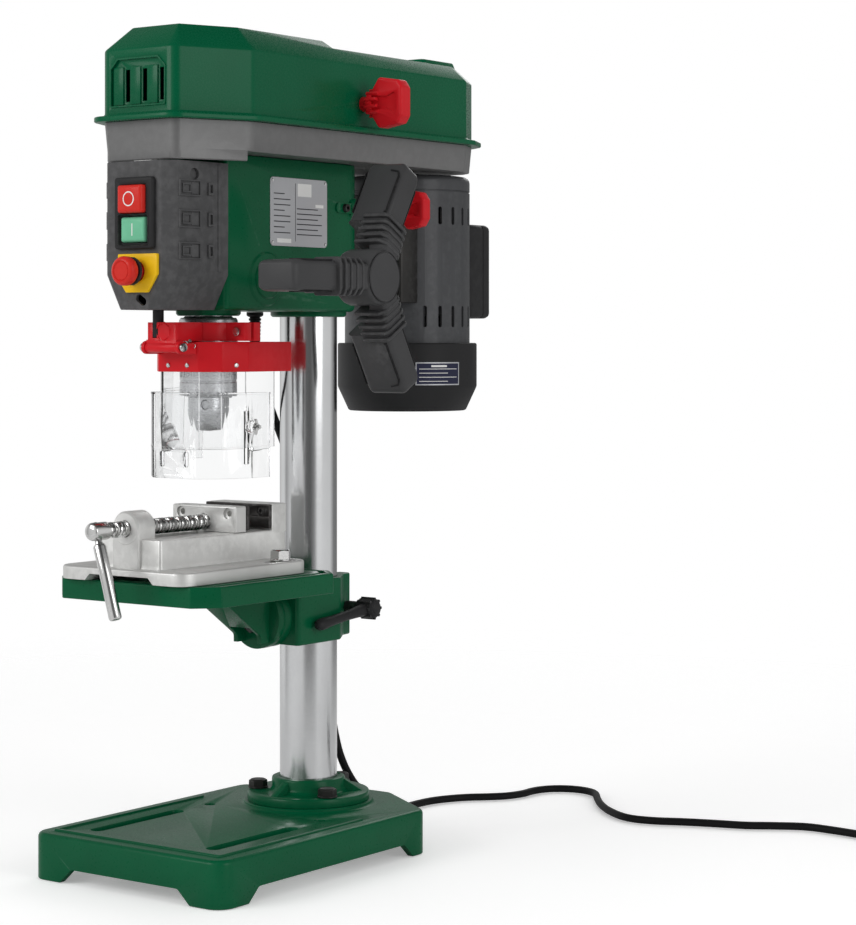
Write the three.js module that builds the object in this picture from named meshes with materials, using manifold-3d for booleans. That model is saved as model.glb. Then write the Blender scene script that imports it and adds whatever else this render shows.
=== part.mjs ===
// Benchtop drill press with a drill vise: millimetres, +Z up, the operator stands on the -Y side.
// Everything is laid out from the column's axis on the bench, and the finished machine is then
// moved so that the middle of its footprint is the origin.
import * as THREE from 'three';
import { mergeVertices } from 'three/addons/utils/BufferGeometryUtils.js';
import Module from 'manifold-3d';

const wasm = await Module();
wasm.setup();

// Layout of the machine
const spindleReach = 122;
const motorReach = 134;
const columnRadius = 23;
const columnWall = 3;
const headBottom = 429;
const headHeight = 117.5;
const bracketBottom = 167;
const tiltAxisHeight = 188.6;
const tableTopHeight = 40;

// Fits, cuts and smoothness
const clearance = 0.3;
const overrun = 2;
const sink = 1;
const hairBevel = 0.5;
const hairGroove = 0.6;
const hairRim = 0.8;
const fineBevel = 1.5;
const bevel = 2;
const midBevel = 2.5;
const wideBevel = 3;
const broadBevel = 4;
const deepBevel = 5;
const sidesFine = 18;
const sidesMedium = 12;
const sidesSmall = 8;
const cornerSteps = 2;
const sharpest = 0.2;
const weld = 0.0001;

// Base casting
const baseHalfWidth = 95;
const baseFront = -217;
const baseShoulder = 29;
const baseRear = 73;
const baseRearHalfWidth = 29;
const baseHeight = 35;
const baseWall = 6;
const baseDeck = 8;
const baseCorner = 14;
const baseEdge = 3;
const footHeight = 11;
const footLength = 30;
const footSlant = 12;
const beadInset = 12;
const beadWidth = 3;
const beadHeight = 1.5;
const beadRear = -36;
const baseSlotX = 58;
const baseSlotFront = -188;
const baseSlotRear = -88;
const baseSlotWidth = 12;
const benchHoleX = 56;
const benchHoleY = -56;
const benchHoleRadius = 4.5;
const columnSeatRadius = 52;
const columnSeatRise = 3;

// Column flange and its bolts
const flangeRadius = 49;
const flangeThickness = 7;
const collarRadius = 29.4;
const collarHeight = 18;
const ribReach = 44;
const ribThickness = 6;
const flangeBoltCircle = 41;
const flangeBoltRadius = 4;
const flangeBoltHead = 13;
const flangeBoltHeadHeight = 5.5;
const washerRadius = 8;
const washerThickness = 1.5;
const columnSeatGap = 0.3;
const columnHeadroom = 17.5;
const columnInHead = headHeight - columnHeadroom;

// Table bracket
const bracketHeight = 50;
const bracketHalfWidth = 30;
const bracketFront = -50;
const bracketShoulder = 4;
const bracketSlot = 3.2;
const earHalfWidth = 12;
const earWaist = 14;
const earWaistY = 28;
const earRear = 40;
const clampAxisY = 32.5;
const clampAxisHeight = 23;
const clampScrewRadius = 4;
const clampHubStart = 28;
const clampHubLength = 16;
const clampHubRadius = 8;
const clampHubRibs = 6;
const clampArmRadius = 4.6;
const clampArmEndY = -34;
const clampArmDrop = 8;
const tiltDiscRadius = 24;
const tiltDiscDepth = 8;
const tiltBoltRadius = 6;
const tiltBoltHead = 19;
const tiltBoltHeadHeight = 7;
const tiltBoltThreadEnd = -32;

// Table
const tableHalfWidth = 80;
const tableNose = 93;
const tableFront = -spindleReach - tableNose;
const tableRear = -52.5;
const tableCorner = 16.5;
const tableThickness = 15.4;
const tableDeck = 7;
const tableWall = 5;
const tableEdge = 1.2;
const troughInset = 5;
const troughWidth = 6;
const troughDepth = 3;
const tableSlotX = 54;
const tableSlotAhead = 63;
const tableSlotFront = -spindleReach - tableSlotAhead;
const tableSlotBehind = 42;
const tableSlotRear = -spindleReach + tableSlotBehind;
const tableSlotWidth = 9.4;
const tableHoleRadius = 10;
const webHalfWidth = 14;
const webFront = -126;
const webLowFront = -76;
const webWall = 4;
const webBossDepth = 8;
const underRibThickness = 4;
const underRibHeight = 6;

// Drill vise, laid out from the spindle's line
const viseHalfWidth = 64;
const viseFront = -100;
const viseRear = 46;
const viseFlange = 10;
const viseCorner = 14;
const viseEdge = 1.5;
const viseBodyHalfWidth = 32;
const viseBodyFront = -89.5;
const viseBodyRear = 55;
const viseBodyTop = 31.5;
const viseJawTop = 51.5;
const viseRelief = 29;
const viseReliefSlant = 5;
const viseReliefHeight = 5;
const viseChannelHalfWidth = 8;
const viseChannelFront = -70;
const viseChannelRear = 30;
const viseBossFront = -93;
const viseBossRear = -73.5;
const viseBossRadius = 13;
const viseScrewHeight = 39;
const viseScrewRadius = 6;
const viseNoseRadius = 6.6;
const viseNoseFront = -130;
const viseNoseRear = -113;
const viseFixedJawFront = 37.4;
const visePlateThickness = 3.7;
const visePlateHeight = 18.5;
const viseMovingFront = -5;
const viseMovingDepth = 12;
const viseTongueDrop = 12;
const viseJawHoleX = 23.5;
const viseJawHoleHeight = 46;
const viseJawHoleRadius = 2.3;
const viseHandleY = -123;
const viseHandleRadius = 4.7;
const viseHandleStart = 9.5;
const viseHandleEnd = 66;
const viseNeckRadius = 2.6;
const viseHandleLean = 17;
const viseSlotLength = 34;
const viseSlotWidth = 9;
const viseRightBoltY = 21;
const viseLeftBoltY = -38;
const viseBoltRadius = 4;
const viseBoltHead = 14;
const viseBoltHeadHeight = 7;
const viseBoltEnd = 9;

// Head casting
const headHalfWidth = 36;
const headNose = 21;
const headFront = -spindleReach - headNose;
const headWall = 6;
const headRearRound = 33;
const headCavityRear = -12;
const headEdge = 2.5;
const columnBossRadius = 30.5;
const columnNeckDrop = 4;
const quillBossRadius = 24.75;
const quillBoreClearance = 0.3;
const feedReach = 26;
const feedAxisHeight = 24;
const feedBossRadius = 15;
const feedBossDepth = 3.5;
const lockScrewDrop = 35;
const lockScrewHeight = headHeight - lockScrewDrop;
const lockScrewRadius = 3;
const lockScrewProud = 4.5;
const lugRadius = 9;
const lugFront = 12;
const lugRear = 60;
const lugX = 30;
const slideRodRadius = 5;
const knobBossY = 52;
const knobBossRadius = 7.5;
const knobBossReach = 44;

// Front housing and switches
const housingNose = 83;
const housingFront = -spindleReach - housingNose;
const housingFrontHalfWidth = 26.5;
const housingFacetX = 34;
const housingFacetDepth = 6;
const housingFacetY = housingFront + housingFacetDepth;
const housingSideX = 38;
const housingCheekDepth = 39;
const housingSideY = housingFront + housingCheekDepth;
const housingWall = 3;
const housingHeadGap = 8;
const housingTop = headHeight - housingHeadGap;
const housingChamferWidth = 14;
const housingChamferHeight = 26;
const clipWidth = 6;
const clipProud = 2;
const clipShares = [[0.706, 0.77], [0.511, 0.609], [0.323, 0.404]];
const clipSpans = clipShares.map((pair) => pair.map((share) => headHeight * share));
const switchX = 2.5;
const bezelLowShare = 0.379;
const bezelHighShare = 0.83;
const stopLowShare = 0.604;
const stopHighShare = 0.779;
const startLowShare = 0.421;
const startHighShare = 0.579;
const estopShare = 0.238;
const bezelHalfWidth = 19;
const bezelLow = headHeight * bezelLowShare;
const bezelHigh = headHeight * bezelHighShare;
const bezelProud = 4;
const bezelFrame = 6;
const stopLow = headHeight * stopLowShare;
const stopHigh = headHeight * stopHighShare;
const startLow = headHeight * startLowShare;
const startHigh = headHeight * startHighShare;
const buttonHalfWidth = 12;
const stopProud = 6;
const startProud = 2;
const buttonDepth = 9;
const estopX = 5;
const estopHeight = headHeight * estopShare;
const estopRadius = 10.8;
const estopStemRadius = 6;
const estopPlateThickness = 3;
const estopCapDepth = 8;
const estopBase = 8;
const switchBoxDepth = 14;
const estopReach = 20;

// Belt housing and lid
const panNose = 79;
const panFront = -spindleReach - panNose;
const panFrontHalfWidth = 35.5;
const panHalfWidth = 62;
const panTaperLength = 59;
const panShoulder = panFront + panTaperLength;
const panRearShoulder = 133;
const panTailHalfWidth = 50;
const panTailY = 158;
const panRearHalfWidth = 38;
const panRear = 166;
const panWall = 2.5;
const panDraft = 2;
const panFloorGap = 0.3;
const panDepth = 22.2;
const panSkirtDrop = 7;
const panSkirtLength = 56;
const panSkirtRear = panFront + panSkirtLength;
const pulleyHoleRadius = 17;
const motorSlotWidth = 24;
const motorSlotFront = 108;
const motorSlotRear = 148;
const lidFlange = 8;
const lidFlangeThickness = 4;
const lidWall = 2.5;
const lidCrease = 53.5;
const lidHeight = 72;
const lidSlope = 20;
const windowHalfWidth = 27;
const windowLow = 14;
const windowHigh = 44;
const windowBars = 3;
const windowBarWidth = 12;
const windowBarPitch = 17;
const windowDepth = 1.4;
const hingeX = -73;
const hingeRise = 2;
const hingePinRadius = 1.8;
const knuckleRadius = 3.6;
const knuckleLength = 12;
const hingeFront = -100;
const hingeRear = 90;
const lidKnobY = -8;
const lidKnobHeight = 23;
const wingStem = 8;
const wingHub = 9;
const wingLength = 34;
const wingHalfWidth = 19;
const wingThickness = 7;
const wingTipHalfWidth = 12;
const knobScrewRadius = 3;
const knobScrewLength = 12;
const lockKnobScale = 0.8;

// Drive
const pulleySteps = 4;
const pulleyPitch = 13;
const pulleyFlangeGap = 2.2;
const spindlePulleySmall = 27;
const pulleyStepChange = 4;
const grooveDepth = 6;
const grooveFloor = 2.2;
const pulleyHeadGap = 5.5;
const pulleyBottom = headHeight + pulleyHeadGap;
const beltThickness = 5;
const beltTopWidth = 7.6;
const beltInnerWidth = 4.1;
const beltSeat = 0.4;
const beltSteps = 9;
const splineRadius = 8.5;
const splineRoot = 7.4;
const splineTeeth = 6;

// Spindle, quill and feed
const quillRadius = 18;
const quillCollarRadius = 22.4;
const quillBottom = -25;
const quillCollarTop = -5.5;
const quillHeadroom = 19.5;
const quillTop = headHeight - quillHeadroom;
const bearingRadius = 15;
const bearingWidth = 10;
const spindleRadius = 8.4;
const spindleProud = 63.5;
const spindleTop = headHeight + spindleProud;
const rackModule = 1.25;
const pinionTeeth = 16;
const rackTeeth = 18;
const rackLead = 2;
const pressureAngle = 20;
const gearBacklash = 0.3;
const pinionHalfWidth = 6;
const feedShaftRadius = 6;
const feedShaftLeft = 42;
const springCapRadius = 22;
const springCapDepth = 18;
const springCapWall = 2;
const springNutRadius = 9;
const springNutDepth = 7;

// Feed handle
const handleFace = 149;
const handleHubRadius = 21;
const handleHubDepth = 36;
const handleCapRadius = 18.5;
const handleCapRecess = 1.2;
const handleArms = 3;
const handleReach = 95;
const handleHalfWidth = 9.5;
const handleNeckHalfWidth = 8.5;
const handleNeckDepth = 13;
const handleGripDepth = 36;
const handleGripStart = 44;
const handleArmLap = 12;
const handleSweep = 8;
const handleFins = 3;
const handleFinPitch = 7;
const handleFinThickness = 1.8;
const handleFinDepth = 24;

// Chuck
const chuckTop = -28;
const sleeveRadius = 21.5;
const sleeveBore = 17.7;
const sleeveTop = -30;
const sleeveBottom = -65;
const sleeveTeeth = 15;
const sleeveToothDepth = 3;
const sleeveToothRoot = 1.2;
const sleeveToothTip = 0.7;
const chuckUpperRadius = 17.3;
const chuckBodyRadius = 14.6;
const chuckNoseRadius = 9.6;
const chuckBottom = -89;
const chuckRoundStart = -76;
const chuckBoreRadius = 6.6;
const arborRadius = 7.9;
const arborBottom = -50;
const jawBoreRadius = 3.5;
const jawRadius = 3.15;
const jawAngle = 15.5;
const jawTopReach = 10.6;
const jawTopHeight = -63;
const jawLength = 21;
const jawStart = 2.4;
const jawStroke = 6;
const keyHoleRadius = 3;
const keyHoleHeight = -71.5;
const keyHoleDepth = 4;

// Chuck guard
const bandOuter = 27;
const bandBottom = -23.2;
const bandTop = -9.2;
const bandSlot = 3;
const bandEarReach = 44;
const bandEarHalfWidth = 9;
const bandEarHoleRadius = 2;
const bandEarHoleInset = 7;
const guardBlockHalfWidth = 15;
const guardBlockFront = -53;
const guardNutFlats = 13;
const guardNutX = 2;
const guardAxisY = -51;
const guardAxisHeight = -28;
const guardPinRadius = 1.6;
const guardPinHalfLength = 20;
const guardPinHeadRadius = 3.4;
const guardEarRadius = 5;
const guardEarHalfWidth = 17.6;
const guardEarThickness = 3;
const depthRodX = -7;
const depthRodY = -49;
const depthRodRadius = 4.2;
const depthRodBottom = -21;
const depthRodTop = 70;
const depthNutRadius = 8;
const depthNutHeight = 10;
const depthNutLow = 54;
const frameTop = -23.8;
const frameBottom = -46.5;
const frameFrontY = -35;
const frameFrontHalfWidth = 19.6;
const frameFacetX = 33;
const frameFacetY = -21.6;
const frameSideX = 40;
const frameSideY = 0;
const frameRear = 51;
const frameWall = 2.4;
const shieldWall = 1.8;
const innerShieldBottom = -104;
const innerShieldTop = -27;
const innerShieldRear = 34;
const outerShieldGap = 2.6;
const outerShieldTop = -62;
const outerShieldBottom = -126.5;
const outerShieldRear = 20;
const shieldSlotWidth = 3.4;
const shieldSlotLow = -116;
const shieldSlotHigh = -76;
const shieldSlotY = -5;
const shieldScrewHeight = -88;
const shieldScrewRadius = 1.4;

// Motor
const motorBottom = -82;
const fanCoverRadius = 59;
const fanCoverTop = -25;
const fanCoverChamferTop = -61.6;
const fanCoverFloorRadius = 50;
const fanCoverWall = 2.5;
const fanCoverLap = 8;
const fanCoverSpigot = 12;
const grilleSlots = 6;
const grilleInner = 16;
const grilleOuter = 40;
const grilleSlotWidth = 4;
const motorRadius = 53;
const motorPanGap = 2.5;
const motorTop = headHeight - motorPanGap;
const motorCapDepth = 13;
const motorCapSeam = motorTop - motorCapDepth;
const motorCapRound = 5;
const motorWall = 3;
const ventCount = 20;
const ventWidth = 3.5;
const ventHeight = 15;
const ventDrop = 41.5;
const ventHigh = motorTop - ventDrop;
const statorOuter = 51;
const statorInner = 31;
const statorLow = -2;
const statorHeadroom = 53;
const statorHigh = motorTop - statorHeadroom;
const rotorRadius = 30;
const motorShaftRadius = 6;
const fanRadius = 46;
const fanBlades = 6;
const fanBladeThickness = 3;
const fanHubRadius = 14;
const fanLow = -76;
const fanHigh = -48;
const terminalHalfWidth = 29;
const terminalRear = 83;
const terminalLow = -4;
const terminalDrop = 38;
const terminalHigh = motorTop - terminalDrop;
const terminalEdge = 3;
const saddleFront = -60;
const saddleRear = -30;
const saddleHalfWidth = 38;
const saddleLow = 8;
const saddleRise = 15.5;
const saddleHigh = lockScrewHeight + saddleRise;
const slideRodFront = -111;

// Mains lead, as laid on the bench
const cordRadius = 3.2;
const cordSides = 6;
const glandX = -22.5;
const glandY = -40;
const glandLength = 24;
const glandRadius = 5.2;
const glandTipRadius = 4.3;
const cordRoute = [
  [-22.5, -40, 404.6], [-22.8, -39, 394], [-24.6, -30, 373], [-30, -6, 342], [-35, 20, 306],
  [-37.5, 38, 268], [-37.5, 50, 228], [-29, 61, 120], [-21.5, 62.5, 78], [-16.5, 65.5, 57],
  [-12, 73.7, 39.5], [-10, 85, 28.2], [-11, 98, 15.6], [-13.5, 112, 7], [-16.5, 127, 3.8],
  [-20, 170, 3.6], [-17, 198, 3.6], [-5, 222, 3.6], [12, 239.5, 3.6], [22.2, 251.8, 3.6],
  [27.6, 268.2, 3.6], [27.8, 284.1, 3.6], [30.9, 296.3, 3.6], [37.5, 305.8, 3.6], [47.9, 312.4, 3.6],
  [60.1, 314.5, 3.6], [72.1, 311.6, 3.6], [82, 304.2, 3.6], [94.9, 286.6, 3.6], [112, 265.5, 3.6],
  [134, 245, 3.6], [160, 230, 3.6], [184, 232, 3.6], [208, 243, 3.6], [232, 252, 3.6],
  [256, 260, 3.6], [277, 273, 3.6], [299, 284, 3.6], [322, 284.5, 3.6],
  [364, 280, 3.6], [378, 280, 3.6],
];
const cordTubeSteps = 40;
const coilRadius = 36;
const coilLayerTurns = 1.25;
const coilClimbTurns = 0.5;
const coilGrooveShare = 1.25;
const coilLayerShare = 1.1;
const coilSteps = 16;
const coilSides = 6;
const plugLength = 38;
const plugWidth = 36;
const plugThickness = 21;
const plugPinRadius = 2.4;
const plugPinLength = 19;
const plugPinSpacing = 19;

const finish = (color, roughness, metalness = 0) => new THREE.MeshStandardMaterial({ color, roughness,
  metalness });
const finishes = {
  castGreen: finish(0x0f5a3c, 0.45, 0.1),
  lidGreen: finish(0x004b2d, 0.35, 0.1),
  sheetGrey: finish(0x6e6e6e, 0.4, 0.4),
  housingGrey: finish(0x4a4a4a, 0.6),
  blackPlastic: finish(0x1c1c1c, 0.55),
  handleBlack: finish(0x242424, 0.5),
  motorGrey: finish(0x4c4e50, 0.45, 0.2),
  guardRed: finish(0xb02026, 0.35),
  stopRed: finish(0xc8281e, 0.4),
  startGreen: finish(0x7cc8a0, 0.4),
  steel: finish(0xb8b8b8, 0.3, 0.9),
  boltSteel: finish(0x2a2a2a, 0.45, 0.7),
  chrome: finish(0xd8d8d8, 0.15, 1),
  castAluminium: finish(0xc9c9c7, 0.5, 0.7),
  darkPlate: finish(0x33302e, 0.5, 0.6),
  clearShield: finish(0xe8f0f0, 0.1),
  beltRubber: finish(0x181818, 0.8),
  cordRubber: finish(0x141414, 0.6),
};

const axisBasis = {
  x: new THREE.Matrix4().makeBasis(new THREE.Vector3(0, 1, 0), new THREE.Vector3(0, 0, 1),
    new THREE.Vector3(1, 0, 0)),
  y: new THREE.Matrix4().makeBasis(new THREE.Vector3(1, 0, 0), new THREE.Vector3(0, 0, 1),
    new THREE.Vector3(0, -1, 0)),
  z: new THREE.Matrix4(),
};

function piece(name, geometry, material) {
  const mesh = new THREE.Mesh(geometry, material);
  mesh.name = name;
  return mesh;
}

function group(position, ...members) {
  const holder = new THREE.Group();
  holder.position.set(...position);
  holder.add(...members);
  return holder;
}

function toSolid(geometry) {
  const bare = new THREE.BufferGeometry();
  const source = geometry.index ? geometry.toNonIndexed() : geometry;
  bare.setAttribute('position', source.getAttribute('position').clone());
  const merged = mergeVertices(bare, weld);
  return new wasm.Manifold(new wasm.Mesh({
    numProp: 3,
    vertProperties: new Float32Array(merged.getAttribute('position').array),
    triVerts: new Uint32Array(merged.index.array),
  }));
}

function toGeometry(solid) {
  const mesh = solid.getMesh();
  const geometry = new THREE.BufferGeometry();
  geometry.setAttribute('position', new THREE.BufferAttribute(new Float32Array(mesh.vertProperties), 3));
  geometry.setIndex(new THREE.BufferAttribute(new Uint32Array(mesh.triVerts), 1));
  geometry.computeVertexNormals();
  return geometry;
}

// Joins the solids of the first list and cuts the second list from them.
function shaped(solids, cuts = []) {
  let body = solids.map(toSolid).reduce((sum, next) => sum.add(next));
  for (const cut of cuts) body = body.subtract(toSolid(cut));
  return toGeometry(body);
}

function common(first, second) {
  return toGeometry(toSolid(first).intersect(toSolid(second)));
}

function move(geometry, x, y, z) {
  return geometry.translate(x, y, z);
}

function block(low, high) {
  const size = high.map((value, i) => value - low[i]);
  const geometry = new THREE.BoxGeometry(...size);
  return geometry.translate(...high.map((value, i) => (value + low[i]) / 2));
}

// A round bar on the x, y or z axis, from one place on it to another.
function rod(radius, from, to, axis = 'z', sides = sidesMedium) {
  const geometry = new THREE.CylinderGeometry(radius, radius, to - from, sides);
  geometry.translate(0, (from + to) / 2, 0);
  if (axis === 'z') geometry.rotateX(Math.PI / 2);
  if (axis === 'x') geometry.rotateZ(-Math.PI / 2);
  return geometry;
}

function hexagon(acrossFlats, from, to, axis = 'z') {
  return rod(acrossFlats / Math.sqrt(3), from, to, axis, 6);
}

function ringBar(inner, outer, from, to, sides = sidesFine) {
  return lathe([[inner, from], [outer, from], [outer, to], [inner, to]], sides, true);
}

// A turned body: the profile is [radius, height], counter-clockwise, and may close on itself.
function lathe(profile, sides = sidesFine, closed = false) {
  const points = profile.map(([radius, height]) => new THREE.Vector2(radius, height));
  if (closed) points.push(points[0].clone());
  return new THREE.LatheGeometry(points, sides).rotateX(Math.PI / 2);
}

// The outline through rounded corners [x, y, radius], counter-clockwise, drawn in by an inset.
function outline(corners, inset = 0) {
  const points = [];
  corners.forEach(([x, y, radius = 0], index) => {
    const before = corners.at(index - 1);
    const after = corners[(index + 1) % corners.length];
    const arrive = new THREE.Vector2(x - before[0], y - before[1]).normalize();
    const leave = new THREE.Vector2(after[0] - x, after[1] - y).normalize();
    const turn = Math.atan2(arrive.cross(leave), arrive.dot(leave));
    const shift = inset / (1 + arrive.dot(leave));
    const corner = new THREE.Vector2(
      x - (arrive.y + leave.y) * shift,
      y + (arrive.x + leave.x) * shift,
    );
    if (radius === 0) {
      points.push(corner);
      return;
    }
    const bend = Math.max(radius - Math.sign(turn) * inset, sharpest);
    const start = corner.clone().addScaledVector(arrive, -bend * Math.tan(Math.abs(turn) / 2));
    const side = new THREE.Vector2(-arrive.y, arrive.x).multiplyScalar(Math.sign(turn) * bend);
    const centre = start.clone().add(side);
    for (let step = 0; step <= cornerSteps; step += 1) {
      points.push(start.clone().rotateAround(centre, (turn * step) / cornerSteps));
    }
  });
  return points;
}

// A solid whose outline keeps its corners while its inset changes from level to level.
function stack(corners, heights, axis = 'z') {
  const levels = axis === 'y' ? heights.map(([height, inset]) => [-height, inset]).reverse() : heights;
  const rings = levels.map(([height, inset]) => outline(corners, inset).map((p) => [p.x, p.y, height]));
  const count = rings[0].length;
  const positions = rings.flat(2);
  const index = [];
  for (let level = 0; level + 1 < rings.length; level += 1) {
    for (let i = 0; i < count; i += 1) {
      const a = level * count + i;
      const b = level * count + ((i + 1) % count);
      index.push(a, b, b + count, a, b + count, a + count);
    }
  }
  const cap = (level, flip) => {
    const flat = rings[level].map(([x, y]) => new THREE.Vector2(x, y));
    for (const [a, b, c] of THREE.ShapeUtils.triangulateShape(flat, [])) {
      const corner = [a, flip ? c : b, flip ? b : c];
      index.push(...corner.map((i) => i + level * count));
    }
  };
  cap(0, true);
  cap(rings.length - 1, false);
  const geometry = new THREE.BufferGeometry();
  geometry.setAttribute('position', new THREE.Float32BufferAttribute(positions, 3));
  geometry.setIndex(index);
  return geometry.applyMatrix4(axisBasis[axis]);
}

function prism(corners, from, to, axis = 'z', inset = 0) {
  return stack(corners, [[from, inset], [to, inset]], axis);
}

function rectangle(x0, y0, x1, y1, radius = 0) {
  return [[x0, y0, radius], [x1, y0, radius], [x1, y1, radius], [x0, y1, radius]];
}

function mirrored(corners) {
  const other = corners.map(([x, y, radius]) => [-x, y, radius]).reverse();
  return [...corners, ...other];
}

function turned(geometry, axis, degrees) {
  const angle = THREE.MathUtils.degToRad(degrees);
  if (axis === 'x') return geometry.rotateX(angle);
  if (axis === 'y') return geometry.rotateY(angle);
  return geometry.rotateZ(angle);
}

function around(count, make) {
  return Array.from({ length: count }, (_, index) => turned(make(), 'z', (360 * index) / count));
}

function buildBase() {
  const corners = mirrored([
    [baseHalfWidth, baseFront, baseCorner],
    [baseHalfWidth, baseShoulder, baseCorner],
    [baseRearHalfWidth, baseRear, baseCorner],
  ]);
  const skin = stack(corners, [[0, 0], [baseHeight - baseEdge, 0], [baseHeight - baseEdge / 3, baseEdge / 3],
    [baseHeight, baseEdge]]);
  const hollow = prism(corners, -overrun, baseHeight - baseDeck, 'z', baseWall);
  const arch = (low, high, from, to, axis) => prism([
    [low, -overrun], [high, -overrun], [high, 0], [high - footSlant, footHeight],
    [low + footSlant, footHeight], [low, 0],
  ], from, to, axis);
  const archEnd = baseHalfWidth - footLength;
  const bead = prism(corners, baseHeight - overrun, baseHeight + beadHeight, 'z', beadInset);
  const beadInside = prism(corners, baseHeight - 2 * overrun, baseHeight + overrun, 'z',
    beadInset + beadWidth);
  const beadGap = block([-baseHalfWidth, beadRear, baseHeight - 2 * overrun],
    [baseHalfWidth, baseRear, baseHeight + overrun]);
  const slot = (x) => prism(rectangle(x - baseSlotWidth / 2, baseSlotFront, x + baseSlotWidth / 2,
    baseSlotRear,
    baseSlotWidth / 2.1), 0, baseHeight + overrun);
  const benchHole = (x) => move(rod(benchHoleRadius, 0, baseHeight + overrun, 'z', sidesSmall), x,
    benchHoleY, 0);
  const boltHoles = flangeBoltPlaces().map(([x, y]) => move(
    rod(flangeBoltRadius + clearance, 0, baseHeight + 3 * columnSeatRise, 'z', sidesSmall), x, y, 0));
  const plate = shaped([skin], [hollow,
    arch(-archEnd, archEnd, baseFront - overrun, baseRear + overrun, 'y'),
    arch(baseFront + footLength, baseShoulder - footLength / 2, -baseHalfWidth - overrun,
      baseHalfWidth + overrun, 'x'),
    slot(-baseSlotX), slot(baseSlotX), benchHole(-benchHoleX), benchHole(benchHoleX)]);
  const ring = shaped([bead], [beadInside, beadGap]);
  const seat = rod(columnSeatRadius, baseHeight - baseDeck, baseHeight + columnSeatRise, 'z', sidesFine);
  return shaped([plate, ring, seat], boltHoles);
}

function flangeBoltPlaces() {
  return [-150, -30, 90].map((degrees) => {
    const angle = THREE.MathUtils.degToRad(degrees);
    return [flangeBoltCircle * Math.cos(angle), flangeBoltCircle * Math.sin(angle)];
  });
}

function buildFlange() {
  const bore = columnRadius + clearance;
  const turnedBody = lathe([
    [bore, 0], [flangeRadius, 0], [flangeRadius, flangeThickness - bevel], [flangeRadius - bevel,
      flangeThickness],
    [collarRadius + wideBevel, flangeThickness], [collarRadius, flangeThickness + broadBevel],
    [collarRadius, collarHeight - sink], [collarRadius - sink, collarHeight], [bore, collarHeight],
  ], sidesFine, true);
  const ribs = [30, 150, 270].map((degrees) => turned(prism([
    [columnRadius + bevel, sink], [ribReach, sink], [ribReach, flangeThickness], [collarRadius,
      collarHeight - bevel],
    [columnRadius + bevel, collarHeight - bevel],
  ], -ribThickness / 2, ribThickness / 2, 'y'), 'z', degrees));
  const holes = flangeBoltPlaces().map(([x, y]) => move(
    rod(flangeBoltRadius + clearance, -overrun, collarHeight, 'z', sidesSmall), x, y, 0));
  return shaped([turnedBody, ...ribs], holes);
}

function buildHexBolt(headFlats, headHeight, shankRadius, shankLength) {
  return shaped([
    rod(washerRadius, 0, washerThickness, 'z', sidesMedium),
    hexagon(headFlats, washerThickness - clearance, washerThickness + headHeight),
    rod(shankRadius, -shankLength, washerThickness, 'z', sidesSmall),
  ]);
}

function buildColumn() {
  const top = headBottom + columnInHead;
  const low = baseHeight + columnSeatRise + columnSeatGap;
  return lathe([
    [columnRadius - columnWall, low], [columnRadius - sink, low], [columnRadius, low + sink],
    [columnRadius, top - sink], [columnRadius - sink, top], [columnRadius - columnWall, top],
  ], sidesFine, true);
}

function buildStand() {
  const flangeHeight = baseHeight + columnSeatRise + clearance;
  const bolts = flangeBoltPlaces().map(([x, y], index) => {
    const bolt = piece(`flange_bolt_${index + 1}`,
      buildHexBolt(flangeBoltHead, flangeBoltHeadHeight, flangeBoltRadius, flangeThickness + baseDeck),
      finishes.boltSteel);
    bolt.position.set(x, y, flangeHeight + flangeThickness + clearance);
    return bolt;
  });
  return group([0, 0, 0],
    piece('base_plate', buildBase(), finishes.castGreen),
    group([0, 0, flangeHeight], piece('column_flange', buildFlange(), finishes.castGreen)),
    piece('column', buildColumn(), finishes.steel),
    ...bolts);
}

function buildBracket() {
  const corners = mirrored([
    [bracketHalfWidth, bracketFront, 4], [bracketHalfWidth, bracketShoulder, 8],
    [earWaist, earWaistY, 3], [earHalfWidth, earRear, 2],
  ]);
  const tiltZ = tiltAxisHeight - bracketBottom;
  const body = stack(corners, [[0, sink], [sink, 0], [bracketHeight - sink, 0], [bracketHeight, sink]]);
  const disc = move(rod(tiltDiscRadius - clearance, bracketFront - tiltDiscDepth, bracketFront + overrun, 'y',
    sidesFine), 0, 0, tiltZ);
  const bore = rod(columnRadius + clearance, -overrun, bracketHeight + overrun, 'z', sidesFine);
  const slot = block([-bracketSlot / 2, 0, -overrun], [bracketSlot / 2, earRear + overrun,
    bracketHeight + overrun]);
  const screwHole = move(rod(clampScrewRadius + clearance, -earWaist - overrun, earWaist + overrun, 'x',
    sidesMedium), 0, clampAxisY, clampAxisHeight);
  const tiltHole = move(rod(tiltBoltRadius + clearance, bracketFront - tiltDiscDepth - overrun,
    tiltBoltThreadEnd + clearance, 'y', sidesMedium), 0, 0, tiltZ);
  return shaped([body, disc], [bore, slot, screwHole, tiltHole]);
}

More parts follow.
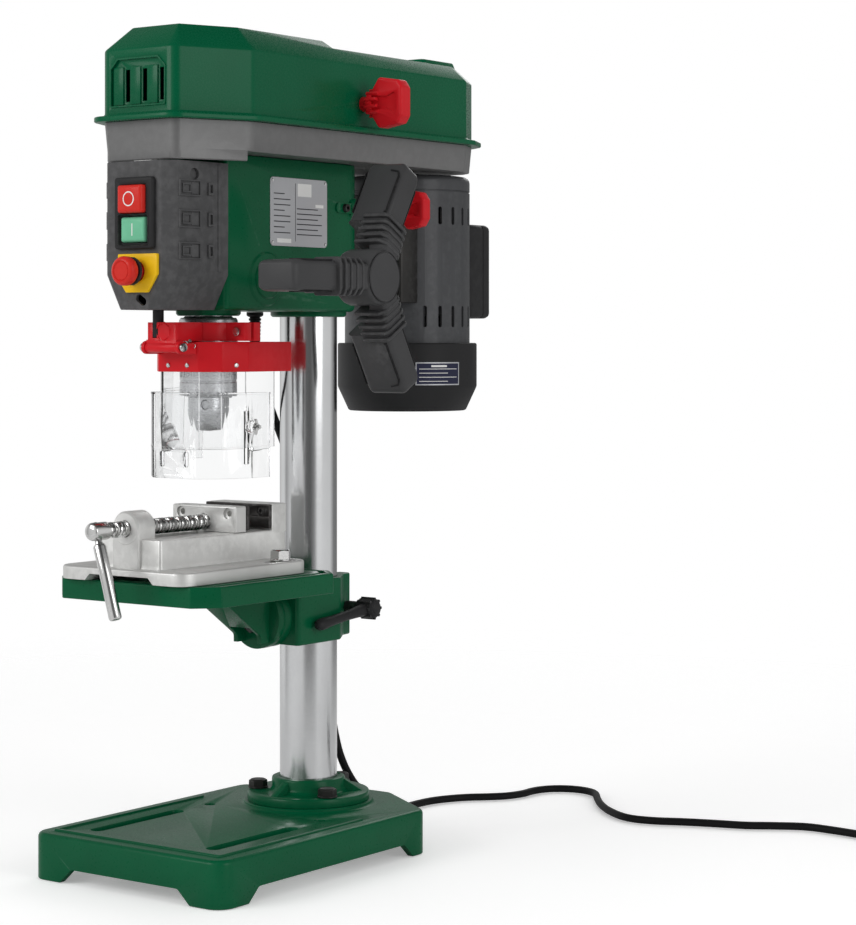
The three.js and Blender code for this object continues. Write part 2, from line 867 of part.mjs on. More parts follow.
function buildClampLever() {
  const hubEnd = clampHubStart + clampHubLength;
  const middle = (clampHubStart + hubEnd) / 2;
  const armY = clampArmEndY - clampAxisY;
  const armLength = Math.hypot(armY, clampArmDrop);
  const lean = THREE.MathUtils.radToDeg(Math.atan2(clampArmDrop, -armY));
  const arm = turned(lathe([
    [0, 0], [clampArmRadius, 0], [clampArmRadius * 0.86, armLength * 0.5],
    [clampArmRadius, armLength - clampArmRadius], [clampArmRadius * 0.7, armLength - clampArmRadius * 0.3],
    [0, armLength],
  ], sidesSmall), 'x', 90 + lean);
  const ribs = Array.from({ length: clampHubRibs }, (_, index) => turned(
    block([clampHubStart + sink, -sink, 0], [hubEnd - sink, sink, clampHubRadius + sink]), 'x',
    (360 * index) / clampHubRibs));
  return shaped([
    rod(clampScrewRadius, -earHalfWidth - broadBevel, clampHubStart + overrun, 'x', sidesMedium),
    rod(clampHubRadius, clampHubStart, hubEnd, 'x', sidesMedium),
    rod(clampHubRadius * 0.6, earWaist + 2 * clearance, clampHubStart + sink, 'x', sidesSmall),
    move(arm, middle, 0, 0), ...ribs,
  ]);
}

function buildTiltBolt() {
  const seat = bracketFront - tiltDiscDepth - clearance - webBossDepth - clearance;
  return shaped([
    hexagon(tiltBoltHead, seat - tiltBoltHeadHeight, seat, 'y'),
    rod(tiltBoltRadius, seat - sink, tiltBoltThreadEnd, 'y', sidesMedium),
  ]);
}

function buildTable() {
  const corners = mirrored([
    [tableHalfWidth - tableCorner, tableFront], [tableHalfWidth, tableFront + tableCorner],
    [tableHalfWidth, tableRear - tableCorner], [tableHalfWidth - tableCorner, tableRear],
  ]);
  const low = tableTopHeight - tableThickness;
  const plate = stack(corners, [[low, 0], [tableTopHeight - tableEdge, 0], [tableTopHeight, tableEdge]]);
  const under = prism(corners, low - overrun, tableTopHeight - tableDeck, 'z', tableWall);
  const troughLow = tableTopHeight - troughDepth;
  const trough = prism(corners, troughLow, tableTopHeight + overrun, 'z', troughInset);
  const island = prism(corners, troughLow - overrun, tableTopHeight + 2 * overrun, 'z',
    troughInset + troughWidth);
  const slot = (x) => prism(rectangle(x - tableSlotWidth / 2, tableSlotFront, x + tableSlotWidth / 2,
    tableSlotRear, tableSlotWidth / 2.1), low, tableTopHeight + overrun);
  const hole = move(rod(tableHoleRadius, low, tableTopHeight + overrun), 0, -spindleReach, 0);
  const bossFront = bracketFront - tiltDiscDepth - clearance - webBossDepth;
  const bossRear = bossFront + webBossDepth;
  const boss = rod(tiltDiscRadius, bossFront, bossRear, 'y', sidesFine);
  const roof = low + tableThickness - tableDeck + sink;
  const webProfile = [
    [webFront, low - overrun], [webLowFront, -tiltDiscRadius * 0.5], [webLowFront, -tiltDiscRadius * 0.76],
    [bossRear - sink, -tiltDiscRadius * 0.76], [bossRear - sink, roof], [webFront, roof],
  ];
  const web = prism(webProfile, -webHalfWidth, webHalfWidth, 'x');
  const pocket = block([-webHalfWidth + webWall, webLowFront - tiltBoltHead / 2, -tiltDiscRadius - overrun],
    [webHalfWidth - webWall, bossFront, tiltBoltHead * 0.75]);
  const rib = block([-tableHalfWidth + tableWall - sink, -spindleReach - underRibThickness / 2,
    tableTopHeight - tableDeck - underRibHeight], [tableHalfWidth - tableWall + sink,
    -spindleReach + underRibThickness / 2, tableTopHeight - tableDeck + sink]);
  const boltHole = rod(tiltBoltRadius + clearance, bossFront - overrun, bossRear + overrun, 'y', sidesMedium);
  const trench = shaped([trough], [island]);
  return shaped([shaped([plate], [under]), rib, boss, web], [pocket, boltHole, trench, slot(-tableSlotX),
    slot(tableSlotX), hole]);
}

function buildViseBody() {
  const footprint = rectangle(-viseHalfWidth, viseFront, viseHalfWidth, viseRear, viseCorner);
  const flange = stack(footprint, [[0, 0], [viseFlange - viseEdge, 0], [viseFlange, viseEdge]]);
  const body = rectangle(-viseBodyHalfWidth, viseBodyFront, viseBodyHalfWidth, viseBodyRear, 1.5);
  const trunk = stack(body, [[0, -sink], [viseBodyTop - sink, 0], [viseBodyTop, sink]]);
  const boss = shaped([
    move(rod(viseBossRadius, viseBossFront, viseBossRear, 'y'), 0, 0, viseScrewHeight),
    block([-viseBossRadius, viseBossFront, viseFlange - sink], [viseBossRadius, viseBossRear,
      viseScrewHeight]),
  ]);
  const jaw = block([-viseBodyHalfWidth, viseFixedJawFront, viseBodyTop - overrun],
    [viseBodyHalfWidth, viseBodyRear, viseJawTop]);
  const reliefProfile = [
    [-viseRelief - viseReliefSlant, -overrun], [viseRelief + viseReliefSlant, -overrun],
    [viseRelief + viseReliefSlant, 0], [viseRelief, viseReliefHeight], [-viseRelief, viseReliefHeight],
    [-viseRelief - viseReliefSlant, 0],
  ];
  const relief = prism(reliefProfile, viseFront - overrun, viseRear + overrun, 'y');
  const channel = block([-viseChannelHalfWidth, viseChannelFront, viseReliefHeight],
    [viseChannelHalfWidth, viseChannelRear, viseBodyTop + overrun]);
  const screwHole = move(rod(viseScrewRadius + clearance, viseBossFront - overrun,
    viseBossRear + overrun, 'y',
    sidesMedium), 0, 0, viseScrewHeight);
  const slot = (x, y) => prism(rectangle(x - viseSlotWidth / 2, y - viseSlotLength / 2, x + viseSlotWidth / 2,
    y + viseSlotLength / 2, viseSlotWidth / 2.1), -overrun, viseFlange + overrun);
  return shaped([flange, trunk, boss, jaw], [relief, channel, screwHole,
    slot(tableSlotX, viseRightBoltY), slot(-tableSlotX, viseLeftBoltY)]);
}

function buildMovingJaw() {
  const rear = viseMovingFront + viseMovingDepth;
  const low = viseBodyTop + clearance;
  const corners = rectangle(-viseBodyHalfWidth, viseMovingFront, viseBodyHalfWidth, rear, 0);
  const jaw = stack(corners, [[low, 0], [viseJawTop - sink, 0], [viseJawTop, sink]]);
  const tongue = block([-viseChannelHalfWidth + clearance, viseMovingFront + sink, low - viseTongueDrop],
    [viseChannelHalfWidth - clearance, rear - sink, low + sink]);
  const hole = (x) => move(rod(viseJawHoleRadius, viseMovingFront - overrun,
    viseMovingFront + viseMovingDepth / 2,
    'y', sidesSmall), x, 0, viseJawHoleHeight);
  const socket = move(rod(viseScrewRadius + clearance, viseMovingFront - overrun, viseMovingFront
    + viseMovingDepth * 0.6, 'y', sidesMedium), 0, 0, viseScrewHeight);
  return shaped([jaw, tongue], [hole(-viseJawHoleX), hole(viseJawHoleX), socket]);
}

function buildJawPlate(front) {
  const top = viseJawTop - clearance;
  const low = top - visePlateHeight;
  const plate = stack(rectangle(-viseBodyHalfWidth, low, viseBodyHalfWidth, top),
    [[front, hairBevel], [front + hairBevel, 0], [front + visePlateThickness - clearance, 0]], 'y');
  const hole = (x) => move(rod(viseJawHoleRadius, front - overrun, front + visePlateThickness + overrun, 'y',
    sidesSmall), x, 0, viseJawHoleHeight);
  return shaped([plate], [hole(-viseJawHoleX), hole(viseJawHoleX)]);
}

function buildViseScrew() {
  const end = viseMovingFront + viseMovingDepth * 0.6 - clearance;
  const round = viseNoseRadius * 0.45;
  const profile = [
    [0, viseNoseFront], [viseNoseRadius - round, viseNoseFront], [viseNoseRadius, viseNoseFront + round],
    [viseNoseRadius, viseNoseRear], [viseScrewRadius, viseNoseRear + sink], [viseScrewRadius, end], [0, end],
  ];
  const body = turned(lathe(profile, sidesMedium), 'x', -90);
  const eye = move(rod(viseNeckRadius + clearance, -viseNoseRadius - overrun, viseNoseRadius + overrun, 'z',
    sidesSmall), 0, viseHandleY, 0);
  return shaped([body], [turned(eye, 'y', -viseHandleLean)]);
}

function buildViseHandle() {
  const edge = 1;
  const profile = [
    [0, -viseHandleEnd], [viseHandleRadius - edge, -viseHandleEnd], [viseHandleRadius, -viseHandleEnd + edge],
    [viseHandleRadius, -viseHandleStart - edge], [viseHandleRadius - edge, -viseHandleStart],
    [viseNeckRadius, -viseHandleStart + edge], [viseNeckRadius, viseNoseRadius], [0, viseNoseRadius],
  ];
  return turned(lathe(profile, sidesMedium), 'y', -viseHandleLean);
}

function buildViseBolt() {
  const shank = viseFlange + tableDeck + viseBoltEnd;
  return shaped([
    rod(washerRadius, 0, washerThickness, 'z', sidesMedium),
    hexagon(viseBoltHead, washerThickness - clearance, washerThickness + viseBoltHeadHeight),
    rod(viseBoltRadius, -shank, washerThickness, 'z', sidesSmall),
    hexagon(viseBoltHead, -viseFlange - tableDeck - viseBoltHeadHeight - 2 * clearance,
      -viseFlange - tableDeck - 2 * clearance),
  ]);
}

function buildTableUnit() {
  const viseSeat = tableTopHeight + clearance;
  const bolt = (name, x, y) => {
    const mesh = piece(name, buildViseBolt(), finishes.chrome);
    mesh.position.set(x, y, viseFlange + clearance);
    return mesh;
  };
  const screw = piece('vise_screw', buildViseScrew(), finishes.chrome);
  screw.position.set(0, 0, viseScrewHeight);
  const handle = piece('vise_handle', buildViseHandle(), finishes.chrome);
  handle.position.set(0, viseHandleY, viseScrewHeight);
  const lever = piece('table_clamp_lever', buildClampLever(), finishes.blackPlastic);
  lever.position.set(0, clampAxisY, clampAxisHeight);
  return group([0, 0, 0],
    group([0, 0, bracketBottom], piece('table_bracket', buildBracket(), finishes.castGreen), lever),
    group([0, 0, tiltAxisHeight],
      piece('tilt_bolt', buildTiltBolt(), finishes.boltSteel),
      piece('drill_table', buildTable(), finishes.castGreen),
      group([0, -spindleReach, viseSeat],
        piece('vise_body', buildViseBody(), finishes.castAluminium),
        piece('vise_fixed_jaw_plate', buildJawPlate(viseFixedJawFront - visePlateThickness),
          finishes.darkPlate),
        piece('vise_moving_jaw', buildMovingJaw(), finishes.castAluminium),
        piece('vise_moving_jaw_plate', buildJawPlate(viseMovingFront + viseMovingDepth + clearance),
          finishes.darkPlate),
        screw, handle,
        bolt('vise_bolt_right', tableSlotX, viseRightBoltY),
        bolt('vise_bolt_left', -tableSlotX, viseLeftBoltY))));
}

function buildHeadCasting() {
  const corners = mirrored([
    [headHalfWidth, headFront, 4],
    [headHalfWidth, headHalfWidth, headRearRound],
  ]);
  const skin = stack(corners, [[0, headEdge], [headEdge, 0], [headHeight, 0]]);
  const cavityHalfWidth = headHalfWidth - headWall;
  const cavity = prism(rectangle(-cavityHalfWidth, headFront + headWall, cavityHalfWidth, headCavityRear, 3),
    headWall, headHeight + overrun);
  const columnBoss = rod(columnBossRadius, -columnNeckDrop, headHeight, 'z', sidesFine);
  const quillBoss = shaped([move(rod(quillBossRadius, -columnNeckDrop, headHeight, 'z', sidesFine), 0,
    -spindleReach, 0)], [block([-headHalfWidth, 2 * headFront, 0], [headHalfWidth, headFront,
      2 * headHeight])]);
  const feedY = -spindleReach + feedReach;
  const feedBoss = move(rod(feedBossRadius, -headHalfWidth - feedBossDepth,
    headHalfWidth + feedBossDepth, 'x',
    sidesMedium), 0, feedY, feedAxisHeight);
  const feedGap = block([-headHalfWidth + headWall, feedY - feedBossRadius - overrun, headWall],
    [headHalfWidth - headWall, feedY + feedBossRadius + overrun, feedAxisHeight + feedBossRadius + overrun]);
  const bosses = shaped([feedBoss], [feedGap]);
  const lug = (x) => move(rod(lugRadius, lugFront - overrun, lugRear, 'y'), x, 0, lockScrewHeight);
  const knobBoss = move(rod(knobBossRadius, lugX, knobBossReach, 'x'), 0, knobBossY, lockScrewHeight);
  const rodHole = (x) => move(rod(slideRodRadius + clearance, lugFront, lugRear + overrun, 'y'), x, 0,
    lockScrewHeight);
  const knobHole = move(rod(knobScrewRadius + clearance, lugX, knobBossReach + overrun, 'x', sidesSmall), 0,
    knobBossY, lockScrewHeight);
  const columnBore = rod(columnRadius + clearance, -columnNeckDrop - overrun, columnInHead + clearance, 'z',
    sidesFine);
  const quillBore = move(rod(quillRadius + quillBoreClearance, -columnNeckDrop - overrun,
    headHeight - headWall
    - bevel, 'z', sidesFine), 0, -spindleReach, 0);
  const spindleHole = move(rod(pulleyHoleRadius - bevel, headHeight / 2, headHeight + overrun, 'z'), 0,
    -spindleReach, 0);
  const pinionReach = pinionHalfWidth + bevel;
  const pinionTip = rackModule * (pinionTeeth / 2 + 1) + sink;
  const rackWindow = block([-pinionReach, -spindleReach + quillRadius - deepBevel,
    feedAxisHeight - pinionTip],
    [pinionReach, feedY + pinionTip, feedAxisHeight + pinionTip]);
  const shaftBore = move(rod(feedShaftRadius + clearance, -headHalfWidth - 2 * feedBossDepth,
    headHalfWidth + 2 * feedBossDepth, 'x', sidesMedium), 0, feedY, feedAxisHeight);
  const lockHole = move(rod(lockScrewRadius + clearance, 0, headHalfWidth + overrun, 'x', sidesSmall), 0, 0,
    lockScrewHeight);
  const shell = shaped([skin], [cavity]);
  return shaped([shell, columnBoss, quillBoss, bosses, lug(-lugX), lug(lugX), knobBoss],
    [columnBore, quillBore, spindleHole, rackWindow, shaftBore, lockHole, rodHole(-lugX), rodHole(lugX),
      knobHole]);
}

function buildFrontHousing() {
  const corners = mirrored([
    [housingFrontHalfWidth, housingFront, 3], [housingFacetX, housingFacetY, 3],
    [housingSideX, housingSideY, 6], [housingSideX, headFront + overrun, 0],
  ]);
  const section = mirrored([
    [housingSideX - housingChamferWidth, 0], [housingSideX, housingChamferHeight],
    [housingSideX, housingTop],
  ]);
  const whole = (inset, low, high) => common(
    prism(corners, low - overrun, high, 'z', inset),
    prism(section, housingFront - overrun, headFront + 2 * overrun, 'y', inset));
  const inside = common(whole(housingWall, 0, housingTop + overrun),
    block([-housingSideX, housingFront, housingWall], [housingSideX, headFront, housingTop - housingWall]));
  const rearCut = block([-2 * housingSideX, headFront - clearance, -2 * overrun],
    [2 * housingSideX, headFront + 4 * overrun, housingTop + 2 * overrun]);
  const rearMouth = block([-housingSideX + 2 * housingWall, headFront - 3 * housingWall, housingWall],
    [housingSideX - 2 * housingWall, headFront, housingTop - housingWall]);
  const clips = clipSpans.flatMap(([low, high]) => [-1, 1].map((side) => block(
    [side > 0 ? housingSideX - 1 : -housingSideX - clipProud, headFront - 4 * clipWidth, low],
    [side > 0 ? housingSideX + clipProud : -housingSideX + sink, headFront - 3 * clipWidth, high])));
  const bezelHole = block([switchX - bezelHalfWidth + bezelFrame / 2, housingFront - overrun,
    bezelLow + bezelFrame / 2], [switchX + bezelHalfWidth - bezelFrame / 2, housingFront + 2 * housingWall,
    bezelHigh - bezelFrame / 2]);
  const estopHole = move(rod(estopStemRadius + sink, housingFront - overrun,
    housingFront + 2 * housingWall, 'y'),
    estopX, 0, estopHeight);
  const rodHole = move(rod(depthRodRadius + sink, -overrun, 2 * housingWall, 'z', sidesSmall), depthRodX,
    -spindleReach + depthRodY, 0);
  return shaped([shaped([whole(0, 0, housingTop)], [inside]), ...clips],
    [rearCut, rearMouth, bezelHole, estopHole, rodHole]);
}

function buildBezel() {
  const low = bezelLow;
  const high = bezelHigh;
  const front = housingFront - bezelProud;
  const face = rectangle(switchX - bezelHalfWidth, low, switchX + bezelHalfWidth, high, 3);
  const plate = stack(face, [[front, sink], [front + sink, 0], [housingFront - clearance, 0]], 'y');
  const boxWall = 2;
  const inner = bezelFrame / 2 + clearance;
  const box = block([switchX - bezelHalfWidth + inner, housingFront - sink, low + inner],
    [switchX + bezelHalfWidth - inner, housingFront + switchBoxDepth, high - inner]);
  const hollow = block([switchX - bezelHalfWidth + inner + boxWall, housingFront + boxWall,
    low + inner + boxWall],
    [switchX + bezelHalfWidth - inner - boxWall, housingFront + switchBoxDepth + overrun,
      high - inner - boxWall]);
  const gap = 2 * clearance;
  const hole = (from, to) => block([switchX - buttonHalfWidth - gap, front - overrun, from - gap],
    [switchX + buttonHalfWidth + gap, housingFront + switchBoxDepth, to + gap]);
  return shaped([shaped([box], [hollow]), plate], [hole(stopLow, stopHigh), hole(startLow, startHigh)]);
}

function buildButton(low, high, proud) {
  const front = housingFront - bezelProud - proud + sink;
  const face = rectangle(switchX - buttonHalfWidth, low, switchX + buttonHalfWidth, high, 2);
  return stack(face, [[front, fineBevel], [front + fineBevel, 0], [front + proud + buttonDepth, 0]], 'y');
}

function buildEstop() {
  const seat = housingFront - estopPlateThickness - clearance;
  const face = housingFront - estopReach;
  const profile = [
    [0, face], [estopRadius * 0.72, face], [estopRadius, face + midBevel], [estopRadius,
      face + estopCapDepth],
    [estopRadius * 0.74, face + estopCapDepth + fineBevel], [estopRadius * 0.74, seat - broadBevel],
    [estopStemRadius, seat - broadBevel], [estopStemRadius, housingFront + estopBase], [0,
      housingFront + estopBase],
  ];
  return move(turned(lathe(profile, sidesMedium), 'x', -90), estopX, 0, estopHeight);
}

function beltCorners() {
  return mirrored([
    [panFrontHalfWidth, panFront, 10], [panHalfWidth, panShoulder, 14], [panHalfWidth, panRearShoulder, 8],
    [panTailHalfWidth, panTailY, 6], [panRearHalfWidth, panRear, 4],
  ]);
}

function buildPan() {
  const corners = beltCorners();
  const top = headHeight + panDepth;
  const low = headHeight + panFloorGap;
  const skin = stack(corners, [[low, panDraft], [top, 0]]);
  const inside = stack(corners, [[low + panWall, panDraft + panWall], [top + overrun, panWall]]);
  const skirtOuter = prism(corners, headHeight - panSkirtDrop, low + sink, 'z', panDraft);
  const skirtInner = prism(corners, headHeight - panSkirtDrop - overrun, low + overrun, 'z',
    panDraft + panWall);
  const behind = block([-2 * panHalfWidth, panSkirtRear, 0], [2 * panHalfWidth, 2 * panRear, top]);
  const skirt = shaped([skirtOuter], [skirtInner, behind]);
  const pulleyHole = move(rod(pulleyHoleRadius, headHeight - overrun, low + 2 * panWall), 0,
    -spindleReach, 0);
  const motorSlot = prism(rectangle(-motorSlotWidth / 2, motorSlotFront, motorSlotWidth / 2, motorSlotRear,
    motorSlotWidth / 2.1), headHeight - overrun, low + 2 * panWall);
  const pinZ = top + clearance + hingeRise;
  const ear = (y) => {
    const foot = block([hingeX, y, pinZ - 3 * knuckleRadius], [-panHalfWidth + sink, y + knuckleLength / 2,
      pinZ - knuckleRadius - sink]);
    const barrel = move(rod(knuckleRadius, y, y + knuckleLength / 2, 'y', sidesSmall), hingeX, 0, pinZ);
    const neck = block([hingeX - knuckleRadius, y, pinZ - 3 * knuckleRadius],
      [hingeX + knuckleRadius, y + knuckleLength / 2, pinZ]);
    return [foot, barrel, neck];
  };
  const ears = [hingeFront - knuckleLength / 2 - clearance,
    hingeRear + knuckleLength + clearance].flatMap(ear);
  const pinHole = move(rod(hingePinRadius + clearance / 2, hingeFront - 2 * knuckleLength,
    hingeRear + 3 * knuckleLength, 'y', sidesSmall), hingeX, 0, pinZ);
  return shaped([shaped([skin], [inside]), skirt, ...ears], [pulleyHole, motorSlot, pinHole]);
}

function buildLid() {
  const corners = beltCorners();
  const levels = (inset, low, drop) => [
    [low, inset], [lidCrease, inset], [lidHeight - drop, inset + lidSlope],
  ];
  const skin = stack(corners, levels(0, 0, 0));
  const inside = stack(corners, [
    [-overrun, lidWall], [lidCrease - lidWall / 2, lidWall], [lidHeight - lidWall, lidSlope + lidWall / 2],
  ]);
  const flange = prism(corners, 0, lidFlangeThickness, 'z', -lidFlange);
  const knuckle = (y) => shaped([
    move(rod(knuckleRadius, y, y + knuckleLength, 'y', sidesSmall), hingeX, 0, hingeRise),
    block([hingeX, y, hingeRise - fineBevel], [-panHalfWidth - lidFlange / 2, y + knuckleLength,
      hingeRise + knuckleRadius - sink]),
  ]);
  const relief = (y) => block([hingeX - 2 * knuckleRadius, y, -overrun],
    [hingeX + knuckleRadius + bevel, y + knuckleLength / 2 + 4 * clearance, 3 * knuckleRadius]);
  const pinHole = move(rod(hingePinRadius + clearance / 2, hingeFront - 2 * knuckleLength,
    hingeRear + 3 * knuckleLength, 'y', sidesSmall), hingeX, 0, hingeRise);
  const bars = Array.from({ length: windowBars }, (_, index) => {
    const x = (index - (windowBars - 1) / 2) * windowBarPitch;
    return prism(rectangle(x - windowBarWidth / 2, windowLow, x + windowBarWidth / 2, windowHigh, broadBevel),
      panFront - overrun, panFront + windowDepth, 'y');
  });
  const knobHole = move(rod(knobScrewRadius + clearance, panHalfWidth - 2 * lidWall,
    panHalfWidth + overrun, 'x',
    sidesSmall), 0, lidKnobY, lidKnobHeight);
  return shaped([skin, flange, knuckle(hingeFront), knuckle(hingeRear)], [inside,
    relief(hingeFront - knuckleLength / 2 - 3 * clearance), relief(hingeRear + knuckleLength - clearance),
    pinHole, knobHole, ...bars]);
}

// A wing-headed screw that lies along x, with its seat at zero and its screw on the -X side.
function buildWingKnob(screwLength, scale = 1) {
  const start = wingStem + wingHub;
  const wing = prism([
    [start - wideBevel, -wingHub / 2], [start + bevel, -wingHalfWidth * scale * 0.62],
    [start + wingLength * scale - wideBevel, -wingTipHalfWidth * scale], [start + wingLength * scale, 0],
    [start + wingLength * scale - wideBevel, wingTipHalfWidth * scale], [start + bevel,
      wingHalfWidth * scale * 0.62],
    [start - wideBevel, wingHub / 2],
  ], -wingThickness / 2, wingThickness / 2);
  return shaped([
    rod(knobScrewRadius, -screwLength, sink, 'x', sidesSmall),
    rod(wingHub * 0.6, clearance, wingStem + sink, 'x', sidesMedium),
    rod(wingHub, wingStem, start, 'x', sidesMedium),
    turned(wing, 'x', 90),
  ]);
}

function pulleyRadius(step) {
  return spindlePulleySmall + pulleyStepChange * step;
}

// A cone pulley whose grooves step from the first radius to the last, upwards.
function buildPulley(radii, bore, hubDrop) {
  const profile = [[bore, pulleyBottom - hubDrop], [bore + deepBevel, pulleyBottom - hubDrop],
    [bore + deepBevel, pulleyBottom]];
  radii.forEach((radius, index) => {
    const low = pulleyBottom + index * pulleyPitch;
    const mid = low + pulleyPitch / 2;
    profile.push([radius, low], [radius, low + pulleyFlangeGap]);
    profile.push([radius - grooveDepth, mid - grooveFloor], [radius - grooveDepth, mid + grooveFloor]);
    profile.push([radius, low + pulleyPitch - pulleyFlangeGap], [radius, low + pulleyPitch]);
  });
  profile.push([bore, pulleyBottom + radii.length * pulleyPitch]);
  return lathe(profile, sidesMedium, true);
}

// A splined bar, or the cutter for its bore when it is drawn a little larger.
function splineBar(extra, from, to) {
  const corners = [];
  for (let tooth = 0; tooth < splineTeeth; tooth += 1) {
    const share = 360 / splineTeeth;
    for (const [shift, radius] of [[-0.3, splineRadius], [0.3, splineRadius], [0.36, splineRoot],
      [0.64, splineRoot]]) {
      const angle = THREE.MathUtils.degToRad(share * (tooth + shift));
      corners.push([(radius + extra) * Math.cos(angle), (radius + extra) * Math.sin(angle)]);
    }
  }
  return prism(corners, from, to);
}

function buildSpindlePulley() {
  const radii = Array.from({ length: pulleySteps }, (_, index) => pulleyRadius(pulleySteps - 1 - index));
  const hubDrop = pulleyBottom - headHeight + 8;
  const cone = buildPulley(radii, splineRoot / 2, hubDrop);
  const bore = splineBar(clearance, pulleyBottom - hubDrop - overrun, pulleyBottom + pulleySteps * pulleyPitch
    + overrun);
  return shaped([cone], [bore]);
}

function buildMotorPulley() {
  const radii = Array.from({ length: pulleySteps }, (_, index) =>
    pulleyRadius(0) - pulleyStepChange * (pulleySteps - 1 - index));
  return buildPulley(radii, motorShaftRadius + clearance, bevel);
}

function buildBelt() {
  const outer = pulleyRadius(0) - grooveDepth + beltSeat + beltThickness;
  const middle = pulleyBottom + (pulleySteps - 0.5) * pulleyPitch;
  const loop = rectangle(-outer, -spindleReach - outer, outer, motorReach + outer, outer - sharpest);
  const roundLoop = (levels) => beltStack(loop, levels);
  const band = roundLoop([[middle - beltTopWidth / 2, 0], [middle + beltTopWidth / 2, 0]]);
  const through = roundLoop([[middle - beltTopWidth, beltThickness], [middle + beltTopWidth, beltThickness]]);
  const slope = (side) => {
    const inner = middle + side * (beltInnerWidth / 2);
    const outerEdge = middle + side * (beltTopWidth / 2);
    const far = outerEdge + side * overrun;
    const grow = (overrun * beltThickness) / ((beltTopWidth - beltInnerWidth) / 2);
    const levels = [[inner, beltThickness], [far, -grow]];
    return roundLoop(side > 0 ? levels : levels.reverse());
  };
  return shaped([band], [through, slope(1), slope(-1)]);
}

function beltStack(corners, levels) {
  const [x0, y0] = corners[0];
  const [x1, y1] = corners[2];
  const geometry = levels.map(([, inset]) => {
    const radius = (x1 - x0) / 2 - inset;
    const points = [];
    for (let step = 0; step <= beltSteps; step += 1) {
      const angle = Math.PI + (Math.PI * step) / beltSteps;
      points.push([radius * Math.cos(angle), y0 + (x1 - x0) / 2 + radius * Math.sin(angle)]);
    }
    for (let step = 0; step <= beltSteps; step += 1) {
      const angle = (Math.PI * step) / beltSteps;
      points.push([radius * Math.cos(angle), y1 - (x1 - x0) / 2 + radius * Math.sin(angle)]);
    }
    return points;
  });
  return loft(geometry.map((points, index) => points.map(([x, y]) => [x, y, levels[index][0]])));
}

// Joins closed rings of points, each counter-clockwise seen from above, into one solid.
function loft(rings) {
  const count = rings[0].length;
  const index = [];
  for (let level = 0; level + 1 < rings.length; level += 1) {
    for (let i = 0; i < count; i += 1) {
      const a = level * count + i;
      const b = level * count + ((i + 1) % count);
      index.push(a, b, b + count, a, b + count, a + count);
    }
  }
  for (let i = 1; i + 1 < count; i += 1) {
    index.push(0, i + 1, i);
    const last = (rings.length - 1) * count;
    index.push(last, last + i, last + i + 1);
  }
  const geometry = new THREE.BufferGeometry();
  geometry.setAttribute('position', new THREE.Float32BufferAttribute(rings.flat(2), 3));
  geometry.setIndex(index);
  return geometry;
}

function buildQuill() {
  const bore = spindleRadius + sink;
  const seat = bearingRadius + clearance / 2;
  const body = lathe([
    [seat, quillBottom], [quillCollarRadius - sink, quillBottom], [quillCollarRadius, quillBottom + sink],
    [quillCollarRadius, quillCollarTop], [quillRadius, quillCollarTop], [quillRadius, quillTop],
    [seat, quillTop], [seat, quillTop - bearingWidth - clearance], [bore,
      quillTop - bearingWidth - clearance],
    [bore, quillBottom + bearingWidth + clearance], [seat, quillBottom + bearingWidth + clearance],
  ], sidesFine, true);
  return shaped([body], [rackCutter()]);
}

// Cuts the gaps between the rack's teeth into the rear of the quill, in mesh with the pinion.
function rackCutter() {
  const pitch = Math.PI * rackModule;
  const pitchLine = feedReach - (pinionTeeth * rackModule) / 2;
  const tip = pitchLine + rackModule;
  const root = pitchLine - 1.25 * rackModule;
  const slope = Math.tan(THREE.MathUtils.degToRad(pressureAngle));
  const half = pitch / 4 + gearBacklash / 2;
  const corners = [];
  for (let gap = 0; gap < rackTeeth; gap += 1) {
    const z = feedAxisHeight + (gap - rackLead) * pitch;
    corners.push([tip, z - half - rackModule * slope]);
    corners.push([root, z - half + 1.25 * rackModule * slope]);
    corners.push([root, z + half - 1.25 * rackModule * slope]);
    corners.push([tip, z + half + rackModule * slope]);
  }
  const front = 2 * quillRadius;
  const first = corners[0][1];
  const last = corners.at(-1)[1];
  const comb = [[front, first], ...corners, [front, last]];
  return prism(comb.reverse(), -quillRadius, quillRadius, 'x');
}

// The pinion's outline: involute flanks between root and tip, one tooth after another.
function pinionCorners() {
  const pitchRadius = (rackModule * pinionTeeth) / 2;
  const pressure = THREE.MathUtils.degToRad(pressureAngle);
  const baseRadius = pitchRadius * Math.cos(pressure);
  const tipRadius = pitchRadius + rackModule * 0.92;
  const rootRadius = pitchRadius - 1.25 * rackModule;
  const involute = (radius) => {
    const angle = Math.acos(Math.min(baseRadius / radius, 1));
    return Math.tan(angle) - angle;
  };
  const halfTooth = Math.PI / (2 * pinionTeeth) - gearBacklash / (2 * pitchRadius) + involute(pitchRadius);
  const flank = [rootRadius, pitchRadius, tipRadius];
  const corners = [];
  for (let tooth = 0; tooth < pinionTeeth; tooth += 1) {
    const middle = (2 * Math.PI * tooth) / pinionTeeth + Math.PI;
    const place = (radius, side) => {
      const angle = middle + side * (halfTooth - involute(Math.max(radius, baseRadius)));
      return [radius * Math.cos(angle), radius * Math.sin(angle)];
    };
    corners.push(...flank.map((radius) => place(radius, -1)));
    corners.push(...flank.toReversed().map((radius) => place(radius, 1)));
  }
  return corners;
}

function buildFeedShaft() {
  const hubSeat = handleFace - handleHubDepth * 0.6;
  return shaped([
    prism(pinionCorners(), -pinionHalfWidth, pinionHalfWidth, 'x'),
    rod(feedShaftRadius, -feedShaftLeft - springCapDepth, hubSeat, 'x', sidesMedium),
  ]);
}

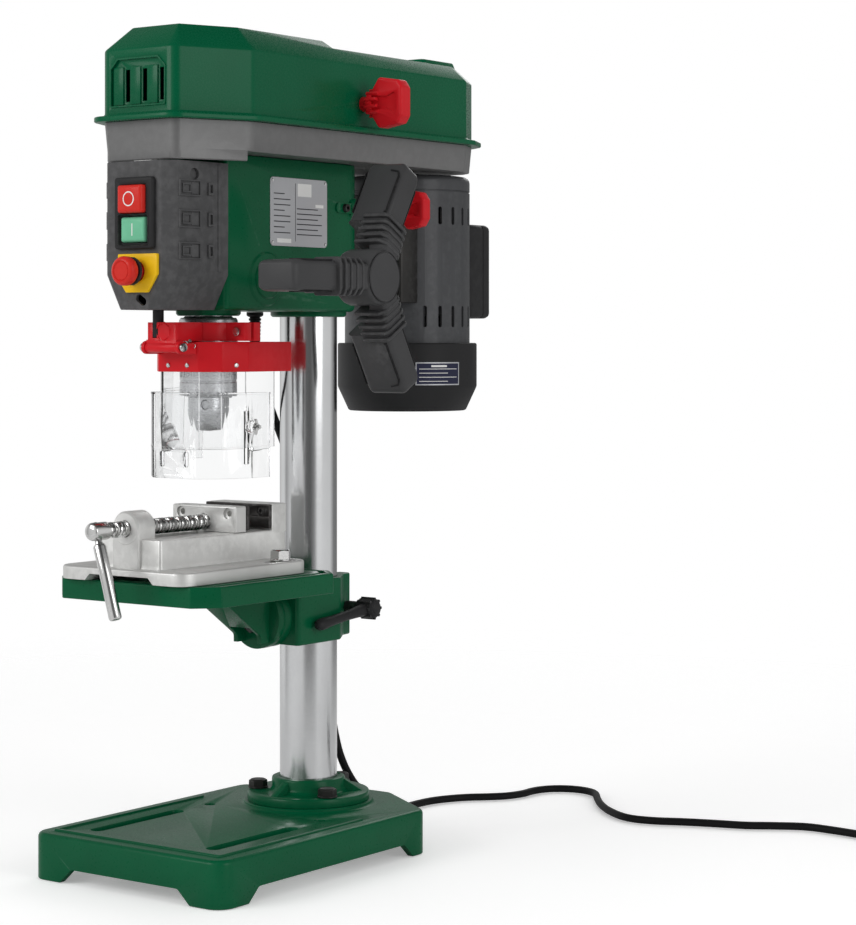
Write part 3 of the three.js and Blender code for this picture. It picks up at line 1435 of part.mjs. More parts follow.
function buildSpindle() {
  return shaped([
    lathe([
      [0, arborBottom], [arborRadius, arborBottom], [arborRadius, chuckTop + bevel], [spindleRadius,
        quillBottom + bevel],
      [spindleRadius, quillTop + broadBevel], [0, quillTop + broadBevel],
    ], sidesMedium),
    splineBar(0, quillTop, spindleTop),
  ]);
}

function buildHandle() {
  const hub = lathe([
    [0, -handleHubDepth], [handleHubRadius * 0.8, -handleHubDepth], [handleHubRadius,
      -handleHubDepth + deepBevel],
    [handleHubRadius, -bevel], [handleHubRadius - fineBevel, 0], [handleCapRadius + hairRim, 0],
    [handleCapRadius + hairRim, -handleCapRecess], [0, -handleCapRecess],
  ], sidesFine);
  hub.rotateY(Math.PI / 2);
  const arm = () => {
    const grip = stack(rectangle(-handleSweep - handleGripDepth, -handleHalfWidth, -handleSweep,
      handleHalfWidth, broadBevel),
      [[handleGripStart, wideBevel], [handleGripStart + deepBevel, 0], [handleReach - wideBevel, 0],
        [handleReach, wideBevel]]);
    const shares = [0, 0.25, 0.5, 0.75, 1];
    const neck = loft(shares.map((share) => {
      const along = handleHubRadius * 0.4 + share * (handleGripStart + handleArmLap - handleHubRadius * 0.4);
      const back = handleSweep * share;
      const half = handleNeckHalfWidth;
      return [[-back - handleNeckDepth, -half, along], [-back, -half, along], [-back, half, along],
        [-back - handleNeckDepth, half, along]];
    }));
    const fins = Array.from({ length: handleFins }, (_, index) => {
      const z = handleHubRadius + wideBevel + index * handleFinPitch;
      return block([-handleFinDepth - handleSweep / 2, -handleHalfWidth - sink, z],
        [-bevel - handleSweep * 0.5, handleHalfWidth + sink, z + handleFinThickness]);
    });
    return [grip, neck, ...fins];
  };
  const arms = Array.from({ length: handleArms }, (_, index) =>
    arm().map((part) => turned(part, 'x', 90 + (360 * index) / handleArms))).flat();
  const socket = rod(feedShaftRadius + clearance, -handleHubDepth - overrun,
    -handleHubDepth * 0.6 + clearance,
    'x', sidesMedium);
  return shaped([hub, ...arms], [socket]);
}

function buildSpringCap() {
  const depth = springCapDepth;
  const body = lathe([
    [feedShaftRadius + clearance, depth - springCapWall], [springCapRadius - springCapWall,
      depth - springCapWall],
    [springCapRadius - springCapWall, 0], [springCapRadius, 0], [springCapRadius, depth - wideBevel],
    [springCapRadius - wideBevel, depth], [springNutRadius + bevel, depth], [feedShaftRadius + clearance,
      depth],
  ], sidesMedium, true);
  return body.rotateY(-Math.PI / 2);
}

// A bar that lies in a chuck jaw's inclined bore, between two distances down it.
function jawBar(radius, from, to, sides = sidesSmall) {
  const bar = turned(rod(radius, -to, -from, 'z', sides), 'y', jawAngle);
  return move(bar, jawTopReach, 0, jawTopHeight);
}

function buildChuckBody() {
  const profile = [
    [0, chuckTop], [chuckUpperRadius - bevel, chuckTop], [chuckUpperRadius, chuckTop - bevel],
    [chuckUpperRadius, sleeveBottom - hairBevel], [chuckBodyRadius, sleeveBottom - fineBevel],
    [chuckBodyRadius, chuckRoundStart], [chuckBodyRadius * 0.94, chuckRoundStart - deepBevel],
    [chuckNoseRadius + fineBevel, chuckBottom + midBevel], [chuckNoseRadius, chuckBottom], [0, chuckBottom],
  ].reverse();
  const boreLength = (chuckBottom - jawTopHeight) * -1.2;
  const bores = around(3, () => jawBar(jawBoreRadius, 0, boreLength));
  const keyHoles = around(3, () => turned(move(rod(keyHoleRadius, chuckBodyRadius - keyHoleDepth,
    chuckBodyRadius + overrun, 'x', sidesSmall), 0, 0, keyHoleHeight), 'z', 60));
  const socket = rod(arborRadius + clearance, arborBottom - clearance, chuckTop + overrun);
  const bore = rod(chuckBoreRadius, chuckBottom - overrun, jawTopHeight + sink);
  return shaped([lathe(profile, sidesFine)], [...bores, ...keyHoles, socket, bore]);
}

function buildSleeve() {
  const body = ringBar(sleeveBore, sleeveRadius, sleeveBottom, sleeveTop);
  const notch = () => prism([
    [-sleeveToothRoot, sleeveBottom - sink], [sleeveToothRoot, sleeveBottom - sink],
    [sleeveToothTip, sleeveBottom + sleeveToothDepth],
    [-sleeveToothTip, sleeveBottom + sleeveToothDepth],
  ], sleeveBore - overrun, sleeveRadius + overrun, 'y');
  return shaped([body], around(sleeveTeeth, notch));
}

// Each jaw has two flats at 120 degrees, which meet its neighbours' when the chuck closes.
function buildChuckJaw() {
  const edge = jawStroke * Math.sin(THREE.MathUtils.degToRad(jawAngle)) + clearance / 2;
  const deep = jawTopReach + 2 * jawRadius;
  const wide = (deep - edge) * Math.tan(Math.PI / 3);
  const wedge = prism([[edge, 0], [deep, -wide], [deep, wide]], 2 * chuckBottom, 0);
  return common(jawBar(jawRadius, jawStart, jawStart + jawLength), wedge);
}

function frameCorners(inset) {
  const corners = mirrored([
    [frameFrontHalfWidth, frameFrontY], [frameFacetX, frameFacetY], [frameSideX, frameSideY],
    [frameSideX, frameRear],
  ]);
  return outline(corners, inset).map((point) => [point.x, point.y]);
}

// A U-shaped wall that follows the guard's outline and stands open at the rear.
function guardWall(outerInset, wall, low, high, rear) {
  const outer = prism(frameCorners(outerInset), low, high);
  const inner = prism(frameCorners(outerInset + wall), low - overrun, high + overrun);
  const behind = block([-2 * frameSideX, rear, low - 2 * overrun], [2 * frameSideX, 2 * frameRear,
    high + 2 * overrun]);
  return shaped([outer], [inner, behind]);
}

function buildGuardClamp() {
  const band = ringBar(quillCollarRadius + clearance, bandOuter, bandBottom, bandTop);
  const ears = block([bandOuter - wideBevel, -bandEarHalfWidth, bandBottom], [bandEarReach,
    bandEarHalfWidth, bandTop]);
  const slot = block([quillCollarRadius - overrun, -bandSlot / 2, bandBottom - overrun],
    [bandEarReach + overrun, bandSlot / 2, bandTop + overrun]);
  const blockFoot = block([-guardBlockHalfWidth, guardBlockFront, bandBottom],
    [guardBlockHalfWidth, -quillCollarRadius - bevel, bandTop]);
  const pinEar = block([-guardBlockHalfWidth, guardAxisY - guardEarRadius / 2, guardAxisHeight],
    [guardBlockHalfWidth, guardAxisY + guardEarRadius / 2, bandBottom + sink]);
  const pinEye = move(rod(guardEarRadius - sink, -guardBlockHalfWidth, guardBlockHalfWidth, 'x',
    sidesSmall), 0,
    guardAxisY, guardAxisHeight);
  const nut = move(hexagon(guardNutFlats, guardBlockFront - wideBevel, guardBlockFront + sink, 'y'),
    guardNutX, 0, (bandTop + bandBottom) / 2);
  const pinHole = move(rod(guardPinRadius + clearance, -guardBlockHalfWidth - overrun, guardBlockHalfWidth
    + overrun, 'x', sidesSmall), 0, guardAxisY, guardAxisHeight);
  const rodHole = move(rod(depthRodRadius + clearance, depthRodBottom, bandTop + overrun, 'z', sidesMedium),
    depthRodX, depthRodY, 0);
  const earHole = move(rod(bandEarHoleRadius, -bandEarHalfWidth - overrun, bandEarHalfWidth + overrun,
    'y', sidesSmall),
    bandEarReach - bandEarHoleInset, 0, (bandTop + bandBottom) / 2);
  const quillGap = rod(quillCollarRadius + clearance, bandBottom - overrun, bandTop + overrun, 'z',
    sidesFine);
  return shaped([band, ears, blockFoot, pinEar, pinEye, nut], [slot, pinHole, rodHole, earHole, quillGap]);
}

function buildGuardFrame() {
  const wall = guardWall(0, frameWall, frameBottom, frameTop, frameRear);
  const ear = (side) => {
    const x0 = side > 0 ? guardBlockHalfWidth
      + clearance : -guardBlockHalfWidth - clearance - guardEarThickness;
    const eye = move(rod(guardEarRadius, x0, x0 + guardEarThickness, 'x', sidesMedium), 0, guardAxisY,
      guardAxisHeight);
    const arm = block([x0, guardAxisY, guardAxisHeight - guardEarRadius],
      [x0 + guardEarThickness, frameFrontY + frameWall, guardAxisHeight + wideBevel]);
    return [eye, arm];
  };
  const pinHole = move(rod(guardPinRadius + clearance, -guardEarHalfWidth - 2 * overrun, guardEarHalfWidth
    + 2 * overrun, 'x', sidesSmall), 0, guardAxisY, guardAxisHeight);
  return shaped([wall, ...ear(1), ...ear(-1)], [pinHole]);
}

function buildGuardPin() {
  const head = (side) => {
    const start = side * (guardEarHalfWidth + sink + clearance);
    const end = side * guardPinHalfLength + side * 2;
    return rod(guardPinHeadRadius, Math.min(start, end), Math.max(start, end), 'x', sidesMedium);
  };
  return shaped([rod(guardPinRadius, -guardPinHalfLength, guardPinHalfLength, 'x', sidesSmall), head(1),
    head(-1)]);
}

function buildInnerShield() {
  const wall = guardWall(frameWall + clearance, shieldWall, innerShieldBottom, innerShieldTop,
    innerShieldRear);
  return wall;
}

function buildOuterShield() {
  const inset = -outerShieldGap - shieldWall;
  const wall = guardWall(inset, shieldWall, outerShieldBottom, outerShieldTop, outerShieldRear);
  const sideSlot = block([-2 * frameSideX, shieldSlotY - shieldSlotWidth / 2, shieldSlotLow],
    [2 * frameSideX, shieldSlotY + shieldSlotWidth / 2, shieldSlotHigh]);
  const boss = (side) => {
    const reach = frameSideX - frameWall - clearance;
    const low = side > 0 ? reach + clearance : -frameSideX - outerShieldGap - shieldWall;
    const high = side > 0 ? frameSideX + outerShieldGap + shieldWall : -reach - clearance;
    return move(rod(shieldSlotWidth * 1.3, low, high, 'x', sidesSmall), 0, shieldSlotY + 2 * shieldSlotWidth,
      shieldScrewHeight);
  };
  return shaped([wall, boss(1), boss(-1)], [sideSlot]);
}

function buildDepthRod() {
  const body = shaped([
    rod(depthRodRadius, depthRodBottom + clearance, depthRodTop, 'z', sidesMedium),
    rod(depthNutRadius, depthNutLow, depthNutLow + depthNutHeight, 'z', sidesSmall),
  ]);
  return move(body, depthRodX, depthRodY, 0);
}

function buildMotorHousing() {
  const inner = motorRadius - motorWall;
  const profile = [
    [inner, fanCoverTop - fanCoverLap], [motorRadius, fanCoverTop - fanCoverLap], [motorRadius,
      motorCapSeam - hairGroove],
    [motorRadius - hairRim, motorCapSeam - hairGroove], [motorRadius - hairRim, motorCapSeam + hairGroove],
    [motorRadius, motorCapSeam + hairGroove], [motorRadius, motorTop - motorCapRound],
    [motorRadius - motorCapRound * 0.3, motorTop - motorCapRound * 0.3], [motorRadius - motorCapRound,
      motorTop],
    [motorShaftRadius + sink, motorTop], [motorShaftRadius + sink, motorTop - motorWall],
    [inner, motorTop - motorWall],
  ];
  const body = lathe(profile, ventCount, true);
  const vents = (low, shift) => around(ventCount, () => turned(block([inner - overrun, -ventWidth / 2, low],
    [motorRadius + overrun, ventWidth / 2, low + ventHeight]), 'z', shift));
  const halfStep = 180 / ventCount;
  const stator = ringBar(statorInner, statorOuter, statorLow, statorHigh, sidesMedium);
  return shaped([body, stator], vents(ventHigh, halfStep));
}

function buildFanCover() {
  const bore = motorRadius + clearance;
  const profile = [
    [0, motorBottom], [fanCoverFloorRadius, motorBottom],
    [fanCoverRadius, fanCoverChamferTop], [fanCoverRadius, fanCoverTop - sink], [fanCoverRadius - sink,
      fanCoverTop],
    [bore, fanCoverTop], [bore, fanCoverTop - fanCoverSpigot], [fanCoverRadius - fanCoverWall,
      fanCoverTop - fanCoverSpigot - broadBevel],
    [fanCoverRadius - fanCoverWall, fanCoverChamferTop], [fanCoverFloorRadius - fanCoverWall,
      motorBottom + fanCoverWall], [0, motorBottom + fanCoverWall],
  ];
  const body = lathe(profile, ventCount);
  const slots = around(grilleSlots, () => block([grilleInner, -grilleSlotWidth / 2, motorBottom - overrun],
    [grilleOuter, grilleSlotWidth / 2, motorBottom + 2 * fanCoverWall]));
  return shaped([body], slots);
}

function buildTerminalBox() {
  const start = motorRadius - motorWall;
  const box = stack(rectangle(-terminalHalfWidth, terminalLow, terminalHalfWidth, terminalHigh, terminalEdge),
    [[start, 0], [terminalRear - terminalEdge, 0], [terminalRear, terminalEdge]], 'y');
  const motorFit = rod(motorRadius + clearance, terminalLow - overrun, terminalHigh + overrun, 'z',
    ventCount);
  return shaped([box], [motorFit]);
}

function buildSaddle() {
  const plate = block([-saddleHalfWidth, saddleFront, saddleLow], [saddleHalfWidth, saddleRear, saddleHigh]);
  const motorFit = rod(motorRadius + clearance, saddleLow - overrun, saddleHigh + overrun, 'z', ventCount);
  const slideRod = (x) => move(rod(slideRodRadius, slideRodFront, saddleFront + overrun, 'y'), x, 0,
    lockScrewHeight);
  return shaped([plate, slideRod(-lugX), slideRod(lugX)], [motorFit]);
}

function buildRotor() {
  const top = pulleyBottom + pulleySteps * pulleyPitch + broadBevel;
  const blade = () => turned(block([fanHubRadius - bevel, -fanBladeThickness / 2, fanLow],
    [fanRadius, fanBladeThickness / 2, fanHigh]), 'z', 12);
  return shaped([
    rod(motorShaftRadius, fanLow - sink, top, 'z', sidesMedium),
    rod(rotorRadius, statorLow + broadBevel, statorHigh - broadBevel, 'z', sidesMedium),
    rod(fanHubRadius, fanLow, fanHigh, 'z', sidesMedium),
    rod(fanRadius - deepBevel, fanHigh - overrun, fanHigh, 'z', sidesMedium),
    ...around(fanBlades, blade),
  ]);
}

function buildHeadUnit() {
  const spindleLine = [0, -spindleReach, 0];
  const feedLine = [0, -spindleReach + feedReach, feedAxisHeight];
  const lockScrew = piece('head_lock_screw', shaped([
    rod(lockScrewRadius, columnRadius + 2 * clearance, headHalfWidth + lockScrewProud, 'x', sidesSmall),
  ], [rod(lockScrewRadius / 2, headHalfWidth + sink, headHalfWidth + 2 * lockScrewProud, 'x', 6)]),
  finishes.boltSteel);
  lockScrew.position.set(0, 0, lockScrewHeight);
  const handle = piece('feed_handle', buildHandle(), finishes.handleBlack);
  handle.position.set(handleFace, 0, 0);
  const springCap = piece('return_spring_cap', buildSpringCap(), finishes.blackPlastic);
  springCap.position.set(-headHalfWidth - feedBossDepth - clearance, 0, 0);
  const lidKnob = piece('lid_knob', buildWingKnob(knobScrewLength), finishes.guardRed);
  lidKnob.position.set(panHalfWidth, lidKnobY, headHeight + panDepth + clearance + lidKnobHeight);
  const lockKnob = piece('motor_lock_knob', buildWingKnob(knobScrewLength - broadBevel, lockKnobScale),
    finishes.guardRed);
  lockKnob.position.set(knobBossReach, knobBossY, lockScrewHeight);
  const hingePin = move(rod(hingePinRadius, hingeFront - knuckleLength, hingeRear + 2 * knuckleLength, 'y',
    sidesSmall), hingeX, 0, headHeight + panDepth + clearance + hingeRise);
  const gland = lathe([
    [0, -glandLength], [glandTipRadius, -glandLength], [glandRadius, -broadBevel],
      [glandRadius + fineBevel, -wideBevel],
    [glandRadius + fineBevel, -clearance], [0, -clearance],
  ], sidesMedium);
  const jaws = [0, 1, 2].map((index) => {
    const jaw = piece(`chuck_jaw_${index + 1}`, buildChuckJaw(), finishes.steel);
    jaw.rotation.z = (2 * Math.PI * index) / 3;
    return jaw;
  });
  const bearing = (name, low) => piece(name, ringBar(spindleRadius + clearance / 2, bearingRadius, low,
    low + bearingWidth, sidesFine), finishes.chrome);
  return group([0, 0, headBottom],
    piece('head_casting', buildHeadCasting(), finishes.castGreen),
    lockScrew,
    piece('front_housing', buildFrontHousing(), finishes.housingGrey),
    piece('switch_bezel', buildBezel(), finishes.blackPlastic),
    piece('stop_button', buildButton(stopLow, stopHigh, stopProud), finishes.stopRed),
    piece('start_button', buildButton(startLow, startHigh, startProud), finishes.startGreen),
    piece('estop_button', buildEstop(), finishes.stopRed),
    piece('belt_pan', buildPan(), finishes.sheetGrey),
    group([0, 0, headHeight + panDepth + clearance], piece('belt_lid', buildLid(), finishes.lidGreen)),
    piece('lid_hinge_pin', hingePin, finishes.steel),
    lidKnob, lockKnob,
    piece('drive_belt', buildBelt(), finishes.beltRubber),
    group(feedLine,
      piece('feed_pinion_shaft', buildFeedShaft(), finishes.steel), handle, springCap),
    group(spindleLine,
      piece('spindle_pulley', buildSpindlePulley(), finishes.castAluminium),
      piece('spindle', buildSpindle(), finishes.steel),
      piece('quill', buildQuill(), finishes.steel),
      bearing('quill_bearing_lower', quillBottom + clearance / 2),
      bearing('quill_bearing_upper', quillTop - bearingWidth - clearance / 2),
      piece('depth_rod', buildDepthRod(), finishes.blackPlastic),
      piece('guard_clamp', buildGuardClamp(), finishes.guardRed),
      piece('guard_frame', buildGuardFrame(), finishes.guardRed),
      group([0, guardAxisY, guardAxisHeight], piece('guard_hinge_pin', buildGuardPin(), finishes.chrome)),
      piece('inner_shield', buildInnerShield(), finishes.clearShield),
      piece('outer_shield', buildOuterShield(), finishes.clearShield),
      piece('chuck_body', buildChuckBody(), finishes.chrome),
      piece('chuck_sleeve', buildSleeve(), finishes.chrome),
      ...jaws),
    group([0, motorReach, 0],
      piece('motor_housing', buildMotorHousing(), finishes.motorGrey),
      piece('motor_fan_cover', buildFanCover(), finishes.blackPlastic),
      piece('motor_terminal_box', buildTerminalBox(), finishes.blackPlastic),
      piece('motor_saddle', buildSaddle(), finishes.motorGrey),
      piece('motor_rotor', buildRotor(), finishes.steel),
      piece('motor_pulley', buildMotorPulley(), finishes.castAluminium)),
    group([glandX, glandY, 0], piece('cord_gland', gland, finishes.cordRubber)));
}

function buildCord() {
  const path = new THREE.CatmullRomCurve3(cordRoute.map((point) => new THREE.Vector3(...point)));
  const section = new THREE.Shape();
  for (let side = 0; side < cordSides; side += 1) {
    const angle = (2 * Math.PI * side) / cordSides;
    const point = [cordRadius * Math.cos(angle), cordRadius * Math.sin(angle)];
    if (side === 0) section.moveTo(...point);
    else section.lineTo(...point);
  }
  section.closePath();
  return new THREE.ExtrudeGeometry(section, { steps: cordTubeSteps, extrudePath: path, curveSegments: 1 });
}

// The coil spirals in on the bench, climbs a layer while it stays at its inner radius, and
// spirals out again on top of itself. Both ends run straight, and the last one clears the loops.
function coilPath() {
  const lead = 2 * cordRadius;
  const groove = lead * coilGrooveShare;
  const layer = lead * coilLayerShare;
  const climbStart = coilLayerTurns;
  const climbEnd = coilLayerTurns + coilClimbTurns;
  const end = climbEnd + coilLayerTurns;
  const place = (turns) => {
    const angle = 2 * Math.PI * turns;
    const inward = Math.min(turns, climbStart) - Math.max(turns - climbEnd, 0);
    const climb = THREE.MathUtils.clamp((turns - climbStart) / coilClimbTurns, 0, 1);
    const radius = coilRadius - groove * inward;
    return new THREE.Vector3(radius * Math.sin(angle), -radius * Math.cos(angle), layer * climb);
  };
  const count = Math.round(end * coilSteps);
  const path = Array.from({ length: count + 1 }, (_, index) => place((end * index) / count));
  const last = path.at(-1);
  path.unshift(new THREE.Vector3(-lead, -coilRadius, 0));
  path.push(new THREE.Vector3(last.x + coilRadius + lead, last.y, last.z));
  return path;
}

function leastGap(path) {
  const apart = coilSteps / 2;
  let least = Infinity;
  path.forEach((point, index) => {
    for (const other of path.slice(index + apart)) least = Math.min(least, point.distanceTo(other));
  });
  return least - 2 * cordRadius;
}

// A closed tube round a list of points, its section kept upright.
function tube(path, radius, sides) {
  const up = new THREE.Vector3(0, 0, 1);
  const rings = path.map((point, index) => {
    const ahead = path[Math.min(index + 1, path.length - 1)];
    const behind = path[Math.max(index - 1, 0)];
    const along = ahead.clone().sub(behind).normalize();
    const across = new THREE.Vector3().crossVectors(up, along).normalize();
    return Array.from({ length: sides }, (_, side) => {
      const angle = (2 * Math.PI * side) / sides;
      return point.clone().addScaledVector(across, radius * Math.cos(angle))
        .addScaledVector(up, radius * Math.sin(angle)).toArray();
    });
  });
  return loft(rings);
}

function buildPlug() {
  const body = stack(rectangle(-plugWidth / 2, 0, plugWidth / 2, plugThickness, deepBevel),
    [[0, broadBevel], [plugLength * 0.3, 0], [plugLength - bevel, 0],
    [plugLength, bevel]], 'y');
  const pin = (x) => move(rod(plugPinRadius, plugLength - sink, plugLength + plugPinLength, 'y',
    sidesSmall), x, 0,
    plugThickness / 2);
  return shaped([body, pin(-plugPinSpacing / 2), pin(plugPinSpacing / 2)]);
}

function buildLead() {
  const path = coilPath();
  console.log(`cord_coil: least gap to itself ${leastGap(path).toFixed(2)} mm`);
  const meet = new THREE.Vector3(...cordRoute.at(-1));
  const coil = piece('cord_coil', tube(path, cordRadius, coilSides), finishes.cordRubber);
  coil.position.copy(meet).sub(path[0]).add(new THREE.Vector3(clearance, 0, 0));
  const exit = path.at(-1).clone().add(coil.position);
  const plug = piece('mains_plug', buildPlug(), finishes.blackPlastic);
  plug.position.set(exit.x + clearance, exit.y, exit.z - plugThickness / 2);
  plug.rotation.z = -Math.PI / 2;
  return group([0, 0, 0], piece('mains_cord', buildCord(), finishes.cordRubber), coil, plug);
}

const machine = group([0, 0, 0], buildStand(), buildTableUnit(), buildHeadUnit());
machine.updateMatrixWorld(true);
const extent = new THREE.Box3();
const measured = new THREE.Box3();
machine.traverse((member) => {
  if (!member.isMesh || member.name === 'cord_gland') return;
  measured.setFromObject(member, true);
  extent.union(measured);
});
const footprintCentre = extent.getCenter(new THREE.Vector3());
const drillPress = group([-footprintCentre.x, -footprintCentre.y, 0], machine, buildLead());

export default drillPress;
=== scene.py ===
"""Benchtop drill press with a drill vise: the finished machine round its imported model.

Forms are drawn in millimetres from the column's axis on the bench, with the operator on the -Y side,
and each piece is set in the frame in metres as it is made.
"""

import math

import bmesh
import bpy
from bpy.props import FloatProperty, FloatVectorProperty, IntProperty, PointerProperty
from mathutils import Matrix, Vector


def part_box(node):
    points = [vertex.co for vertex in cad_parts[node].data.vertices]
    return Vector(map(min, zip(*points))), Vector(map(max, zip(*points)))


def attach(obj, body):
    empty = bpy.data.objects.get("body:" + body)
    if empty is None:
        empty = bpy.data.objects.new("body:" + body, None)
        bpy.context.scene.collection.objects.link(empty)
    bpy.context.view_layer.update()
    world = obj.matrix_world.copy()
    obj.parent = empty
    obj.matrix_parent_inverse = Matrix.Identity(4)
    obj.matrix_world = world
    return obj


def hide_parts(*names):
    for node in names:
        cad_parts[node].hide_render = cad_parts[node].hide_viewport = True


bl_info = {
    "name": "Benchtop Drill Press",
    "version": (1, 0, 0),
    "blender": (4, 5, 0),
    "location": "View3D > Sidebar > Drill Press",
    "description": "Builds the finished pieces of a benchtop drill press round its fixed frame",
    "category": "Add Mesh",
}

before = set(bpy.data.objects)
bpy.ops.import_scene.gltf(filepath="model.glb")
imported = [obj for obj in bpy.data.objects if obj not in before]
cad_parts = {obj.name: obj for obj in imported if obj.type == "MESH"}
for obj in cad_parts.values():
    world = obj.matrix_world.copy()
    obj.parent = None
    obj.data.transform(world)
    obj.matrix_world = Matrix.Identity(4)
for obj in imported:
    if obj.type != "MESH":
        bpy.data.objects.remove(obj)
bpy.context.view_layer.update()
COLUMN_LOW, COLUMN_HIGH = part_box("column")
COLUMN_AXIS = Vector(((COLUMN_LOW[0] + COLUMN_HIGH[0]) / 2, (COLUMN_LOW[1] + COLUMN_HIGH[1]) / 2, 0))
MM = 0.001

# Smoothness and small gaps
SIDES_LARGE = 96
SIDES_FINE = 64
SIDES_MEDIUM = 40
SIDES_SMALL = 24
CORNER_STEPS = 8
ROUND_STEPS = 4
SMOOTH_ANGLE = 32
FLAT_ANGLE = 1
MERGE_DISTANCE = 0.0005
GAP = 0.3
OVERRUN = 2

# Layout of the machine
SPINDLE_Y = -122
MOTOR_Y = 134
HEAD_Z = 429
BRACKET_Z = 167
TILT_Z = 188.6
VISE_Z = TILT_Z + 40 + GAP
FEED_Y = SPINDLE_Y + 26
FEED_Z = HEAD_Z + 24
BOLT_CIRCLE = 41
DEPTH_ROD_X = -7
DEPTH_ROD_Y = SPINDLE_Y - 49
SHIELD_SCREW_Y = -120.2
SHIELD_SCREW_Z = HEAD_Z - 88
LEAD_THICK = 6.4
COLUMN_FOOT_Z = 38.3
COLUMN_BORE = 23.3
SLIDE_X = 30
LOCK_KNOB_Y = 52
LID_KNOB_Y = -8
LID_KNOB_RISE = 23


def length_property(label, hint, default):
    return FloatProperty(name=label, description=hint, default=default, unit="LENGTH")


class MachineSizes(bpy.types.PropertyGroup):
    """Main sizes of the machine that a user may change."""
    column_radius: length_property("Column radius", "Outer radius of the column", 0.023)
    base_height: length_property("Base height", "Height of the base casting's deck", 0.035)
    base_corner: length_property("Base corner", "Radius of the base's corners", 0.014)
    table_thickness: length_property("Table thickness", "Depth of the table's rim", 0.0154)
    lid_height: length_property("Lid height", "Height of the belt lid above its seam", 0.072)
    motor_radius: length_property("Motor radius", "Outer radius of the motor housing", 0.053)
    vent_count: IntProperty(
        name="Motor vents", description="Slots in each row round the motor", default=24, min=6, max=48)
    sleeve_notches: IntProperty(
        name="Chuck notches", description="Notches round the chuck's sleeve", default=18, min=6, max=36)
    thread_pitch: length_property("Vise thread pitch", "Pitch of the vise screw", 0.0035)
    cord_diameter: length_property("Lead diameter", "Diameter of the mains lead", 0.0064)


def colour_property(label, hint, default):
    return FloatVectorProperty(name=label, description=hint, default=default, subtype="COLOR", size=3,
                               min=0, max=1)


def srgb(red, green, blue):
    """A linear colour from the usual 0 to 255 screen values."""
    def linear(value):
        share = value / 255
        return share / 12.92 if share <= 0.04045 else ((share + 0.055) / 1.055) ** 2.4
    return (linear(red), linear(green), linear(blue))


class MachineColours(bpy.types.PropertyGroup):
    """Finishes of the machine that a user may change."""
    castings: colour_property("Castings", "Paint of base, table, bracket and head", srgb(2, 84, 52))
    lid: colour_property("Lid", "Moulded belt lid", srgb(0, 88, 56))
    pan: colour_property("Pan", "Painted sheet under the lid", srgb(112, 112, 112))
    housing: colour_property("Front housing", "Moulded switch housing", srgb(78, 78, 79))
    motor: colour_property("Motor", "Painted motor housing", srgb(72, 73, 75))
    black: colour_property("Black plastic", "Bezel, fan cover and boxes", srgb(42, 42, 43))
    handle: colour_property("Handle", "Moulded feed handle", srgb(66, 66, 67))
    guard: colour_property("Guard red", "Chuck guard and wing screws", srgb(206, 26, 36))
    stop: colour_property("Stop red", "Stop and emergency buttons", srgb(206, 44, 36))
    start: colour_property("Start green", "Start button", srgb(112, 190, 152))
    plate_yellow: colour_property("Yellow plate", "Plate behind the emergency button", srgb(238, 190, 24))
    floor: colour_property("Floor", "Floor and backdrop", (0.93, 0.93, 0.93))


def sizes():
    return bpy.context.scene.machine_sizes


def colours():
    return bpy.context.scene.machine_colours


def in_mm(metres):
    return metres / MM


# Forms: a form is a list of points in millimetres and a list of faces

def turned(form, axis, degrees):
    matrix = Matrix.Rotation(math.radians(degrees), 3, axis.upper())
    points, faces = form
    return [tuple(matrix @ Vector(point)) for point in points], faces


def moved(form, x, y, z):
    points, faces = form
    return [(px + x, py + y, pz + z) for px, py, pz in points], faces


def flipped(form, axis):
    """The mirror image of a form across its middle on x or y."""
    across, ahead = (-1, 1) if axis == "x" else (1, -1)
    points, faces = form
    return [(x * across, y * ahead, z) for x, y, z in points], [tuple(reversed(face)) for face in faces]


def joined(*forms):
    """Forms that only touch or stand apart, taken together."""
    points, faces = [], []
    for form_points, form_faces in forms:
        start = len(points)
        points.extend(form_points)
        faces.extend([tuple(index + start for index in face) for face in form_faces])
    return points, faces


def along(axis, point):
    """A point that was drawn for an outline extruded on the given axis."""
    x, y, height = point
    return {"x": (height, x, y), "y": (x, height, y), "z": (x, y, height)}[axis]


def outline(corners, inset=0.0, steps=CORNER_STEPS):
    """Points round corners (x, y, radius), counter-clockwise, drawn in by an inset."""
    points = []
    for index, corner in enumerate(corners):
        x, y = corner[0], corner[1]
        radius = corner[2] if len(corner) > 2 else 0
        before, after = corners[index - 1], corners[(index + 1) % len(corners)]
        arrive = Vector((x - before[0], y - before[1])).normalized()
        leave = Vector((after[0] - x, after[1] - y)).normalized()
        turn = math.atan2(arrive.x * leave.y - arrive.y * leave.x, arrive.dot(leave))
        shift = inset / (1 + arrive.dot(leave))
        tip = Vector((x - (arrive.y + leave.y) * shift, y + (arrive.x + leave.x) * shift))
        if radius == 0:
            points.append(tuple(tip))
            continue
        bend = max(radius - math.copysign(1, turn) * inset, 0.2)
        start = tip - arrive * bend * math.tan(abs(turn) / 2)
        centre = start + Vector((-arrive.y, arrive.x)) * math.copysign(bend, turn)
        for step in range(steps + 1):
            swing = Matrix.Rotation(turn * step / steps, 2)
            points.append(tuple(centre + swing @ (start - centre)))
    return points


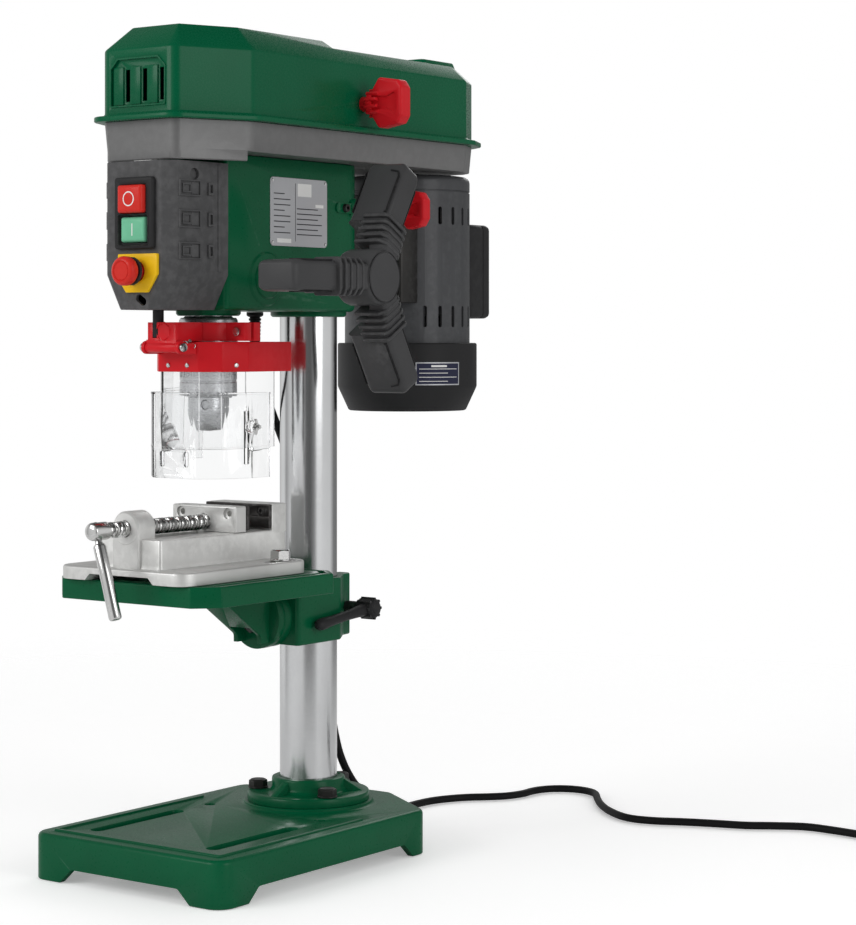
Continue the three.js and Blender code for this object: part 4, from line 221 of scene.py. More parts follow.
def loft(rings, closed=False, caps=True):
    """Skins rings of equal count into one solid; a closed loft joins its last ring to its first."""
    count = len(rings[0])
    points = [tuple(point) for ring in rings for point in ring]
    faces = []
    spans = len(rings) if closed else len(rings) - 1
    for level in range(spans):
        upper = (level + 1) % len(rings)
        for index in range(count):
            ahead = (index + 1) % count
            faces.append((level * count + index, level * count + ahead, upper * count + ahead,
                          upper * count + index))
    if caps and not closed:
        faces.append(tuple(reversed(range(count))))
        faces.append(tuple(range((len(rings) - 1) * count, len(rings) * count)))
    return points, faces


def stack(corners, levels, axis="z", steps=CORNER_STEPS):
    """A solid whose outline is drawn in by a different inset at each (height, inset) level."""
    rings = [[along(axis, (x, y, height)) for x, y in outline(corners, inset, steps)]
             for height, inset in levels]
    return loft(rings)


def prism(corners, low, high, axis="z", inset=0.0, steps=CORNER_STEPS):
    return stack(corners, [(low, inset), (high, inset)], axis, steps)


def eased(low, high, low_round=0.0, high_round=0.0, steps=ROUND_STEPS):
    """Levels for a stack whose bottom and top edges are rounded."""
    quarter = [math.pi / 2 * step / steps for step in range(steps + 1)]
    levels = [(low, 0)]
    if low_round:
        levels = [(low + low_round * (1 - math.cos(a)), low_round * (1 - math.sin(a))) for a in quarter]
    if not high_round:
        return levels + [(high, 0)]
    return levels + [(high - high_round + high_round * math.sin(a), high_round * (1 - math.cos(a)))
                     for a in quarter]


def rectangle(x0, y0, x1, y1, radius=0.0):
    return [(x0, y0, radius), (x1, y0, radius), (x1, y1, radius), (x0, y1, radius)]


def mirrored(corners):
    other = [(-corner[0], *corner[1:]) for corner in reversed(corners)]
    return [*corners, *other]


def block(low, high):
    return prism(rectangle(low[0], low[1], high[0], high[1]), low[2], high[2])


def lathe(profile, sides=SIDES_FINE, closed=False):
    """A turned form about z: the profile is (radius, height) from pole to pole, or a closed section."""
    points, rings = [], []
    for radius, height in profile:
        if radius == 0:
            rings.append([len(points)])
            points.append((0, 0, height))
            continue
        rings.append(list(range(len(points), len(points) + sides)))
        for side in range(sides):
            angle = 2 * math.pi * side / sides
            points.append((radius * math.cos(angle), radius * math.sin(angle), height))
    faces = []
    spans = len(rings) if closed else len(rings) - 1
    for level in range(spans):
        first, second = rings[level], rings[(level + 1) % len(rings)]
        for side in range(sides):
            ahead = (side + 1) % sides
            if len(first) == 1:
                faces.append((first[0], second[ahead], second[side]))
            elif len(second) == 1:
                faces.append((first[side], first[ahead], second[0]))
            else:
                faces.append((first[side], first[ahead], second[ahead], second[side]))
    return points, faces


def laid(form, axis):
    """A form drawn on the z axis, laid on x or y with its +z end on the positive side."""
    points, faces = form
    if axis == "x":
        return [(z, y, -x) for x, y, z in points], faces
    if axis == "y":
        return [(x, z, -y) for x, y, z in points], faces
    return form


def rod(radius, low, high, axis="z", sides=SIDES_MEDIUM, ease=0.0):
    profile = [(0, low), (radius, low), (radius, high), (0, high)]
    if ease:
        profile = [(0, low), (radius - ease, low), (radius - ease * 0.3, low + ease * 0.3),
                   (radius, low + ease), (radius, high - ease), (radius - ease * 0.3, high - ease * 0.3),
                   (radius - ease, high), (0, high)]
    return laid(lathe(profile, sides), axis)


def ring_bar(inner, outer, low, high, sides=SIDES_FINE, ease=0.4):
    return lathe([(inner, low), (outer - ease, low), (outer, low + ease), (outer, high - ease),
                  (outer - ease, high), (inner, high)], sides, True)


def hexagon(flats, low, high, axis="z"):
    radius = flats / math.sqrt(3)
    edge = radius - flats / 2
    return laid(lathe([(0, low), (radius, low), (radius, high - edge * 0.4), (radius - edge * 0.7, high),
                       (0, high)], 6), axis)


def around(count, make, start=0.0):
    return [turned(make(), "z", start + 360 * index / count) for index in range(count)]


def tube(path, radius, sides=SIDES_SMALL):
    """A round bar along a list of points."""
    path = [Vector(point) for point in path]
    rings = []
    side_way = None
    for index, point in enumerate(path):
        ahead = path[min(index + 1, len(path) - 1)]
        behind = path[max(index - 1, 0)]
        forward = (ahead - behind).normalized()
        if side_way is None:
            side_way = forward.orthogonal().normalized()
        side_way = (side_way - forward * side_way.dot(forward)).normalized()
        other = forward.cross(side_way)
        radii = radius if isinstance(radius, (int, float)) else radius[index]
        rings.append([tuple(point + side_way * radii * math.cos(2 * math.pi * side / sides)
                            + other * radii * math.sin(2 * math.pi * side / sides))
                      for side in range(sides)])
    return loft(rings)


def spline_points(route, between):
    """A smooth run of points through a route, with a number of steps between each two of them."""
    path = [Vector(point) for point in route]
    points = []
    for index in range(len(path) - 1):
        p0 = path[max(index - 1, 0)]
        p1, p2 = path[index], path[index + 1]
        p3 = path[min(index + 2, len(path) - 1)]
        for step in range(between):
            t = step / between
            points.append(0.5 * ((2 * p1) + (p2 - p0) * t + (2 * p0 - 5 * p1 + 4 * p2 - p3) * t * t
                                 + (3 * p1 - p0 - 3 * p2 + p3) * t ** 3))
    return points + [path[-1]]


# Meshes and modifiers

def work_object(form):
    """A passing object with a form's mesh, its doubled points merged and its faces turned outward."""
    mesh = bpy.data.meshes.new("work")
    mesh.from_pydata(form[0], [], form[1])
    work = bmesh.new()
    work.from_mesh(mesh)
    bmesh.ops.remove_doubles(work, verts=work.verts, dist=MERGE_DISTANCE)
    bmesh.ops.recalc_face_normals(work, faces=work.faces)
    work.to_mesh(mesh)
    work.free()
    obj = bpy.data.objects.new("work", mesh)
    bpy.context.scene.collection.objects.link(obj)
    return obj


def discard(obj):
    mesh = obj.data
    bpy.data.objects.remove(obj)
    if mesh is not None and mesh.users == 0:
        bpy.data.meshes.remove(mesh)


def taken_form(obj, *tools):
    """The form that an object's modifiers make of it; the object and its tools are then removed."""
    graph = bpy.context.evaluated_depsgraph_get()
    mesh = bpy.data.meshes.new_from_object(obj.evaluated_get(graph))
    form = [tuple(vertex.co) for vertex in mesh.vertices], [tuple(face.vertices) for face in mesh.polygons]
    bpy.data.meshes.remove(mesh)
    for spent in (obj, *tools):
        discard(spent)
    return form


def combine(base, operation, form):
    """Adds a Boolean step to the base object, and gives the tool that it uses."""
    tool = work_object(form)
    step = base.modifiers.new(operation, "BOOLEAN")
    step.operation, step.solver, step.object = operation, "MANIFOLD", tool
    return tool


def shaped(solids, cuts=()):
    """Joins the first forms into one solid and cuts the others from it."""
    base = work_object(solids[0])
    tools = [combine(base, "UNION", form) for form in solids[1:]]
    tools += [combine(base, "DIFFERENCE", form) for form in cuts]
    form = taken_form(base, *tools)
    if not form[1]:
        raise RuntimeError("a join or cut left nothing")
    return form


def common(first, second):
    """The room that two forms share."""
    base = work_object(first)
    return taken_form(base, combine(base, "INTERSECT", second))


def softened(form, edge, segments=2):
    """Rounds a form's sharp edges by a small width."""
    obj = work_object(form)
    work = bmesh.new()
    work.from_mesh(obj.data)
    bmesh.ops.dissolve_limit(work, angle_limit=math.radians(FLAT_ANGLE), verts=work.verts, edges=work.edges)
    work.to_mesh(obj.data)
    work.free()
    if edge:
        step = obj.modifiers.new("soft edges", "BEVEL")
        step.width, step.segments, step.limit_method = edge, segments, "ANGLE"
        step.angle_limit = math.radians(SMOOTH_ANGLE)
        step.use_clamp_overlap, step.harden_normals = True, False
        step.miter_outer = "MITER_ARC"
    return taken_form(obj)


def in_frame(points):
    """Drawn points in millimetres as places in the frame in metres."""
    return [tuple(Vector(point) * MM + COLUMN_AXIS) for point in points]


def add_piece(name, parts, body, replaces=()):
    """Makes one piece from (form, material) parts, in place in the frame, riding on a body."""
    mesh = bpy.data.meshes.new(name)
    finishes = list(dict.fromkeys(finish for form, finish in parts))
    points, faces = joined(*[form for form, finish in parts])
    material_of = [finishes.index(finish) for form, finish in parts for _ in form[1]]
    mesh.from_pydata(in_frame(points), [], faces)
    for finish in finishes:
        mesh.materials.append(material(finish))
    mesh.polygons.foreach_set("material_index", material_of)
    mesh.validate()
    work = bmesh.new()
    work.from_mesh(mesh)
    bmesh.ops.recalc_face_normals(work, faces=work.faces)
    work.to_mesh(mesh)
    work.free()
    mesh.polygons.foreach_set("use_smooth", [True] * len(mesh.polygons))
    mesh.set_sharp_from_angle(angle=math.radians(SMOOTH_ANGLE))
    obj = bpy.data.objects.new(name, mesh)
    bpy.context.scene.collection.objects.link(obj)
    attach(obj, body)
    if replaces:
        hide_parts(*replaces)
    return obj


# Shader node groups that several finishes share

def put(tree, socket, value):
    """Links a socket to another one, or gives it a plain value."""
    if isinstance(value, bpy.types.NodeSocket):
        tree.links.new(value, socket)
    else:
        socket.default_value = value


def add_node(tree, kind, inputs=(), **settings):
    """A new node with its settings made and its inputs, by name or number, linked or set."""
    node = tree.nodes.new(kind)
    for label, value in settings.items():
        setattr(node, label, value)
    for label, value in dict(inputs).items():
        put(tree, node.inputs[label], value)
    return node


def new_group(name, kind, inputs, outputs):
    """A node group with its sockets, and the two nodes that stand for them inside it."""
    tree = bpy.data.node_groups.new(name, kind)
    for label, holds, *default in inputs:
        socket = tree.interface.new_socket(label, in_out="INPUT", socket_type="NodeSocket" + holds)
        if default:
            socket.default_value = default[0]
    for label, holds in outputs:
        tree.interface.new_socket(label, in_out="OUTPUT", socket_type="NodeSocket" + holds)
    return tree, tree.nodes.new("NodeGroupInput"), tree.nodes.new("NodeGroupOutput")


def noise(tree, vector, scale, detail=3.0, roughness=0.55):
    return add_node(tree, "ShaderNodeTexNoise", {
        "Vector": vector, "Scale": scale, "Detail": detail, "Roughness": roughness}).outputs["Fac"]


def arithmetic(tree, operation, first, second=0.0, clamp=False):
    return add_node(tree, "ShaderNodeMath", {0: first, 1: second}, operation=operation,
                    use_clamp=clamp).outputs[0]


def ramp(tree, value, low, high, out_low=0.0, out_high=1.0):
    return add_node(tree, "ShaderNodeMapRange", {
        "Value": value, "From Min": low, "From Max": high, "To Min": out_low,
        "To Max": out_high}).outputs["Result"]


def grain_group():
    """Fine grain and slow tone of a surface, drawn out along any axis."""
    found = bpy.data.node_groups.get("Surface grain")
    if found:
        return found
    tree, given, out = new_group(
        "Surface grain", "ShaderNodeTree",
        [("Vector", "Vector"), ("Stretch", "Vector", (1, 1, 1)), ("Grain Scale", "Float", 900.0),
         ("Tone Scale", "Float", 14.0)], [("Grain", "Float"), ("Tone", "Float")])
    vector = given.outputs["Vector"]
    scaled = add_node(tree, "ShaderNodeVectorMath", {0: vector, 1: given.outputs["Stretch"]},
                      operation="MULTIPLY").outputs[0]
    slow = noise(tree, vector, given.outputs["Tone Scale"], 3.0, 0.5)
    put(tree, out.inputs["Grain"], noise(tree, scaled, given.outputs["Grain Scale"], 4.0, 0.6))
    put(tree, out.inputs["Tone"], ramp(tree, slow, 0.3, 0.7))
    return tree


def mask_group(name, amount, make_masks):
    """A node group that puts out two masks multiplied, times an amount."""
    found = bpy.data.node_groups.get(name)
    if found:
        return found
    tree, given, out = new_group(
        name, "ShaderNodeTree", [("Vector", "Vector"), ("Amount", "Float", amount)], [("Mask", "Float")])
    geometry = tree.nodes.new("ShaderNodeNewGeometry")
    both = arithmetic(tree, "MULTIPLY", *make_masks(tree, geometry, given.outputs["Vector"]))
    put(tree, out.inputs["Mask"], arithmetic(tree, "MULTIPLY", both, given.outputs["Amount"], True))
    return tree


def wear_and_highlight_group():
    """Where raised edges are worn and carry a painted highlight, broken up by noise."""
    def masks(tree, geometry, vector):
        return (ramp(tree, geometry.outputs["Pointiness"], 0.53, 0.62),
                ramp(tree, noise(tree, vector, 160.0), 0.42, 0.62))
    return mask_group("Edge wear", 0.3, masks)


def dust_group():
    """A faint settled dust on faces that look upwards."""
    def masks(tree, geometry, vector):
        parts = add_node(tree, "ShaderNodeSeparateXYZ", {0: geometry.outputs["Normal"]})
        return (ramp(tree, parts.outputs["Z"], 0.6, 1.0),
                ramp(tree, noise(tree, vector, 22.0, 5.0), 0.35, 0.75))
    return mask_group("Settled dust", 0.1, masks)


def place_group(tree, group, **values):
    node = tree.nodes.new("ShaderNodeGroup")
    node.node_tree = group
    for label, value in values.items():
        put(tree, node.inputs[label.replace("_", " ")], value)
    return node


def mix_colour(tree, share, first, second):
    """Two colours mixed by a share; a colour that isn't a socket is three linear values."""
    pair = [value if isinstance(value, bpy.types.NodeSocket) else (*value, 1) for value in (first, second)]
    return add_node(tree, "ShaderNodeMix", {"Factor": share, 6: pair[0], 7: pair[1]},
                    data_type="RGBA").outputs[2]


def shade(colour, factor):
    return tuple(min(1.0, channel * factor) for channel in colour)


PAINT_GLOSS = 0.11
DUST_COLOUR = (0.45, 0.44, 0.42)
GRAIN_STRENGTH = 0.6
COAT_ROUGHNESS = 0.12
EVEN = (1, 1, 1)
# name: colour, roughness, metallic, grain per metre, bump in millimetres, tone, worn edges with painted
# highlight, dust, stretch, coat
FINISHES = {
    "casting paint": ("castings", 0.30, 0.0, 520, 0.05, 0.10, 0.35, 0.0, EVEN, 0.06),
    "lid moulding": ("lid", 0.26, 0.0, 900, 0.015, 0.06, 0.15, 0.0, EVEN, 0.05),
    "pan paint": ("pan", 0.34, 0.2, 1500, 0.006, 0.03, 0.1, 0.0, EVEN, 0.1),
    "housing moulding": ("housing", 0.52, 0.0, 1900, 0.03, 0.08, 0.2, 0.02, EVEN, 0.0),
    "motor paint": ("motor", 0.40, 0.15, 1200, 0.012, 0.04, 0.2, 0.0, EVEN, 0.1),
    "black moulding": ("black", 0.46, 0.0, 1800, 0.025, 0.12, 0.3, 0.03, EVEN, 0.0),
    "handle moulding": ("handle", 0.33, 0.0, 2200, 0.03, 0.12, 0.35, 0.02, EVEN, 0.0),
    "grip moulding": (srgb(30, 30, 31), 0.5, 0.0, 2600, 0.04, 0.1, 0.1, 0.0, EVEN, 0.0),
    "plate print": (srgb(44, 46, 66), 0.4, 0.1, 1500, 0.004, 0.05, 0.0, 0.0, EVEN, 0.0),
    "guard moulding": ("guard", 0.36, 0.0, 1200, 0.012, 0.08, 0.15, 0.0, EVEN, 0.1),
    "stop moulding": ("stop", 0.38, 0.0, 1500, 0.01, 0.06, 0.1, 0.0, EVEN, 0.1),
    "start moulding": ("start", 0.4, 0.0, 1500, 0.01, 0.06, 0.1, 0.0, EVEN, 0.1),
    "yellow plate": ("plate_yellow", 0.38, 0.0, 1200, 0.008, 0.05, 0.2, 0.0, EVEN, 0.1),
    "column steel": (srgb(206, 207, 208), 0.15, 1.0, 260, 0.004, 0.06, 0.0, 0.0, (1, 1, 22), 0.0),
    "turned steel": (srgb(176, 177, 179), 0.28, 1.0, 900, 0.008, 0.10, 0.2, 0.0, (0.3, 0.3, 4), 0.0),
    "dark steel": (srgb(58, 57, 56), 0.42, 0.75, 1400, 0.02, 0.25, 0.6, 0.02, EVEN, 0.0),
    "bright plating": (srgb(206, 206, 205), 0.17, 1.0, 1200, 0.004, 0.06, 0.1, 0.0, EVEN, 0.0),
    "cast alloy": (srgb(208, 208, 206), 0.44, 0.6, 700, 0.09, 0.14, 0.4, 0.03, EVEN, 0.0),
    "milled alloy": (srgb(216, 216, 214), 0.32, 0.75, 420, 0.012, 0.08, 0.3, 0.0, (1, 9, 1), 0.0),
    "jaw steel": (srgb(62, 60, 59), 0.36, 0.8, 900, 0.015, 0.2, 0.7, 0.0, (8, 1, 1), 0.0),
    "label silver": (srgb(178, 179, 182), 0.40, 0.55, 1500, 0.004, 0.05, 0.0, 0.0, EVEN, 0.0),
    "label print": (srgb(62, 62, 64), 0.45, 0.0, 1500, 0.002, 0.08, 0.0, 0.0, EVEN, 0.0),
    "white print": (srgb(232, 232, 230), 0.45, 0.0, 1500, 0.002, 0.03, 0.0, 0.0, EVEN, 0.0),
    "belt rubber": (srgb(26, 26, 26), 0.72, 0.0, 1600, 0.04, 0.25, 0.4, 0.05, EVEN, 0.0),
    "cord rubber": (srgb(20, 20, 21), 0.48, 0.0, 1700, 0.015, 0.15, 0.1, 0.05, EVEN, 0.0),
}


def mix_shaders(tree, share, first, second):
    return add_node(tree, "ShaderNodeMixShader", {0: share, 1: first, 2: second}).outputs[0]


def new_material(name):
    """A new material with its node tree, its shader and the place on the object."""
    made = bpy.data.materials.new(name)
    made.use_nodes = True
    tree = made.node_tree
    place = tree.nodes.new("ShaderNodeTexCoord").outputs["Object"]
    return made, tree, tree.nodes["Principled BSDF"].inputs, place


def material(name):
    """The finish of the given name, made when it is first asked for."""
    found = bpy.data.materials.get(name)
    if found:
        return found
    if name == "clear plastic":
        return clear_plastic()
    colour, roughness, metallic, grain, bump, tone, wear_and_highlight, dust, stretch, coat = FINISHES[name]
    if isinstance(colour, str):
        colour = tuple(getattr(colours(), colour))
    made, tree, shader, place = new_material(name)
    made.diffuse_color = (*colour, 1)
    surface = place_group(tree, grain_group(), Vector=place, Stretch=stretch, Grain_Scale=grain)
    toned = mix_colour(tree, surface.outputs["Tone"], shade(colour, 1 - tone), shade(colour, 1 + tone))
    # Raised edges turn paler: partly worn paint, partly a painted highlight.
    if wear_and_highlight:
        rubbed_and_highlit = place_group(tree, wear_and_highlight_group(), Vector=place, Amount=wear_and_highlight)
        pale = shade(tuple(0.75 * channel + 0.06 for channel in colour), 1.5)
        toned = mix_colour(tree, rubbed_and_highlit.outputs["Mask"], toned, pale)
    if dust:
        settled = place_group(tree, dust_group(), Vector=place, Amount=dust)
        toned = mix_colour(tree, settled.outputs["Mask"], toned, DUST_COLOUR)
    grain_lift = surface.outputs["Grain"]
    lift = add_node(tree, "ShaderNodeBump", {"Strength": GRAIN_STRENGTH, "Distance": bump * MM,
                                             "Height": grain_lift})
    for label, value in (
            ("Base Color", toned),
            ("Roughness", ramp(tree, grain_lift, 0.25, 0.75, roughness - 0.06, roughness + 0.08)),
            ("Metallic", metallic), ("Specular IOR Level", PAINT_GLOSS), ("Coat Weight", coat),
            ("Coat Roughness", COAT_ROUGHNESS), ("Normal", lift.outputs["Normal"])):
        put(tree, shader[label], value)
    return made


def clear_plastic():
    """Clear moulded plastic with faint rubbing, which lets the lamps' light through to the chuck."""
    made, tree, shader, place = new_material("clear plastic")
    made.diffuse_color = (0.9, 0.93, 0.93, 0.3)
    surface = place_group(tree, grain_group(), Vector=place, Stretch=(1, 1, 0.2), Grain_Scale=700.0)
    for label, value in (
            ("Base Color", (0.952, 0.956, 0.958, 1)), ("Transmission Weight", 1.0), ("IOR", 1.42),
            ("Roughness", ramp(tree, surface.outputs["Grain"], 0.5, 0.8, 0.02, 0.12))):
        put(tree, shader[label], value)
    light_path = tree.nodes.new("ShaderNodeLightPath")
    through = tree.nodes.new("ShaderNodeBsdfTransparent")
    seen = mix_shaders(tree, light_path.outputs["Is Shadow Ray"],
                       tree.nodes["Principled BSDF"].outputs["BSDF"], through.outputs["BSDF"])
    put(tree, tree.nodes["Material Output"].inputs["Surface"], seen)
    return made


# Geometry Nodes trees for what repeats

def geometry_tree(name, inputs):
    """A tree that takes a form and a finish; the tree alone where it was made before."""
    found = bpy.data.node_groups.get(name)
    if found:
        return found, None, None
    tree, given, out = new_group(name, "GeometryNodeTree",
                                 [("Geometry", "Geometry"), *inputs, ("Material", "Material")],
                                 [("Geometry", "Geometry")])
    tree.is_modifier = True
    return tree, given, out


def finish_tree(tree, given, out, instances):
    realize = add_node(tree, "GeometryNodeRealizeInstances", {0: instances})
    paint = add_node(tree, "GeometryNodeSetMaterial", {
        "Geometry": realize.outputs[0], "Material": given.outputs["Material"]})
    put(tree, out.inputs["Geometry"], paint.outputs["Geometry"])
    return tree


def ring_tree():
    """Copies of the given form turned round the z axis."""
    tree, given, out = geometry_tree("Ring of copies",
                                     [("Count", "Int", 12), ("Start Angle", "Float", 0.0)])
    if given is None:
        return tree
    count = given.outputs["Count"]
    line = add_node(tree, "GeometryNodeMeshLine", {"Offset": (0, 0, 0), "Count": count})
    index = tree.nodes.new("GeometryNodeInputIndex").outputs[0]
    step = arithmetic(tree, "DIVIDE", 2 * math.pi, count)
    angle = arithmetic(tree, "ADD", arithmetic(tree, "MULTIPLY", index, step), given.outputs["Start Angle"])
    facing = add_node(tree, "ShaderNodeCombineXYZ", {"Z": angle})
    copies = add_node(tree, "GeometryNodeInstanceOnPoints", {
        "Points": line.outputs["Mesh"], "Instance": given.outputs["Geometry"],
        "Rotation": facing.outputs["Vector"]})
    return finish_tree(tree, given, out, copies.outputs["Instances"])


def row_tree():
    """Copies of the given form in a straight row."""
    tree, given, out = geometry_tree("Row of copies", [("Count", "Int", 3), ("Pitch", "Vector", (0, 0, 7))])
    if given is None:
        return tree
    line = add_node(tree, "GeometryNodeMeshLine", {
        "Count": given.outputs["Count"], "Offset": given.outputs["Pitch"]})
    copies = add_node(tree, "GeometryNodeInstanceOnPoints", {
        "Points": line.outputs["Mesh"], "Instance": given.outputs["Geometry"]})
    return finish_tree(tree, given, out, copies.outputs["Instances"])


def thread_tree():
    """A ridged thread wound on a bar that lies on the z axis."""
    tree, given, out = geometry_tree("Screw thread", [
        ("Core Radius", "Float", 5.0), ("Ridge", "Float", 1.0), ("Pitch", "Float", 3.5),
        ("Length", "Float", 80.0)])
    if given is None:
        return tree
    core, length = given.outputs["Core Radius"], given.outputs["Length"]
    spiral = add_node(tree, "GeometryNodeCurveSpiral", {
        "Resolution": 28, "Rotations": arithmetic(tree, "DIVIDE", length, given.outputs["Pitch"]),
        "Start Radius": core, "End Radius": core, "Height": length})
    section = add_node(tree, "GeometryNodeCurvePrimitiveCircle", {
        "Resolution": 6, "Radius": given.outputs["Ridge"]})
    sweep = add_node(tree, "GeometryNodeCurveToMesh", {
        "Curve": spiral.outputs["Curve"], "Profile Curve": section.outputs["Curve"], "Fill Caps": True})
    return finish_tree(tree, given, out, sweep.outputs["Mesh"])


def grown(tree, form, finish, **values):
    """Runs a Geometry Nodes tree on a form and gives the plain form that it makes."""
    obj = work_object(form)
    step = obj.modifiers.new("grow", "NODES")
    step.node_group = tree
    for item in tree.interface.items_tree:
        if item.item_type != "SOCKET" or item.in_out != "INPUT" or item.name == "Geometry":
            continue
        label = item.name.replace(" ", "_").lower()
        if item.name == "Material":
            step[item.identifier] = material(finish)
        elif label in values:
            step[item.identifier] = values[label]
    obj.data.update()
    return taken_form(obj)


def ring_of(form, count, finish, start=0.0):
    return grown(ring_tree(), form, finish, count=count, start_angle=math.radians(start))


def row_of(form, count, pitch, finish):
    return grown(row_tree(), form, finish, count=count, pitch=pitch)


def thread(core, ridge, pitch, length, finish):
    return grown(thread_tree(), block((0, 0, 0), (1, 1, 1)), finish, core_radius=float(core),
                 ridge=float(ridge), pitch=float(pitch), length=float(length))


# Base, flange and column

def flange_bolt_places():
    return [(BOLT_CIRCLE * math.cos(math.radians(angle)), BOLT_CIRCLE * math.sin(math.radians(angle)))
            for angle in (-150, -30, 90)]


def base_form():
    half, front, shoulder, rear, rear_half = 95, -217, 29, 73, 29
    height, corner = in_mm(sizes().base_height), in_mm(sizes().base_corner)
    wall, deck, edge = 6, 8, 3.5
    foot_height, foot_length, foot_slant, foot_round = 11, 30, 12, 4
    bead_inset, bead_width, bead_height, bead_rear = 12, 3, 1.5, -36
    slot_x, slot_front, slot_rear, slot_width = 58, -188, -88, 12
    hole_x, hole_y, hole_radius = 56, -56, 4.5
    seat_radius, seat_rise, seat_fillet = 52, 3, 3
    corners = mirrored([(half, front, corner), (half, shoulder, corner), (rear_half, rear, corner)])
    skin = stack(corners, eased(0, height, 0.8, edge))
    hollow = prism(corners, -OVERRUN, height - deck, inset=wall)

    def arch(low, high, start, end, axis):
        return prism([(low, -OVERRUN), (high, -OVERRUN), (high, 0),
                      (high - foot_slant, foot_height, foot_round),
                      (low + foot_slant, foot_height, foot_round), (low, 0)], start, end, axis)

    def slot(x):
        return prism(rectangle(x - slot_width / 2, slot_front, x + slot_width / 2, slot_rear,
                               slot_width / 2.1), 0, height + OVERRUN)

    arches = [arch(-half + foot_length, half - foot_length, front - OVERRUN, rear + OVERRUN, "y"),
              arch(front + foot_length, shoulder - foot_length / 2, -half - OVERRUN, half + OVERRUN, "x")]
    holes = [moved(rod(hole_radius, 0, height + OVERRUN), x, hole_y, 0) for x in (-hole_x, hole_x)]
    plate = shaped([skin], [hollow, *arches, slot(-slot_x), slot(slot_x), *holes])
    bead_levels = [(level, bead_inset + inset) for level,
                   inset in eased(height - OVERRUN, height + bead_height, 0, 1.2)]
    bead = shaped([stack(corners, bead_levels)], [
        prism(corners, height - 2 * OVERRUN, height + OVERRUN, inset=bead_inset + bead_width),
        block((-half, bead_rear, 0), (half, rear + OVERRUN, 2 * height))])
    seat = lathe([(0, height - deck), (seat_radius + seat_fillet, height - deck),
                  (seat_radius + seat_fillet, height - 0.2), (seat_radius + 1, height + 0.5),
                  (seat_radius, height + 1.4), (seat_radius, height + seat_rise - 0.7),
                  (seat_radius - 0.7, height + seat_rise), (0, height + seat_rise)], SIDES_LARGE)
    bolt_holes = [moved(rod(4 + GAP, 0, height + 3 * seat_rise), x, y, 0) for x, y in flange_bolt_places()]
    return softened(shaped([plate, bead, seat], bolt_holes), 0.6)


def flange_form():
    base = COLUMN_FOOT_Z
    bore, outer, thick, collar, tall = COLUMN_BORE, 49, 7, 29.4, 18
    reach, rib_width, fillet = 44, 6, 4
    collar_side = [(collar + fillet * (1 - math.sin(a)), thick + fillet * (1 - math.cos(a)))
                   for a in (0, math.pi / 6, math.pi / 3, math.pi / 2)]
    body = lathe([(bore, 0), (outer, 0), (outer, thick - 2), (outer - 0.6, thick - 0.6), (outer - 2, thick),
                  *collar_side, (collar, tall - 1.5), (collar - 0.5, tall - 0.4), (collar - 1.5, tall),
                  (bore, tall)], SIDES_LARGE, True)
    rib = prism([(25, 1), (reach, 1), (reach, thick, 1), (collar, tall - 2, 1), (25, tall - 2)],
                -rib_width / 2, rib_width / 2, "y", steps=3)
    ribs = [turned(rib, "z", angle) for angle in (30, 150, 270)]
    holes = [moved(rod(4 + GAP, -OVERRUN, tall), x, y, 0) for x, y in flange_bolt_places()]
    return moved(softened(shaped([body, *ribs], holes), 0.7), 0, 0, base)


def hex_bolt(flats, head, shank_radius, shank_length, washer_radius=8, washer_thick=1.5):
    """A bolt head on its washer, seated at zero, with a turned chamfer on the head."""
    radius = flats / math.sqrt(3)
    cone = lathe([(0, washer_thick - GAP), (radius + 1, washer_thick - GAP),
                  (radius + 1, washer_thick + head - 1.8), (flats / 2 - 0.8, washer_thick + head),
                  (0, washer_thick + head)], SIDES_MEDIUM)
    hexed = common(laid(lathe([(0, 0), (radius, 0), (radius, head * 3), (0, head * 3)], 6), "z"), cone)
    washer = lathe([(0, 0), (washer_radius - 0.3, 0), (washer_radius, 0.3),
                    (washer_radius, washer_thick - 0.3), (washer_radius - 0.3, washer_thick),
                    (0, washer_thick)], SIDES_MEDIUM)
    shank = rod(shank_radius, -shank_length, washer_thick, sides=SIDES_SMALL)
    return shaped([washer, hexed, shank])


def column_form():
    low, high, edge = COLUMN_FOOT_Z, 529, 1
    radius = in_mm(sizes().column_radius)
    wall = 3
    return lathe([(radius - wall, low), (radius - edge, low), (radius, low + edge), (radius, high - edge),
                  (radius - edge, high), (radius - wall, high)], SIDES_LARGE, True)


def build_stand():
    add_piece("base_casting", [(base_form(), "casting paint")], "machine", ["base_plate"])
    add_piece("flange_casting", [(flange_form(), "casting paint")], "machine",
              ["column_flange"])
    add_piece("column_tube", [(column_form(), "column steel")], "machine", ["column"])
    seat = COLUMN_FOOT_Z + 7 + GAP
    bolt = moved(turned(hex_bolt(13, 5.5, 4, 14), "z", 12), 41, 0, seat)
    turns = ring_of(turned(bolt, "z", 90), 3, "dark steel")
    add_piece("flange_bolts", [(turns, "dark steel")], "machine",
              ["flange_bolt_1", "flange_bolt_2", "flange_bolt_3"])


# Table bracket, table and vise

